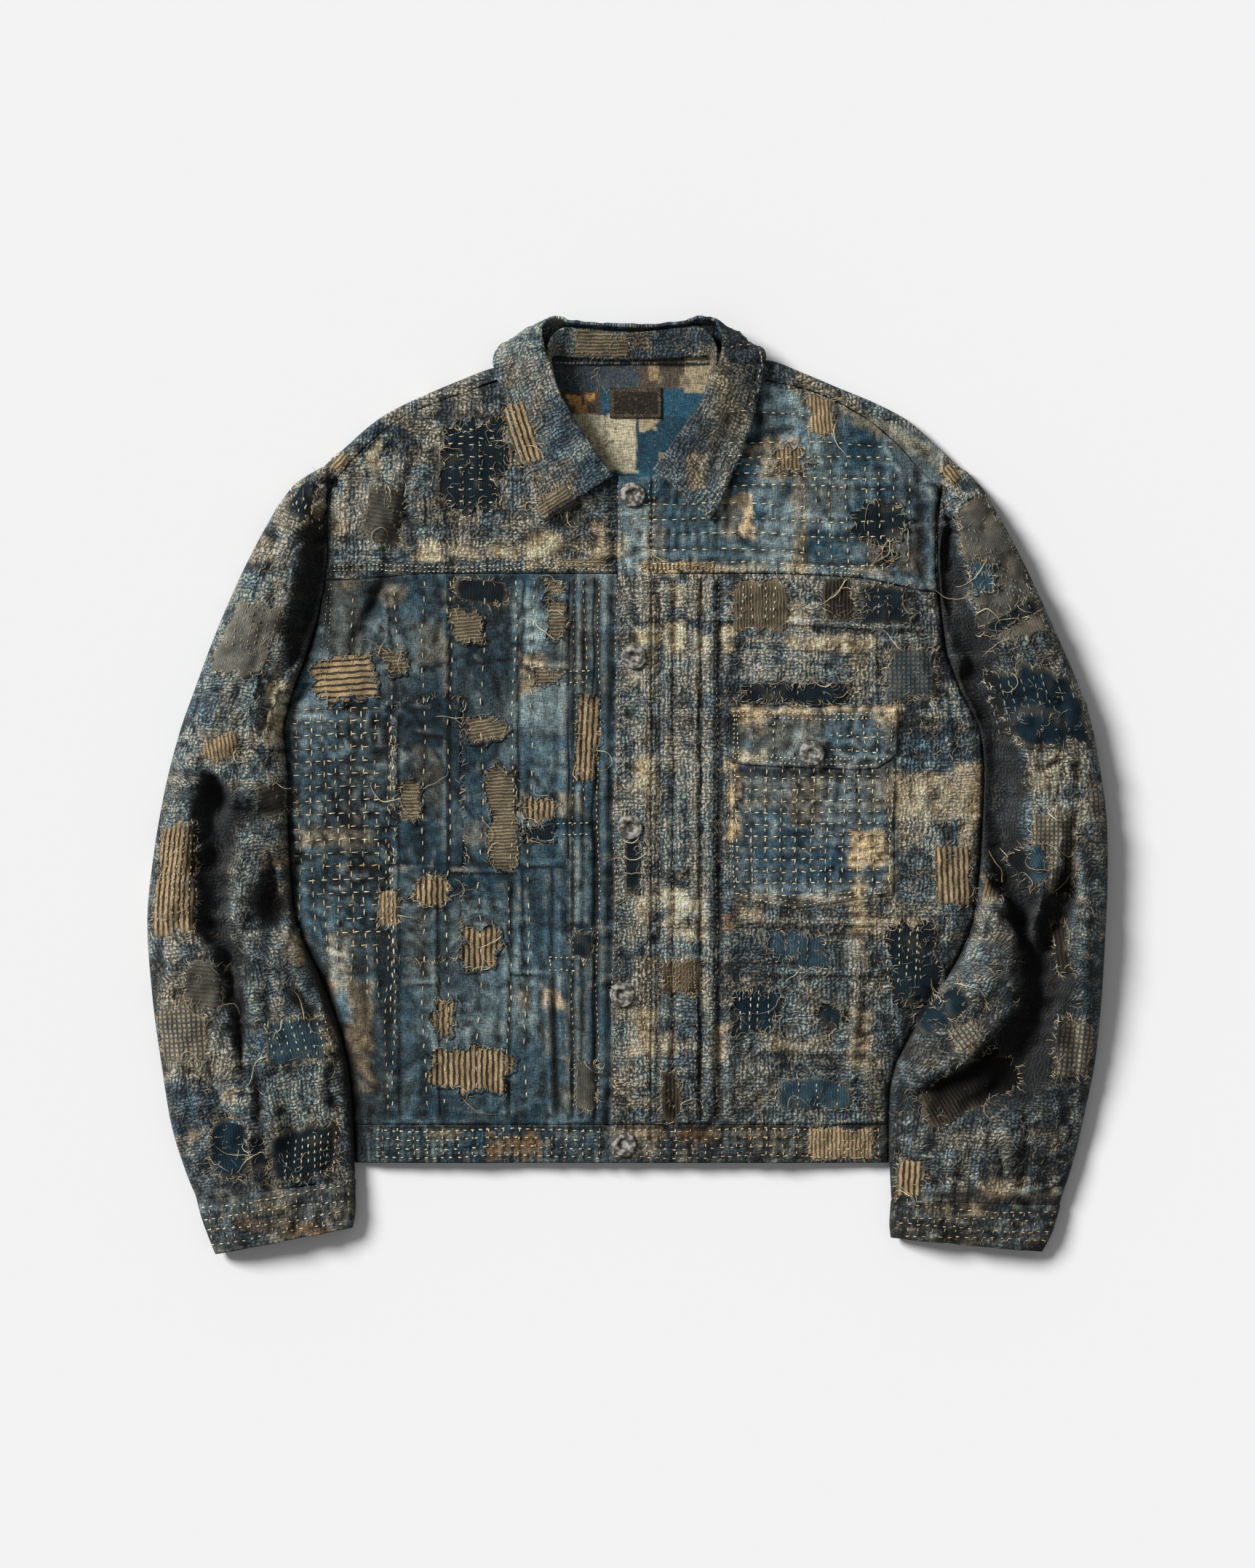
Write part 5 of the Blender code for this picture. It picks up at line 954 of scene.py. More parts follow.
def meshOf(shape, name):
    mesh = bpy.data.meshes.new(name)
    shape.to_mesh(mesh)
    shape.free()
    return mesh


def addObject(name, data):
    made = bpy.data.objects.new(name, data)
    bpy.context.scene.collection.objects.link(made)
    return made


def giveWall(piece, wall):
    thick = piece.modifiers.new("wall", "SOLIDIFY")
    thick.thickness = wall * mm
    thick.offset = -1


def gridMesh(name, points):
    rows, columns = points.shape[:2]
    shape = bmesh.new()
    bmesh.ops.create_grid(shape, x_segments=columns - 1, y_segments=rows - 1, size=1)
    mesh = meshOf(shape, name)
    mesh.vertices.foreach_set("co", (points.reshape(-1, 3) * mm).astype(np.float32).ravel())
    mesh.update()
    return mesh


def setAttributes(mesh, dyedAndShaded, nap, place):
    count = len(mesh.vertices)
    for name, kind, key, values, width in (
            ("dyeAndShading", "FLOAT_COLOR", "color", dyedAndShaded, 4), ("nap", "FLOAT", "value", nap, 1),
            ("clothPlace", "FLOAT_VECTOR", "vector", place, 3)):
        layer = mesh.attributes.new(name, kind, "POINT")
        layer.data.foreach_set(key, np.asarray(values, np.float32).reshape(count * width))


def sheetPiece(name, points, wall, look, outward=1, dyedAndShaded=None, nap=None, place=None, lies=True,
               closeTube=False):
    # points is the outer face; outward is +1 where that face looks up and -1 where it looks down.
    x, y = points[..., 0], points[..., 1]
    if dyedAndShaded is None:
        dyedAndShaded = sample(dyeAndShading, x, y)
    if nap is None:
        nap = sample(nub, x, y)
    if place is None:
        place = points
    # the last channel tells how open to the light the place is
    dyedAndShaded = np.concatenate([dyedAndShaded, sample(hollow, x, y)[..., None]], axis=-1)
    mesh = gridMesh(name + "_cloth", points)
    if np.sign(normalsOf(points)[..., 2].mean()) != outward:
        mesh.flip_normals()
    setAttributes(mesh, dyedAndShaded, nap, place)
    if lies:
        first = sum(len(p) for p in topPoints)
        topPoints.append(points.reshape(-1, 3))
        topFaces.append(np.array([tuple(p.vertices) for p in mesh.polygons]) + first)
    if closeTube:
        shape = bmesh.new()
        shape.from_mesh(mesh)
        bmesh.ops.remove_doubles(shape, verts=shape.verts, dist=0.00001)
        bmesh.ops.recalc_face_normals(shape, faces=shape.faces)
        shape.to_mesh(mesh)
        shape.free()
    mesh.shade_smooth()
    mesh.materials.append(look)
    piece = addObject(name + "_cloth", mesh)
    giveWall(piece, wall)
    return piece


def raised(points, amount):
    return points + normalsOf(points) * np.sign(normalsOf(points)[..., 2].mean()) * amount[..., None]


def stack(x, y, z):
    return np.stack(np.broadcast_arrays(x, y, z), axis=-1).astype(float)


made = {}


def cutOf(points):
    # Width, length and area of a piece, measured along its cloth.
    across = np.linalg.norm(np.diff(points, axis=1), axis=-1)
    along = np.linalg.norm(np.diff(points, axis=0), axis=-1)
    area = float((across[:-1] * along[:, :-1]).sum()) * mm * mm
    width, length = float(np.median(across.sum(1))) * mm, float(np.median(along.sum(0))) * mm
    flat = (math.ceil(width * 1000) / 1000, math.ceil(length * 1000) / 1000)
    return flat, min(area, flat[0] * flat[1])


def finishPiece(piece, nodes, flat=None, area=None, restsOn=()):
    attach(piece, "root")
    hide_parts(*nodes)
    made[nodes[0]] = {"piece": piece, "flat": flat, "area": area, "restsOn": restsOn, "with": []}
    return piece


# Fronts, yokes and waistband
frontSizes = {"sideTurn": ((1.0, 0.62), (1.2, 0.3), (0.9, 0.12)), "width": 272.0, "length": 435.0,
              "seam": 0.5, "hemDrop": 1.0}


def frontRows(side, top, bottom, count, across):
    # Rows from the top seam to the bottom one; columns from the side seam to the front edge.
    v = np.linspace(0, 1, count)[:, None]
    low = np.full_like(across, bottom)[None, :]
    y = np.full((count, len(across)), (float(np.mean(top(np.zeros(1)))) + bottom) / 2)
    for _ in range(3):
        outer = bodyEdge(side, y)
        inner = overlapEdge(y) + (24 if side == "right" else 0)
        x = outer + (inner - outer) * across[None, :]
        y = top(x) + (low - top(x)) * v
    return x, y


def turnDown(x, y, z, side):
    # Close the side seam: a few columns roll down to the back.
    sign = -1 if side == "right" else 1
    for out, share in frontSizes["sideTurn"]:
        x = np.hstack([x[:, :1] + sign * out, x])
        y = np.hstack([y[:, :1], y])
        edge = np.maximum(z[:, :1] * 0.55, 1.6) if share > 0.5 else np.full_like(z[:, :1], 1.4 + share)
        z = np.hstack([edge, z])
    return x, y, z


def bodySurface(x, y, steps, extra=0.0):
    z = bodyHeight(x, y) + sample(relief, x, y) + extra
    return z - underlap(x, y) if steps else z


print("fronts and waistband")


def belowYoke(x):
    return yokeSeamAt(x) - cloth["lap"]


def belowWaist(x):
    return np.full_like(x, seams["waist"] - cloth["lap"])


for side, look in (("right", "faded_cloth"), ("left", "plaid_cloth")):
    across = np.linspace(0, 1, int(frontSizes["width"] / cloth["fine"]))
    rows = int(frontSizes["length"] / cloth["fine"])
    x, y = frontRows(side, belowYoke, seams["waist"] + cloth["lap"], rows, across)
    x, y, z = turnDown(x, y, bodySurface(x, y, side == "right"), side)
    piece = sheetPiece("front_" + side, stack(x, y, z), cloth["wall"], bodyCloths[look])
    finishPiece(piece, ["front_" + side], (0.275, 0.438), 0.112, ["back_panel"])
    x, y = frontRows(side, belowWaist, seams["hem"], 16, np.linspace(0, 1, 110))
    z = bodySurface(x, y, side == "right", frontSizes["seam"])
    z[-1] -= frontSizes["hemDrop"]
    x, y, z = turnDown(x, y, z, side)
    piece = sheetPiece("waistband_" + side, stack(x, y, z), cloth["wall"] + 0.8, bodyCloths[look])
    finishPiece(piece, ["waistband_" + side], (0.222, 0.031), None, ["waistband_back"])


def alongTable(values, step):
    # Column positions about one step apart along the lower ends of a table's columns.
    length = np.concatenate([[0], np.cumsum(np.hypot(np.diff(values["bx"] + values["tx"]),
                                                     np.diff(values["by"] + values["ty"])) / 2)])
    at = np.linspace(0, length[-1], int(length[-1] / step))
    return {key: np.interp(at, length, column)[None, :] for key, column in values.items()}


def columnsDown(columns, rows, gap=0.0):
    # gap is left free at both ends
    dx, dy = columns["bx"] - columns["tx"], columns["by"] - columns["ty"]
    length = np.hypot(dx, dy)
    v = gap / length + np.linspace(0, 1, rows)[:, None] * (1 - 2 * gap / length)
    return columns["tx"] + dx * v, columns["ty"] + dy * v


print("yokes")
for side, shape, look in (("right", yokeRight, "plaid_cloth"), ("left", yokeLeft, "indigo_cloth")):
    x, y = columnsDown(alongTable(shape, cloth["fine"]), 66, cloth["lap"])
    edge, seamTop = (0, 235) if side == "right" else (-1, 225)
    x[:, edge] = np.where(y[:, edge] < seamTop, bodyEdge(side, y[:, edge]), x[:, edge])
    z = bodySurface(x, y, side == "right")
    piece = sheetPiece("front_yoke_" + side, stack(x, y, z), cloth["wall"], bodyCloths[look])
    finishPiece(piece, ["front_yoke_" + side], (0.257, 0.158), 0.0315, ["back_yoke", "neck_lining"])


def shoulderPath(bx, ox, oy, sx, sy):
    reach = math.hypot(ox - sx, oy - sy)
    inward = ((sx - ox) / reach, (sy - oy) / reach)
    top = float(bodyHeight(np.array(sx), np.array(sy)))
    steps = ((max(8.5, 0.85 * reach), 0.0), (4.5, 0.4), (1.2, 2.6), (0.0, 0.42 * top), (1.2, 0.72 * top),
             (4.0, 0.92 * top))
    middle = (seams["backYoke"] + sy) / 2
    mx = float(np.clip((bx + sx) / 2, bodyEdge("right", middle), bodyEdge("left", middle)))
    path = [(bx, seams["backYoke"] + 0.3, 0.0), (mx, middle, 0.0)]
    path += [(ox + inward[0] * d, oy + inward[1] * d, z) for d, z in steps]
    return path + [(sx - inward[0] * 0.3, sy - inward[1] * 0.3, top)]


def neckPath(bx, ox):
    steps = ((8.0, 0.0), (4.0, 0.3), (1.2, 1.2), (0.2, 2.8), (0.0, 4.4), (0.0, 5.8), (0.0, 7.2))
    middle = (seams["backYoke"] + seams["neck"]) / 2
    path = [(bx, seams["backYoke"] + 0.3, 0.0), ((bx + ox) / 2, middle, 0.0)]
    return path + [(ox, seams["neck"] - d, z) for d, z in steps]


def evenPath(path, shares):
    # A path read again at even steps of its length between its first, second and last points.
    path = np.array(path)
    length = np.concatenate([[0], np.cumsum(np.linalg.norm(np.diff(path, axis=0), axis=1))])
    beyond = length[2] + (shares - 0.25) / 0.75 * (length[-1] - length[2])
    at = np.where(shares < 0.25, shares * 4 * length[2], beyond)
    return np.stack([np.interp(at, length, path[:, k]) for k in range(3)], axis=-1)


# the back takes a mirrored, shifted copy of the front's dye with its painted shade and light
backDyeAndShading = np.clip(np.roll(dyeAndShading[:, ::-1], (33, 41), axis=(0, 1)), 0, 1)
paths = [shoulderPath(*row) for row in zip(*shoulderRight.values())]
paths += [neckPath(*row) for row in zip(*neckBack.values())]
paths += [shoulderPath(*row) for row in zip(*shoulderLeft.values())]
shares = np.concatenate([np.linspace(0, 0.24, 12), np.linspace(0.25, 1, 26)])
stations = np.array([evenPath(path, shares) for path in paths])
yokeBack = refine(stations, 190)
for _ in range(2):
    yokeBack[1:-1, 1:-1] = (yokeBack[1:-1, 1:-1] * 2 + yokeBack[1:-1, 2:] + yokeBack[1:-1, :-2]) / 4
lift = np.clip(yokeBack[..., 2] / 12, 0, 1)
yokeBack[..., 2] += sampleAt(relief, yokeBack) * 0.6 * lift
piece = sheetPiece("back_yoke", yokeBack, cloth["wall"], bodyCloths["plaid_cloth"], outward=-1)
finishPiece(piece, ["back_yoke"], (0.52, 0.175), 0.064, ["back_panel"])

for name, top, bottom, wall, look, flat, area in (
        ("back_panel", seams["backYoke"] - 0.3, seams["waist"] + 0.3, 2.0, "plaid_cloth",
         (0.56, 0.459), 0.223),
        ("waistband_back", seams["waist"] - 0.3, seams["hem"], 2.4, "faded_cloth", (0.409, 0.030), None)):
    rows = np.linspace(top, bottom, max(int((top - bottom) / cloth["hidden"]), 6))[:, None]
    x = bodyEdge("right", rows) + (bodyEdge("left", rows) - bodyEdge("right", rows)) * np.linspace(0, 1, 72)
    y = rows + 0 * x
    wave = 0.25 * np.abs(sample(cloud(14, 40), x, y))
    piece = sheetPiece(name, stack(x, y, wave), wall, bodyCloths[look], outward=-1,
                       dyedAndShaded=sample(backDyeAndShading, x, y))
    finishPiece(piece, [name], flat, area, ["floor"])

print("sleeves and cuffs")
sleeveSizes = {"seam": 8.0, "gap": 0.4, "least": 4.6, "rows": 256, "columns": 60}


def sleeveLine(shape, count, side):
    ox, oy, ix, iy, height = (refine(shape[key], count) for key in ("ox", "oy", "ix", "iy", "height"))
    if side == "right":
        ix = np.minimum(ix, bodyEdge(side, iy) - sleeveSizes["gap"])
        ix = np.where(iy > -299, np.maximum(ix, bodyEdge(side, iy) - 1.2), ix)
    else:
        ix = np.maximum(ix, bodyEdge(side, iy) + sleeveSizes["gap"])
        ix = np.where(iy > -299, np.minimum(ix, bodyEdge(side, iy) + 1.2), ix)
    return [value[:, None] for value in (ox, oy, ix, iy, height)]


def sleevePoints(line, across):
    ox, oy, ix, iy, height = line
    return ox + (ix - ox) * across, oy + (iy - oy) * across, height


def seamHeight(line):
    ox, oy, ix, iy, _ = line
    return sleeveSizes["seam"] * np.clip(np.hypot(ix - ox, iy - oy) / 60, 0.45, 1)


def upperFace(line, folds, across, ledges=None):
    x, y, height = sleevePoints(line, across)
    seam = seamHeight(line)
    bend = np.abs(2 * across - 1)
    z = seam + (height - seam) * np.sqrt(np.maximum(1 - bend ** 2.8, 0))
    if folds is not None:
        fold = (foldHeight(folds, x, y) + ledgeHeight(ledges, x, y)) * (1 - bend ** 10)
        z = np.where(bend < 1, np.maximum(z + fold, sleeveSizes["least"] + 3 * bend), z)
    return stack(x, y, z)


def underFace(line, across, turn=9.0):
    ox, oy, ix, iy, _ = line
    width = np.hypot(ix - ox, iy - oy)
    turn = np.minimum(turn, 0.3 * width)
    side = np.minimum(across, 1 - across)
    share = np.where(side <= 0.4, side / 0.4 * turn / width, 0.5)
    mid = turn / width + (side - 0.4) / 0.1 * (0.5 - turn / width)
    share = np.where(side > 0.4, mid, share)
    share = np.where(across > 0.5, 1 - share, share)
    x, y, _ = sleevePoints(line, share)
    return stack(x, y, seamHeight(line) * (1 - np.minimum(side / 0.4, 1)) ** 2)


def pathPlace(points):
    # Distance across and along a piece, so that a pattern follows the cloth.
    across = np.cumsum(np.linalg.norm(np.diff(points, axis=1, prepend=points[:, :1]), axis=-1), axis=1)
    middle = points[:, points.shape[1] // 2]
    along = np.cumsum(np.linalg.norm(np.diff(middle, axis=0, prepend=middle[:1]), axis=-1))
    across = across - across[:, points.shape[1] // 2][:, None]
    return stack(across, -along[:, None] + 0 * across, 0 * across)


spread = np.linspace(0, 1, sleeveSizes["columns"])
acrossUpper = (0.35 * (0.5 - 0.5 * np.cos(np.pi * spread)) + 0.65 * spread)[None, :]
acrossUnder = np.concatenate([np.linspace(0, 0.4, 9), np.linspace(0.41, 0.59, 12),
                              np.linspace(0.6, 1, 9)])[None, :]
# how each sleeve's ends tuck under the yoke and into the cuff
tucks = {"right": ((5, 2, 3, 5, -3), (0.6, -3, -0.5, -3, -2)),
         "left": ((-5, 2, -4, 4, -3), (-0.6, -3, 0.5, -3, -2))}
for side, shape, folds, ledges, cuff in (
        ("right", sleeveRight, sleeveRightFolds, sleeveRightLedges, cuffRight),
        ("left", sleeveLeft, sleeveLeftFolds, sleeveLeftLedges, cuffLeft)):
    line = sleeveLine(shape, sleeveSizes["rows"], side)
    for value, start, end in zip(line, tucks[side][0], tucks[side][1]):
        value[:4, 0] += np.linspace(start, 0, 4)
        value[-3:, 0] += np.linspace(0, end, 3)
    points = upperFace(line, folds, acrossUpper, ledges)
    bend = np.abs(2 * acrossUpper - 1) ** 6
    bumps = sampleAt(relief, points) * (1 - bend)
    full = raised(points, bumps)
    full[..., 2] = np.maximum(full[..., 2], sleeveSizes["least"] - 0.4)
    piece = sheetPiece("sleeve_upper_" + side, full, cloth["wall"], bodyCloths["plaid_cloth"],
                       place=pathPlace(points))
    finishPiece(piece, ["sleeve_upper_" + side], (0.185, 0.60), 0.088,
                ["sleeve_under_" + side])
    points = underFace([value[::4] for value in line], acrossUnder)
    piece = sheetPiece("sleeve_under_" + side, points, cloth["wall"], bodyCloths["plaid_cloth"], outward=-1,
                       dyedAndShaded=sampleAt(backDyeAndShading, points), place=pathPlace(points), lies=False)
    finishPiece(piece, ["sleeve_under_" + side], (0.16, 0.60), 0.065, ["floor"])

    line = [refine(cuff[key], 24)[:, None] for key in ("ox", "oy", "ix", "iy", "height")]
    top = upperFace(line, None, acrossUpper)
    top = raised(top, sampleAt(relief, top) * (1 - bend) * 0.8 + 0.4)
    bottom = underFace(line, acrossUnder)
    ring = np.concatenate([top, bottom[:, -2:0:-1], top[:, :1]], axis=1)
    piece = sheetPiece("cuff_" + side, ring, 2.2, bodyCloths["faded_cloth"], place=pathPlace(ring),
                       closeTube=True, lies=False)
    first = sum(len(p) for p in topPoints)
    topPoints.append(top.reshape(-1, 3))
    rows, columns = top.shape[:2]
    corner = (np.arange(rows - 1)[:, None] * columns + np.arange(columns - 1)).ravel() + first
    topFaces.append(np.stack([corner, corner + 1, corner + columns + 1, corner + columns], axis=1))
    finishPiece(piece, ["cuff_" + side], (0.29, 0.043), None,
                ["sleeve_under_" + side, "floor"])

print("button band, pleats and pocket")
bandSizes = {"placket": 1.7, "groove": 0.9, "pleat": 1.6, "pocket": 1.2, "flap": 1.8, "wall": 1.2}


def laidPiece(name, x, y, lift, look, flat, restsOn, steps=False, area=None, wall=None):
    # Sewn down on the fronts: their surface, moved out, with its edges pressed down.
    z = bodySurface(x, y, steps) + lift
    piece = sheetPiece(name, stack(x, y, z), wall or bandSizes["wall"], bodyCloths[look])
    finishPiece(piece, [name], flat, area, restsOn)


def pressed(rows, columns, edge):
    u, v = np.linspace(0, 1, columns)[None, :], np.linspace(0, 1, rows)[:, None]
    side = np.minimum(np.minimum(u, 1 - u) * columns, np.minimum(v, 1 - v) * rows)
    return smoothStep(side / edge)


rows, columns = 210, 16
v, u = np.linspace(0, 1, rows)[:, None], np.linspace(0, 1, columns)[None, :]
y = 242.5 + (seams["waist"] + 1 - 242.5) * v + 0 * u
start = -7 + (float(overlapEdge(seams["waist"])) + 7) * v
x = start + u * (26 + 6 * v)
groove = bandSizes["groove"] * np.exp(-((u - 0.5) / 0.2) ** 2)
laidPiece("placket", x, y, 0.4 + bandSizes["placket"] * pressed(rows, columns, 1.6) - groove, "plaid_cloth",
          (0.032, 0.511), ["front_left", "front_yoke_left"])
for name, left, right, look in (("pleat_right", -46, -27, "faded_cloth"),
                                ("pleat_left", 37, 57, "plaid_cloth")):
    x = left + (right - left) * u + 1.2 * sample(cloud(30, 41), 0 * v, 162 - 430 * v)
    y = seams["yoke"] - 3 + (seams["waist"] + 5 - seams["yoke"]) * v + 0 * u
    roll = np.sqrt(np.maximum(1 - np.abs(2 * u - 1) ** 3, 0))
    roll = roll * (bandSizes["pleat"] + 0.8 * sample(cloud(16, 42), x, y))
    laidPiece(name, x, y, 0.3 + roll * 0.8, look, (0.020, 0.427),
              ["front_right" if left < 0 else "front_left"], steps=left < 0)
x, y = columnsDown(alongTable(pocketShape, cloth["fine"]), 76)
laidPiece("pocket", x, y, 0.4 + bandSizes["pocket"] * pressed(*x.shape, 1.5), "faded_cloth", (0.131, 0.156),
          ["front_left"], area=0.0193)
x, y = columnsDown(alongTable(flapShape, 1.6), 30)
free = np.linspace(0, 1, 30)[:, None] ** 2
curl = 1.4 * free * (0.5 + np.exp(-((x - 105) / 26) ** 2)) + 0.8 * free * sample(cloud(20, 43), x, y)
laidPiece("pocket_flap", x, y, 2.4 + 0.8 * pressed(*x.shape, 1.4) + curl, "faded_cloth", (0.133, 0.049),
          ["pocket", "front_left"], area=0.0061, wall=bandSizes["flap"])

print("collar and lining")
collarSizes = {"along": 250, "across": 30, "wall": 2.4, "stand": 1.6, "middle": (4.0, 300.0, 0.0)}
sections = {key: refine(value, collarSizes["along"]) for key, value in collarFall.items()}
fold = np.stack([sections["fx"], sections["fy"], sections["fz"]], axis=-1)
edge = np.stack([sections["ex"], sections["ey"], sections["ez"]], axis=-1)
away = fold - np.array(collarSizes["middle"])
away[:, 2] = 0
away /= np.linalg.norm(away, axis=1, keepdims=True)
up = np.array([0.0, 0.0, 1.0])
near = fold + (edge - fold) / 3 + away * sections["bow"][:, None] + up * sections["dome"][:, None]
far = edge - (edge - fold) / 3 + away * sections["tuck"][:, None] + up * sections["dome"][:, None] * 0.6
share = np.linspace(0, 1, collarSizes["across"])[None, :, None]
points = (fold[:, None] * (1 - share) ** 3 + near[:, None] * 3 * share * (1 - share) ** 2
          + far[:, None] * 3 * share ** 2 * (1 - share) + edge[:, None] * share ** 3)
down = share[..., 0]
hem = 0.7 * np.exp(-((down - 0.93) / 0.05) ** 2) - 0.7 * np.exp(-((down - 0.82) / 0.035) ** 2)
points = raised(points, sampleAt(relief, points) * 0.75 + hem)


def collarPiece(name, points, wall):
    return sheetPiece(name, points, wall, bodyCloths["plaid_cloth"], place=pathPlace(points),
                      dyedAndShaded=sampleAt(collarDyeAndShading, points), nap=0.9 + 0 * points[..., 0])


piece = collarPiece("collar_fall", points, collarSizes["wall"])
finishPiece(piece, ["collar_fall"], (0.43, 0.062), 0.0215,
            ["front_yoke_right", "front_yoke_left"])
stand = {key: refine(value, 150) for key, value in collarStand.items()}
top = np.stack([stand["tx"], stand["ty"], stand["tz"]], axis=-1)
seam = np.stack([stand["bx"], stand["by"], stand["bz"]], axis=-1)
share = np.linspace(0, 1, 14)[None, :, None]
points = top[:, None] * (1 - share) + seam[:, None] * share
points = points + np.array([0, 0, 1.0]) * (sampleAt(relief, points) * 0.3)[..., None]
piece = collarPiece("collar_stand", points, collarSizes["stand"])
finishPiece(piece, ["collar_stand"], (0.27, 0.024), 0.0040, ["back_yoke", "collar_fall"])

liningSizes = {"height": 4.4, "wall": 1.2, "seam": 0.6, "labelHeight": 5.6, "labelWall": 0.8}
x, y = np.meshgrid(np.linspace(-66, 72, 116), np.linspace(338, 226, 84))
inner = np.broadcast_to(tone("deep") * 2.1, x.shape + (3,)).copy()
for cx, cy, wide, tall, shade, lift in (
        (-28, 326, 72, 26, "slate", 1.0), (44, 326, 72, 26, "dim", 1.1), (58, 324, 26, 30, "sand", 1.1),
        (20, 326, 9, 14, "tan", 0.6), (-46, 301, 50, 20, "dim", 1.0), (-42, 303, 9, 7, "rust", 2.2),
        (-30, 305, 6, 6, "rust", 2.0), (-36, 296, 8, 6, "rust", 1.8), (-24, 269, 64, 46, "khaki", 1.6),
        (26, 269, 38, 42, "deep", 1.3), (17, 284, 14, 10, "sand", 1.1),
        (30, 258, 10, 8, "sand", 0.8), (46, 318, 7, 8, "sand", 0.8), (26, 320, 6, 7, "sand", 0.7)):
    ragged = 1.2 if wide > 20 else 3
    inside = np.minimum(wide / 2 - np.abs(x - cx), tall / 2 - np.abs(y - cy))
    mask = smoothStep((inside + ragged * sample(edgeNoise, x, y)) / 1.6 + 0.5)[..., None]
    inner = inner + (tone(shade) * lift - inner) * mask
specks = smoothStep((sample(cloud(3.4, 44), x, y) - 0.72) / 0.12) * (np.abs(x + 8) < 14)
inner = inner + (tone("blue") - inner) * specks[..., None] * 0.8
wrinkles = 0.5 * sample(cloud(16, 45, 2.0, 1.0), x, y) + 0.3 * sample(cloud(6, 46), x, y)
pieced = np.exp(-((x - 8) / 0.9) ** 2) * (y < 291) + np.exp(-((y - 315) / 0.9) ** 2)
z = liningSizes["height"] + wrinkles - liningSizes["seam"] * pieced
piece = sheetPiece("neck_lining", stack(x, y, z), liningSizes["wall"], bodyCloths["lining_cloth"],
                   dyedAndShaded=inner, nap=0 * x)
finishPiece(piece, ["neck_lining"], (0.138, 0.099), None, ["back_yoke", "back_panel"])
x, y = np.meshgrid(np.linspace(-14, 27, 34), np.linspace(313, 289, 20))
border = np.minimum(np.minimum(x + 14, 27 - x), np.minimum(313 - y, y - 289))
shade = np.broadcast_to(tone("brown") * 0.25, x.shape + (3,)) + tone("tan") * 0.8 * (
    np.exp(-((border - 1.9) / 0.5) ** 2) * (np.sin((x + y) * 2.6) > -0.2))[..., None]
z = liningSizes["labelHeight"] + 0.25 * sample(cloud(9, 47), x, y)
piece = sheetPiece("label", stack(x, y, z), liningSizes["labelWall"], bodyCloths["lining_cloth"],
                   dyedAndShaded=shade, nap=0 * x)
finishPiece(piece, ["label"], (0.041, 0.024), None, ["neck_lining"])


# Height of whatever is on top, over the whole plan.
def castGround():
    points = np.concatenate(topPoints)
    faces = np.concatenate(topFaces)
    tree = BVHTree.FromPolygons(points.tolist(), faces.tolist())
    ground = np.zeros(spotX.size)
    down = Vector((0, 0, -1))
    for i, (x, y) in enumerate(zip(spotX.ravel().tolist(), spotY.ravel().tolist())):
        hit = tree.ray_cast(Vector((x, y, 90)), down)[0]
        if hit:
            ground[i] = hit.z
    return ground.reshape(spotX.shape)


print("height of the laid cloth")
ground = castGround()

print("patches and holes")
patchSizes = {"pitch": 1.9, "lift": 0.5, "thick": 0.7, "ragged": 1.5}
frayed, rims = [], []    # edges that shed threads, and edges of holes: plan points and outward direction
smallParts = {}


def patchPoints(x, y, wide, tall, turn, rounded, seed, ragged):
    columns, rows = max(int(wide / patchSizes["pitch"]), 5), max(int(tall / patchSizes["pitch"]), 5)
    u, v = np.meshgrid(np.linspace(-1, 1, columns), np.linspace(1, -1, rows))
    discU, discV = u * np.sqrt(1 - v ** 2 / 2), v * np.sqrt(1 - u ** 2 / 2)
    pu, pv = u + (discU - u) * rounded, v + (discV - v) * rounded
    px, py = pu * wide / 2, pv * tall / 2
    angle = np.arctan2(pv, pu)
    draw = np.random.default_rng(seed)
    wobble = sum(draw.normal(0, 1.0 / k ** 0.6) * np.sin(k * angle + draw.uniform(0, 6.3))
                 for k in range(2, 17))
    ragged = ragged * (0.55 + 0.06 * min(wide, tall))
    size = ragged * 0.55 * np.maximum(np.abs(u), np.abs(v)) ** 3
    length = np.maximum(np.hypot(px, py), 1e-6)
    px, py = px * (1 + size * wobble / length), py * (1 + size * wobble / length)
    lean = math.radians(turn)
    return (u, v, px, py, x + px * math.cos(lean) - py * math.sin(lean),
            y + px * math.sin(lean) + py * math.cos(lean))


def edgeOf(x, y):
    return (np.concatenate([x[0], x[1:, -1], x[-1, -2::-1], x[-2:0:-1, 0]]),
            np.concatenate([y[0], y[1:, -1], y[-1, -2::-1], y[-2:0:-1, 0]]))


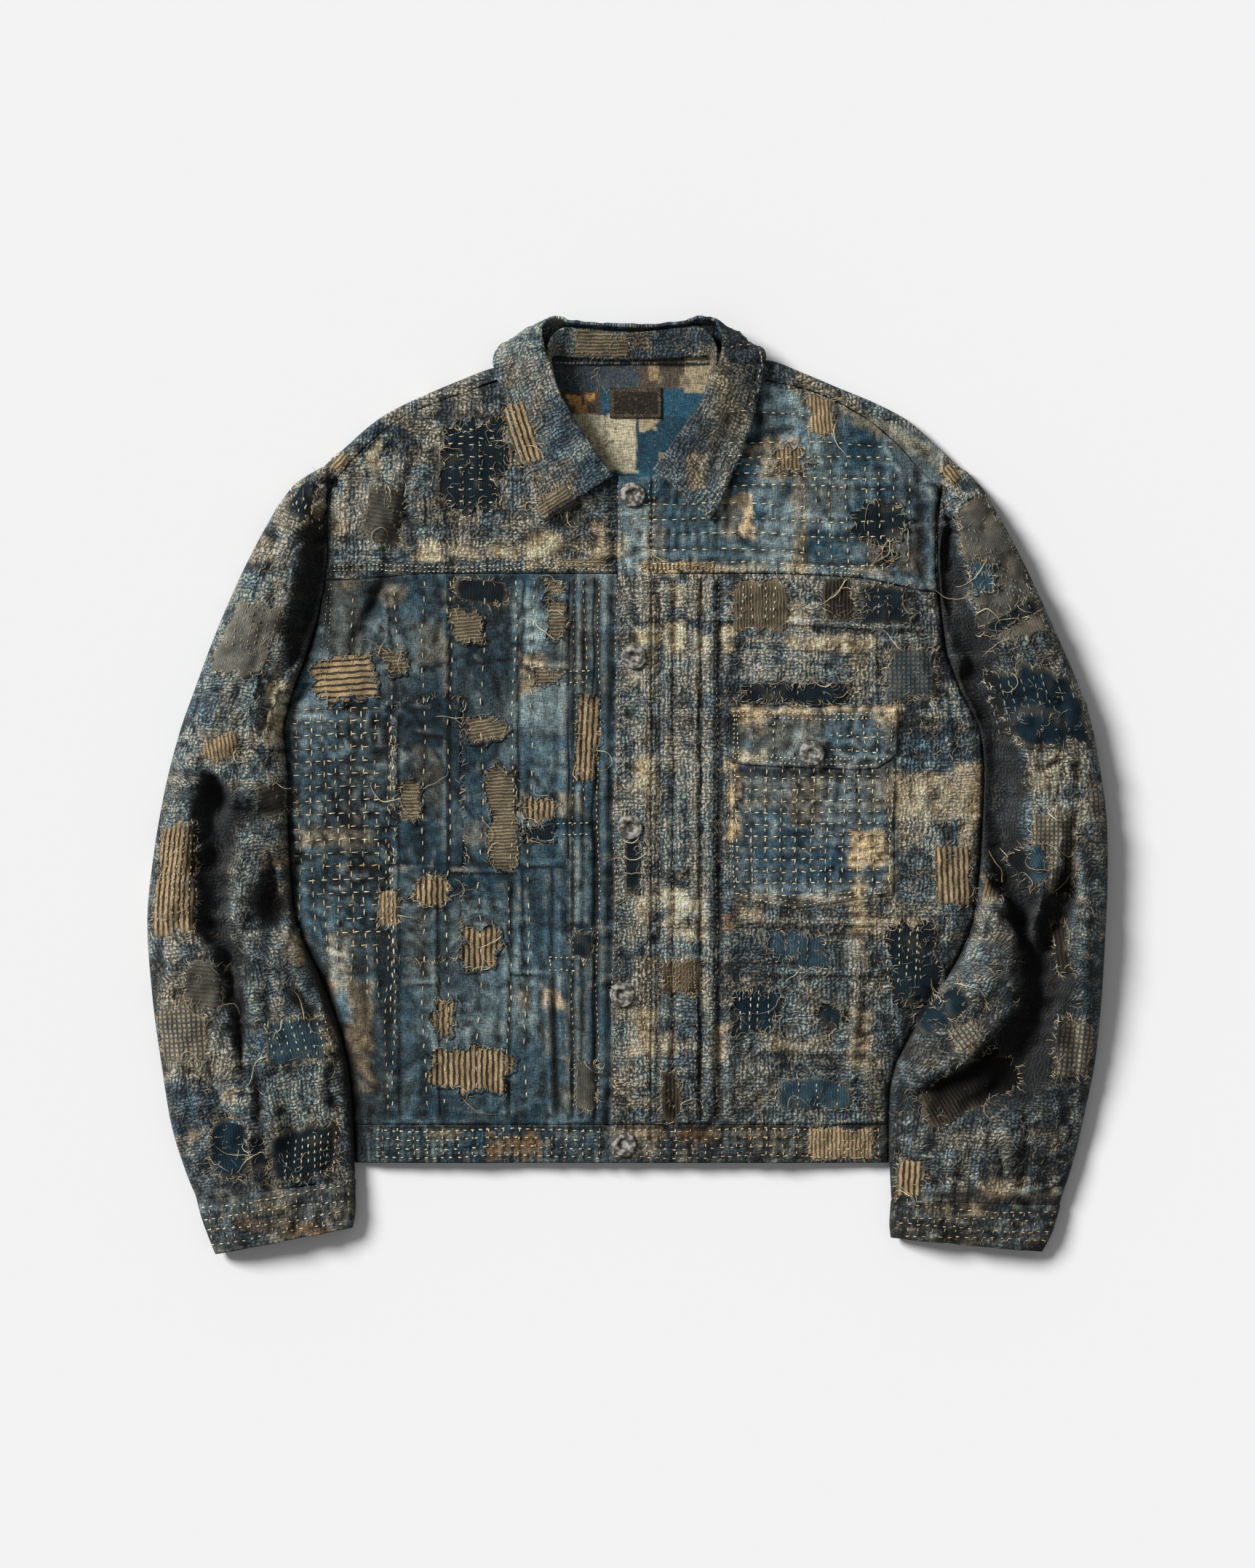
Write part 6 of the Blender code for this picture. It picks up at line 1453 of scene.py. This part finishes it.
def layPatch(x, y, wide, tall, look, turn, rounded, hole, seed, name=None, place=None, group=""):
    ragged = patchSizes["ragged"] * (1.25 if hole else 0.7)
    u, v, px, py, wx, wy = patchPoints(x, y, wide, tall, turn, rounded, seed, ragged)
    if place:
        wx, wy = place(2 * px / wide, 2 * py / tall)
        x, y = float(wx.mean()), float(wy.mean())
    base = sample(smoothGround, wx, wy)
    rim = np.maximum(np.abs(u), np.abs(v))
    own = 0.35 * sample(edgeNoise, wx * 0.9 + seed * 7 % 90, wy)
    lift = (patchSizes["lift"] + own) * (1 if not hole else 0.9)
    if not hole:
        lift = lift - 0.35 * smoothStep((rim - 0.8) / 0.2)
    points = stack(wx, wy, np.maximum(base, sample(ground, wx, wy)) + lift)
    own = stack(px, py, 0 * px)
    # the patch takes the painted shade of the place it lies on, with uneven tone; in a hole a painted shadow
    # of the rim lies along the edge, darkest on the side toward the light
    shade = sample(hollow, wx, wy) * (1 + 0.4 * sample(edgeNoise, wx, wy))
    if hole:
        inset = 1 - np.minimum(wide, tall) * (1 - rim) / 2 / 3.4
        shade *= 1 - (0.35 + 0.35 * smoothStep(0.5 - 0.8 * u + 0.6 * v)) * smoothStep(inset)
    nap = (smoothStep((rim - 0.82) / 0.18) * (0.1 if hole else 0.7)
           + 0.25 * smoothStep(sample(cloud(10, 60), wx, wy) * 2 - 0.5))
    tint, cloth = (stack(shade, shade, shade), patchCloths[look]) if look != "own" else (
        sample(dyeAndShading, wx, wy) * 0.8, bodyCloths["indigo_cloth"])
    part = sheetPiece(name or "patch", points, patchSizes["thick"], cloth, dyedAndShaded=tint,
                      nap=nap if look != "own" else 0.15 * nap, place=own, lies=False)
    ex, ey = edgeOf(wx, wy)
    outX, outY = ex - x, ey - y
    length = np.maximum(np.hypot(outX, outY), 0.1)
    away = -1 if hole else 1
    frayed.append((ex, ey, outX / length * away, outY / length * away))
    # the ground rises where the patch lies
    area = window(wx.min() - 1, wx.max() + 1, wy.min() - 1, wy.max() + 1)
    covered = np.zeros_like(ground, bool)
    fine = [refine(refine(value, 3 * len(value)).T, 3 * value.shape[1]).T for value in (wx, wy)]
    covered[np.rint(fine[1] - plan["low"]).astype(int), np.rint(fine[0] - plan["left"]).astype(int)] = True
    ground[area] += covered[area] * (patchSizes["lift"] + 0.1)
    if hole:
        rims.append((ex, ey, outX / length, outY / length, seed))
    if name:
        return part, cutOf(points)
    smallParts.setdefault(group, []).append(part)
    return part


smoothGround = blur(ground, 1)
# CAD-named patches: place, size, cloth, turn, roundness, hole
namedPatches = {
    "patch_yoke_right_indigo": (-122, 251, 48, 74, "navy", 0, 0.15, True),
    "patch_front_right_grid": (-157, -36, 54, 204, "own", 0, 0.1, False),
    "patch_front_right_cord": (-99, -27, 24, 82, "cord", 2, 0.25, True),
    "patch_front_right_stripe": (-123.5, -225, 61, 38, "hickory", 0, 0.5, True),
    "patch_front_left_navy": (133, 71, 86, 16, "navy", 0, 0.1, True),
    "patch_front_left_check": (223.5, 86, 39, 40, "greyCheck", 0, 0.1, False),
    "patch_front_left_window": (101, -179, 40, 38, "indigo", 0, 0.3, True),
    "patch_front_left_indigo": (226, -142, 40, 66, "navy", 2, 0.2, True),
    "patch_yoke_left_cord": (152.5, 291, 21, 30, "cordUp", 4, 0.2, False),
    "patch_yoke_left_inlay": (199, 206, 46, 32, "navy", -6, 0.75, True)}
# The panel that each patch lies on, by the start of its name.
panelOf = {"patch_yoke_right": "front_yoke_right", "patch_front_right": "front_right",
           "patch_front_left": "front_left", "patch_yoke_left": "front_yoke_left",
           "patch_sleeve_right": "sleeve_upper_right", "patch_sleeve_left": "sleeve_upper_left"}


def finishPatch(name, laid):
    piece, (flat, area) = laid
    finishPiece(piece, [name], flat, area, [panelOf[name.rsplit("_", 1)[0]]])


for k, (name, (x, y, wide, tall, look, turn, rounded, hole)) in enumerate(namedPatches.items()):
    finishPatch(name, layPatch(x, y, wide, tall, look, turn, rounded, hole, 100 + k, name))
# On the sleeves a patch follows the sleeve: from and to along it, and across it.
sleevePatches = {
    "patch_sleeve_right_indigo": (0.06, 0.17, 0.14, 0.62, "navy", 0.2),
    "patch_sleeve_right_grey": (0.30, 0.375, 0.10, 0.64, "paleTwill", 0.15),
    "patch_sleeve_right_stripe": (0.57, 0.68, 0.05, 0.33, "hickory", 0.1),
    "patch_sleeve_right_lower": (0.90, 0.985, 0.50, 0.90, "navy", 0.3),
    "patch_sleeve_left_grey": (0.13, 0.30, 0.06, 0.68, "greyTwill", 0.15),
    "patch_sleeve_left_indigo": (0.33, 0.44, 0.04, 0.76, "indigo", 0.15),
    "patch_sleeve_left_check": (0.53, 0.62, 0.26, 0.62, "check", 0.15)}


def onSleeveAt(name, start, end, outer, inner):
    side, shape = ("right", sleeveRight) if "right" in name else ("left", sleeveLeft)
    line = sleeveLine(shape, 101, side)

    def place(u, v):
        rows = 100 * (start + (1 - v) / 2 * (end - start))
        across = outer + (u + 1) / 2 * (inner - outer)
        ox, oy, ix, iy = (np.interp(rows, np.arange(101), value[:, 0]) for value in line[:4])
        return ox + (ix - ox) * across, oy + (iy - oy) * across
    corners = [place(np.array(u), np.array(v)) for u, v in ((-1, 0), (1, 0), (0, -1), (0, 1))]
    return place, math.dist(corners[0], corners[1]) * 1.1, math.dist(corners[2], corners[3])


for k, (name, (start, end, outer, inner, look, rounded)) in enumerate(sleevePatches.items()):
    place, wide, tall = onSleeveAt(name, start, end, outer, inner)
    finishPatch(name, layPatch(0, 0, wide, tall, look, 0, rounded, False, 130 + k, name, place))

smallPatches = {
    "front_right": (
        (-223, 83, 52, 36, "tanStripe", 4, 0.55, True), (-183, 96, 19, 19, "cord", 0, 0.4, True),
        (-127, 124, 24, 29, "cord", 6, 0.4, True), (-56, 130, 16, 30, "cord", 0, 0.25, True),
        (-59, 154, 16, 13, "cord", 0, 0.3, True), (-64, 85, 20, 13, "cord", 0, 0.2, True),
        (-112, 43, 31, 22, "cord", 10, 0.6, True), (-171, -13, 17, 34, "cord", 0, 0.4, True),
        (-70, -20, 26, 20, "hickory", 0, 0.2, True), (-70, -39, 26, 13, "navy", 0, 0.3, True),
        (-154, -84, 27, 29, "hickory", 0, 0.8, True), (-116, -129, 33, 32, "hickory", 0, 0.35, True),
        (-145, -184, 18, 28, "hickory", 0, 0.3, True), (-188, -98, 16, 28, "cordUp", 0, 0.3, False),
        (-115, 152, 42, 20, "nearBlack", -4, 0.5, False), (-36, -127, 18, 20, "navy", 0, 0.2, False),
        (-33, -238, 16, 38, "greyTwill", 0, 0.2, False), (-32, 37, 17, 72, "hickory", -3, 0.35, True)),
    "front_yoke_right": ((-192, 212, 30, 44, "greyRib", -12, 0.2, False),
                         (-36, 174, 40, 7, "cord", 0, 0.1, False)),
    "front_yoke_left": (
        (127, 256, 24, 20, "cordUp", 3, 0.6, True), (205, 180, 11, 14, "navy", 0, 0.5, True),
        (144, 253, 6, 6, "nearBlack", 0, 0.9, True), (40, 171, 58, 8, "cordUp", 0, 0.1, False)),
    "front_left": (
        (105, 140, 45, 38, "brownTwill", 0, 0.25, False), (166, 146, 22, 34, "brownRib", 0, 0.2, False),
        (203, 141, 40, 30, "navy", 0, 0.1, False), (134, -129, 48, 28, "blue", 0, 0.6, True),
        (160, -183, 22, 22, "navy", 0, 0.4, True), (43, -152, 31, 24, "brownTwill", 0, 0.15, False),
        (34, -247, 15, 40, "brownRib", 0, 0.15, False), (4, -66, 13, 44, "navy", 0, 0.2, False),
        (257, -72, 30, 46, "hickory", 2, 0.3, False), (147, -245, 60, 24, "blue", 0, 0.4, False)),
    "waistband_left": ((168, -284, 50, 24, "cordUp", 0, 0.1, False),),
    "sleeve_upper_right": (
        (-319, 29, 26, 20, "cordUp", 8, 0.3, False), (-350, -196, 38, 44, "check", 4, 0.2, False),
        (-333, -158, 30, 36, "greyRib", -6, 0.2, False), (-313, -287, 32, 46, "indigo", 6, 0.5, False),
        (-262, -203, 46, 34, "blue", 8, 0.3, False), (-277, -12, 30, 26, "greyRib", 20, 0.3, False),
        (-291, -296, 14, 40, "navy", 8, 0.4, False)),
    "sleeve_upper_left": (
        (278, 164, 20, 30, "blue", 20, 0.5, True), (302, 131, 46, 12, "navy", 30, 0.2, False),
        (317, -64, 26, 30, "blue", 28, 0.2, False), (351, -208, 28, 44, "check", -6, 0.2, False),
        (367, -14, 12, 34, "check", 4, 0.2, False), (268, -240, 80, 34, "brownRib", 30, 0.2, False),
        (222, -311, 20, 28, "hickory", -3, 0.2, False), (266, -198, 22, 18, "check", 36, 0.2, False),
        (248, -178, 46, 22, "indigo", 36, 0.3, False), (287, -82, 16, 15, "cordUp", -16, 0.2, False),
        (342, -130, 10, 40, "cordUp", 6, 0.3, False)),
    "collar_fall": (
        (-83, 276, 19, 48, "hickory", 18, 0.1, False), (-57, 221, 30, 17, "cord", 32, 0.15, False)),
    "collar_stand": ((-20, 348, 42, 22, "cord", 0, 0.1, False),),
    "back_yoke": (
        (-228, 254, 12, 15, "cordUp", -40, 0.2, False), (256, 245, 12, 15, "cordUp", 40, 0.2, False))}
count = 200
for group, rowsOfPatches in smallPatches.items():
    for x, y, wide, tall, look, turn, rounded, hole in rowsOfPatches:
        layPatch(x, y, wide, tall, look, turn, rounded, hole, count, group=group)
        count += 1


def joinParts(name, parts):
    # One object from several, keeping each part's material.
    shape, mesh = bmesh.new(), bpy.data.meshes.new(name)
    for part in parts:
        look = part.data.materials[0]
        if look.name not in mesh.materials:
            mesh.materials.append(look)
        at = mesh.materials.find(look.name)
        before = len(shape.faces)
        shape.from_mesh(part.data)
        shape.faces.ensure_lookup_table()
        for face in shape.faces[before:]:
            face.material_index = at
    shape.to_mesh(mesh)
    shape.free()
    for part in parts:
        old = part.data
        bpy.data.objects.remove(part)
        bpy.data.meshes.remove(old)
    return addObject(name, mesh)


def rideWith(piece, carriers):
    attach(piece, "root")
    for carrier in carriers:
        made[carrier]["with"].append(piece)


for group, parts in smallParts.items():
    piece = joinParts("small_patches_" + group, parts)
    giveWall(piece, patchSizes["thick"])
    rideWith(piece, [group])

# Rolled rims round the holes, in the cloth that surrounds each: where each line of the roll runs outwards
# from the edge, how high it stands and how light it is, with painted shade where it turns down into the
# hole.
rimSizes = {"wall": 0.6, "out": (2.4, 1.1, 0.0, -1.0), "rise": (0.1, 0.8, 1.1, 0.3),
            "light": (0.8, 1.05, 1.1, 0.45)}
rimParts = []
for ex, ey, nx, ny, seed in rims:
    draw = np.random.default_rng(seed + 900)
    out, rise, light = (np.array(rimSizes[key])[None, :] for key in ("out", "rise", "light"))
    swell = np.interp(np.linspace(0, 1, len(ex) + 1), np.linspace(0, 1, 13),
                      np.append(draw.uniform(0.6, 1.35, 12), 1))[:, None]
    jag = draw.normal(0, 0.75, len(ex))[:, None]
    swell[-1] = swell[0]
    ex, ey, nx, ny, jag = (np.concatenate([value, value[:1]]) for value in (ex, ey, nx, ny, jag))
    px = ex[:, None] + nx[:, None] * (out * swell + jag)
    py = ey[:, None] + ny[:, None] * (out * swell + jag)
    pz = sample(ground, px, py) * 0.5 + sample(smoothGround, px, py) * 0.5 + rise * swell
    rimDyeAndShading = sample(dyeAndShading, ex + nx * 3, ey + ny * 3)[:, None, :] * light[..., None]
    rimNap = np.broadcast_to(sample(nub, ex, ey)[:, None] * 0.3 + 0.6, px.shape)
    rimParts.append(sheetPiece("rim", stack(px, py, pz), rimSizes["wall"], bodyCloths["plaid_cloth"],
                               dyedAndShaded=rimDyeAndShading, nap=rimNap, lies=False))
piece = joinParts("torn_rims", rimParts)
giveWall(piece, rimSizes["wall"])
rideWith(piece, ["front_right", "front_left"])
smoothGround = blur(ground, 1)

print("stitches")
stitchSizes = {"radius": 0.5, "proud": 0.5, "lost": 0.06, "wander": 0.22, "lean": 0.09}


def templateOf(kind):
    # A small closed shape as arrays of points and faces.
    shape = bmesh.new()
    if kind == "stitch":
        bmesh.ops.create_uvsphere(shape, u_segments=4, v_segments=4, radius=1)
    else:
        bmesh.ops.create_grid(shape, x_segments=3, y_segments=kind, size=1)
    bmesh.ops.triangulate(shape, faces=shape.faces)
    mesh = meshOf(shape, "template")
    points = np.array([v.co[:] for v in mesh.vertices])
    faces = np.array([tuple(p.vertices) for p in mesh.polygons])
    bpy.data.meshes.remove(mesh)
    return points, faces


def repeatMesh(name, points, faces, choice):
    # points: (copies, n, 3); every copy has the same faces, and choice gives its thread.
    copies, each = points.shape[:2]
    allFaces = (faces[None] + (np.arange(copies) * each)[:, None, None]).reshape(-1, 3)
    mesh = bpy.data.meshes.new(name)
    mesh.vertices.add(copies * each)
    mesh.vertices.foreach_set("co", (points.reshape(-1) * mm).astype(np.float32))
    mesh.loops.add(len(allFaces) * 3)
    mesh.loops.foreach_set("vertex_index", allFaces.astype(np.int32).ravel())
    mesh.polygons.add(len(allFaces))
    mesh.polygons.foreach_set("loop_start", np.arange(0, len(allFaces) * 3, 3, dtype=np.int32))
    for look in threadCloths.values():
        mesh.materials.append(look)
    mesh.update(calc_edges=True)
    mesh.polygons.foreach_set("material_index", np.repeat(choice, len(faces)).astype(np.int32))
    mesh.validate()
    mesh.shade_smooth()
    return addObject(name, mesh)


frontStitches, sleeveStitches = list(stitchLines), []
draw = np.random.default_rng(70)
for k in range(8):
    # sleeve patches and quilting rows that run down each sleeve
    sleeveStitches += [
        (-316 + k * 6.2, 146 - k * 1.5, -322 + k * 5.6, 104 - k * 1.0, 2.8, 2.6, "sand"),
        (258 + k * 6.6, 216 - k * 8, 276 + k * 6.6, 158 - k * 4, 3.2, 4.0, "blueGrey"),
        (282 + k * 8.4, 84 + k * 2, 294 + k * 8.4, 32 + k * 4.5, 4.0, 3.0, "blueGrey"),
        (-268 + k * 5.6, -281 + k, -270 + k * 5.6, -318 + k, 2.8, 2.8, "ecru"),
        (-284 + k * 6.4, -188 + k, -276 + k * 6.4, -218, 2.6, 3.2, "ecru"),
        (-371 + k * 4.4, -40, -371 + k * 4.4, -112, 2.4, 3.6, "tan"),
        (-268 + k * 4, 240 - k * 5, -262 + k * 3, 214 - k * 3, 2.6, 4.0, "ecru")]
for k in range(4):
    sleeveStitches += [
        (-336 + k * 2.5, -334 - k * 9.5, -218, -317 - k * 9.6, 3.0, 3.4, "ecru"),
        (339 - k * 3.0, -338 - k * 7.6, 210, -333 - k * 7.2, 3.0, 3.8, "tan")]
for k in range(12):
    sleeveStitches += [(-330 + k * 10, -336 + k * 1.3, -326 + k * 9.6, -366 + k * 1.6, 2.6, 4.2, "tan"),
                       (220 + k * 10.4, -336 - k * 0.3, 220 + k * 9.6, -360 - k * 0.8, 2.6, 4.2, "sand")]
for k in range(26):
    # faint rows over the nubby cloth
    x, y = draw.uniform(90, 240), draw.uniform(-255, 130)
    frontStitches.append((x, y, x + draw.normal(0, 2), y - draw.uniform(30, 70), 2.4, 3.6, "sand"))
for k in range(14):
    x, y = draw.uniform(-215, -70), draw.uniform(185, 285)
    frontStitches.append((x, y, x + draw.normal(0, 2), y - draw.uniform(16, 40), 2.2, 3.6, "sand"))
edgeRow = fold * (1 - 0.9) + edge * 0.9
for a, b in zip(range(0, collarSizes["along"] - 3, 3), range(3, collarSizes["along"], 3)):
    if edgeRow[a, 1] < 350 and abs(edgeRow[a, 0]) > 30:
        frontStitches.append((edgeRow[a, 0], edgeRow[a, 1], edgeRow[b, 0], edgeRow[b, 1], 2.4, 1.6, "tan"))


def layStitches(name, lines, carriers):
    starts, ends, shades = [], [], []
    for x0, y0, x1, y1, stitch, gap, shade in lines:
        length = math.hypot(x1 - x0, y1 - y0)
        number = int(max(length, stitch) / (stitch + gap)) + (1 if length < stitch + gap else 0)
        for k in range(number):
            size = stitch * draw.uniform(0.8, 1.2)
            at = (k + draw.uniform(-0.08, 0.08)) * (stitch + gap)
            bow = 1.3 * math.sin(at * 0.045 + x0) + draw.normal(0, stitchSizes["wander"])
            dx, dy = (x1 - x0) / length, (y1 - y0) / length
            px, py = x0 + dx * at - dy * bow, y0 + dy * at + dx * bow
            tilt = draw.normal(0, stitchSizes["lean"])
            starts.append((px, py))
            ends.append((px + (dx - dy * tilt) * size, py + (dy + dx * tilt) * size))
            shades.append(shade)
    starts, ends = np.array(starts), np.array(ends)
    # some stitches are gone, and none hangs out over the surface
    keep = np.array([draw.random() > stitchSizes["lost"] for _ in shades])
    keep &= (sample(ground, *starts.T) > 3) & (sample(ground, *ends.T) > 3)
    starts, ends, shades = starts[keep], ends[keep], [s for s, k in zip(shades, keep) if k]
    points, faces = templateOf("stitch")
    along, side, tall = np.sign(points[:, 2]) * np.abs(points[:, 2]) ** 0.6, points[:, 0], points[:, 1]
    mx, my = ((starts + ends) / 2).T[:, :, None]
    rx, ry = ((ends - starts) / 2).T[:, :, None]
    length = np.maximum(np.hypot(rx, ry), 0.1)
    thick = stitchSizes["radius"] * draw.uniform(0.85, 1.2, len(starts))[:, None]
    px, py = mx + rx * along - ry / length * side * thick, my + ry * along + rx / length * side * thick
    low = np.maximum(sample(ground, px, py), sample(ground, mx, my) - 0.6)
    pz = low + stitchSizes["proud"] - 0.6 * along ** 4 + tall * thick * 0.85
    choice = np.array([thread[s] for s in shades])
    piece = repeatMesh(name, np.stack([px, py, pz], axis=-1), faces, choice)
    rideWith(piece, carriers)
    print(name, len(starts), "stitches")


layStitches("stitches_front", frontStitches, ["front_right", "front_left"])
layStitches("stitches_sleeves", sleeveStitches, ["sleeve_upper_right", "sleeve_upper_left"])

print("frayed threads")
fraySizes = {"radius": 0.33, "perMm": 0.52, "longest": 8.0, "nap": 3000, "curls": 120}


def layThreads(name, roots, directions, lengths, curls, radii, looksOf, ringCount, carriers, arch):
    # Tapered threads that leave their root, bend, and rest on whatever is under them.
    number = len(roots)
    along = np.linspace(0, 1, ringCount + 1)
    heading = directions[:, None] + curls[:, None] * along[None, :]
    heading = heading + draw.normal(0, 0.22, (number, len(along))).cumsum(1)
    steps = [part(heading[:, :-1]) * lengths[:, None] / ringCount for part in (np.cos, np.sin)]
    cx, cy = (np.cumsum(np.hstack([roots[:, k, None], steps[k]]), 1) for k in (0, 1))
    floor = sample(ground, cx, cy)
    first = sample(ground, roots[:, 0], roots[:, 1])[:, None]
    rest = np.maximum(floor, first - 3.0 - 4 * along[None, :])
    # a thread that would hang out over the surface is cut off
    keep = (floor > 1.5).mean(axis=1) > (0.99 if ringCount > 10 else 0.7)
    cx, cy, rest, heading, arch, radii, looksOf = (
        values[keep] for values in (cx, cy, rest, heading, arch, radii, looksOf))
    cz = rest + 0.25 + arch[:, None] * np.sin(np.pi * (0.15 + 0.8 * along))[None, :]
    points, faces = templateOf(ringCount)
    turn = (points[:, 0] + 1) * math.pi
    ring = np.rint((points[:, 1] + 1) / 2 * ringCount).astype(int)
    taper = (1 - 0.75 * along ** 1.5)[ring] * radii[:, None]
    nx, ny = -np.sin(heading[:, ring]), np.cos(heading[:, ring])
    px = cx[:, ring] + nx * np.cos(turn) * taper
    py = cy[:, ring] + ny * np.cos(turn) * taper
    pz = cz[:, ring] + np.sin(turn) * taper
    piece = repeatMesh(name, np.stack([px, py, pz], axis=-1), faces, looksOf)
    rideWith(piece, carriers)
    print(name, number, "threads")


roots, directions, lengths, chosen = [], [], [], []
for ex, ey, nx, ny in frayed:
    perimeter = np.hypot(np.diff(ex), np.diff(ey)).sum()
    for _ in range(int(perimeter * fraySizes["perMm"])):
        k = draw.integers(len(ex))
        roots.append((ex[k] + draw.normal(0, 0.8), ey[k] + draw.normal(0, 0.8)))
        directions.append(math.atan2(ny[k], nx[k]) + draw.normal(0, 0.7))
        lengths.append(draw.uniform(1.6, fraySizes["longest"]) * (1.5 if draw.random() < 0.06 else 0.8))
        pick = draw.random()
        chosen.append(np.searchsorted((0.35, 0.7, 0.9), pick, side="right"))
roots, directions, lengths = np.array(roots), np.array(directions), np.array(lengths)
chosen = np.array([thread[name] for name in ("blueGrey", "sand", "tan", "ecru")])[chosen]
layThreads("frayed_edges", roots, directions, lengths, draw.normal(0, 1.3, len(roots)),
           fraySizes["radius"] * draw.uniform(0.7, 1.3, len(roots)), chosen, 3,
           ["front_right", "front_left"], draw.uniform(0.1, 1.3, len(roots)))
wellInside = blur((ground > 3).astype(float), 4) > 0.995
where = np.argwhere((nub > 0.5) & (ground > 4) & (hollow > 0.6) & wellInside)
where = where[draw.integers(len(where), size=fraySizes["nap"])]
roots = where[:, ::-1] + np.array([plan["left"], plan["low"]]) + draw.uniform(-0.5, 0.5, (len(where), 2))
pick = draw.random(len(roots))
chosen = np.select([pick < 0.5, pick < 0.85], [thread["blueGrey"], thread["sand"]], thread["tan"])
layThreads("raised_nap", roots, draw.uniform(0, 6.3, len(roots)), draw.uniform(3, 9, len(roots)),
           np.clip(draw.normal(0, 2.0, len(roots)), -3.0, 3.0), draw.uniform(0.18, 0.34, len(roots)),
           chosen, 4, ["front_left", "front_yoke_right"], draw.uniform(0.1, 0.8, len(roots)))
number = fraySizes["curls"]
pickEdge = [frayed[k] for k in draw.integers(len(frayed), size=number)]
roots = np.array([(ex[k % len(ex)], ey[k % len(ex)]) for k, (ex, ey, _, _) in enumerate(pickEdge)])
layThreads("loose_curls", roots, draw.uniform(0, 6.3, number), draw.uniform(12, 34, number),
           np.clip(draw.normal(0, 2.4, number), -2.8, 2.8), draw.uniform(0.3, 0.5, number),
           draw.choice([thread["sand"], thread["tan"], thread["ecru"]], number), 14,
           ["front_right", "front_left"], draw.uniform(0.6, 2.2, number))

print("buttons")
buttonSizes = {"radius": 10.0, "spots": ((4, 228), (5, 100), (2, -34), (-4, -166), (-3, -284)),
               "flap": (145, 24), "knurls": 24}
# Share of the radius, and height
buttonProfile = ((0.0, 0.9), (0.14, 0.9), (0.24, 1.2), (0.31, 1.0), (0.37, 2.2), (0.45, 3.1), (0.58, 3.7),
                 (0.72, 3.55), (0.84, 3.0), (0.90, 3.15), (0.965, 2.6), (1.0, 1.5), (0.94, 0.2), (0.6, 0.0),
                 (0.0, 0.0))
metal = buttonFinish()


def makeButton(name, x, y):
    spots = [(x + 8 * math.cos(a), y + 8 * math.sin(a)) for a in np.linspace(0, 2 * math.pi, 9)]
    base = float(np.mean([sample(ground, px, py) for px, py in spots])) + 0.1
    shape = bmesh.new()
    ring = [shape.verts.new((r * buttonSizes["radius"], 0, z)) for r, z in buttonProfile]
    edges = [shape.edges.new(pair) for pair in zip(ring[:-1], ring[1:])]
    bmesh.ops.spin(shape, geom=ring + edges, axis=(0, 0, 1), cent=(0, 0, 0), angle=2 * math.pi, steps=48,
                   use_merge=True)
    bmesh.ops.remove_doubles(shape, verts=shape.verts, dist=0.001)
    bmesh.ops.recalc_face_normals(shape, faces=shape.faces)
    for v in shape.verts:
        # knurled band round the rim
        r = math.hypot(v.co.x, v.co.y)
        if 8.6 < r < 9.9 and v.co.z > 2:
            step = round(math.atan2(v.co.y, v.co.x) * buttonSizes["knurls"] / math.pi)
            v.co.z += 0.08 if step % 2 else -0.08
    bmesh.ops.scale(shape, vec=(mm, mm, mm), verts=shape.verts)
    bmesh.ops.translate(shape, vec=(x * mm, y * mm, base * mm), verts=shape.verts)
    mesh = meshOf(shape, name + "_metal")
    mesh.shade_smooth()
    mesh.materials.append(metal)
    piece = addObject(name + "_metal", mesh)
    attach(piece, "root")
    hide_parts(name)


for k, (x, y) in enumerate(buttonSizes["spots"]):
    makeButton("button_%d" % (k + 1), x, y)
makeButton("button_pocket", *buttonSizes["flap"])

print("sheets")

# Surface, light and camera
stageSizes = {"floor": 6.0, "camera": 6.0, "frame": 1.2397, "sun": 4.15, "sky": 0.22, "sunSoft": 22.0,
              "sunFrom": (-0.68, 0.42, 0.60)}
shape = bmesh.new()
bmesh.ops.create_grid(shape, x_segments=1, y_segments=1, size=stageSizes["floor"])
bmesh.ops.translate(shape, vec=(0, 0, -0.0004), verts=shape.verts)
floor = addObject("floor", meshOf(shape, "floor"))
pale = bpy.data.materials.new("pale_floor")
pale.use_nodes = True
for key, value in (("Base Color", (0.88, 0.88, 0.88, 1)), ("Roughness", 0.95), ("Specular IOR Level", 0.0)):
    pale.node_tree.nodes["Principled BSDF"].inputs[key].default_value = value
floor.data.materials.append(pale)

sun = bpy.data.lights.new("sun", "SUN")
sun.energy = stageSizes["sun"]
sun.angle = math.radians(stageSizes["sunSoft"])
sunLight = addObject("sun", sun)
sunLight.rotation_euler = Vector(stageSizes["sunFrom"]).to_track_quat("Z", "Y").to_euler()
world = bpy.data.worlds.new("sky")
world.use_nodes = True
world.node_tree.nodes["Background"].inputs[0].default_value = (1, 1, 1, 1)
world.node_tree.nodes["Background"].inputs[1].default_value = stageSizes["sky"]
bpy.context.scene.world = world
bpy.context.scene.view_settings.view_transform = "Standard"

camera = bpy.data.cameras.new("camera")
camera.sensor_fit = "VERTICAL"
camera.sensor_height = 36.0
camera.lens = 36.0 * stageSizes["camera"] / stageSizes["frame"]
camera.clip_end = 50
view = addObject("camera", camera)
view.location = (0, 0, stageSizes["camera"])
bpy.context.scene.camera = view
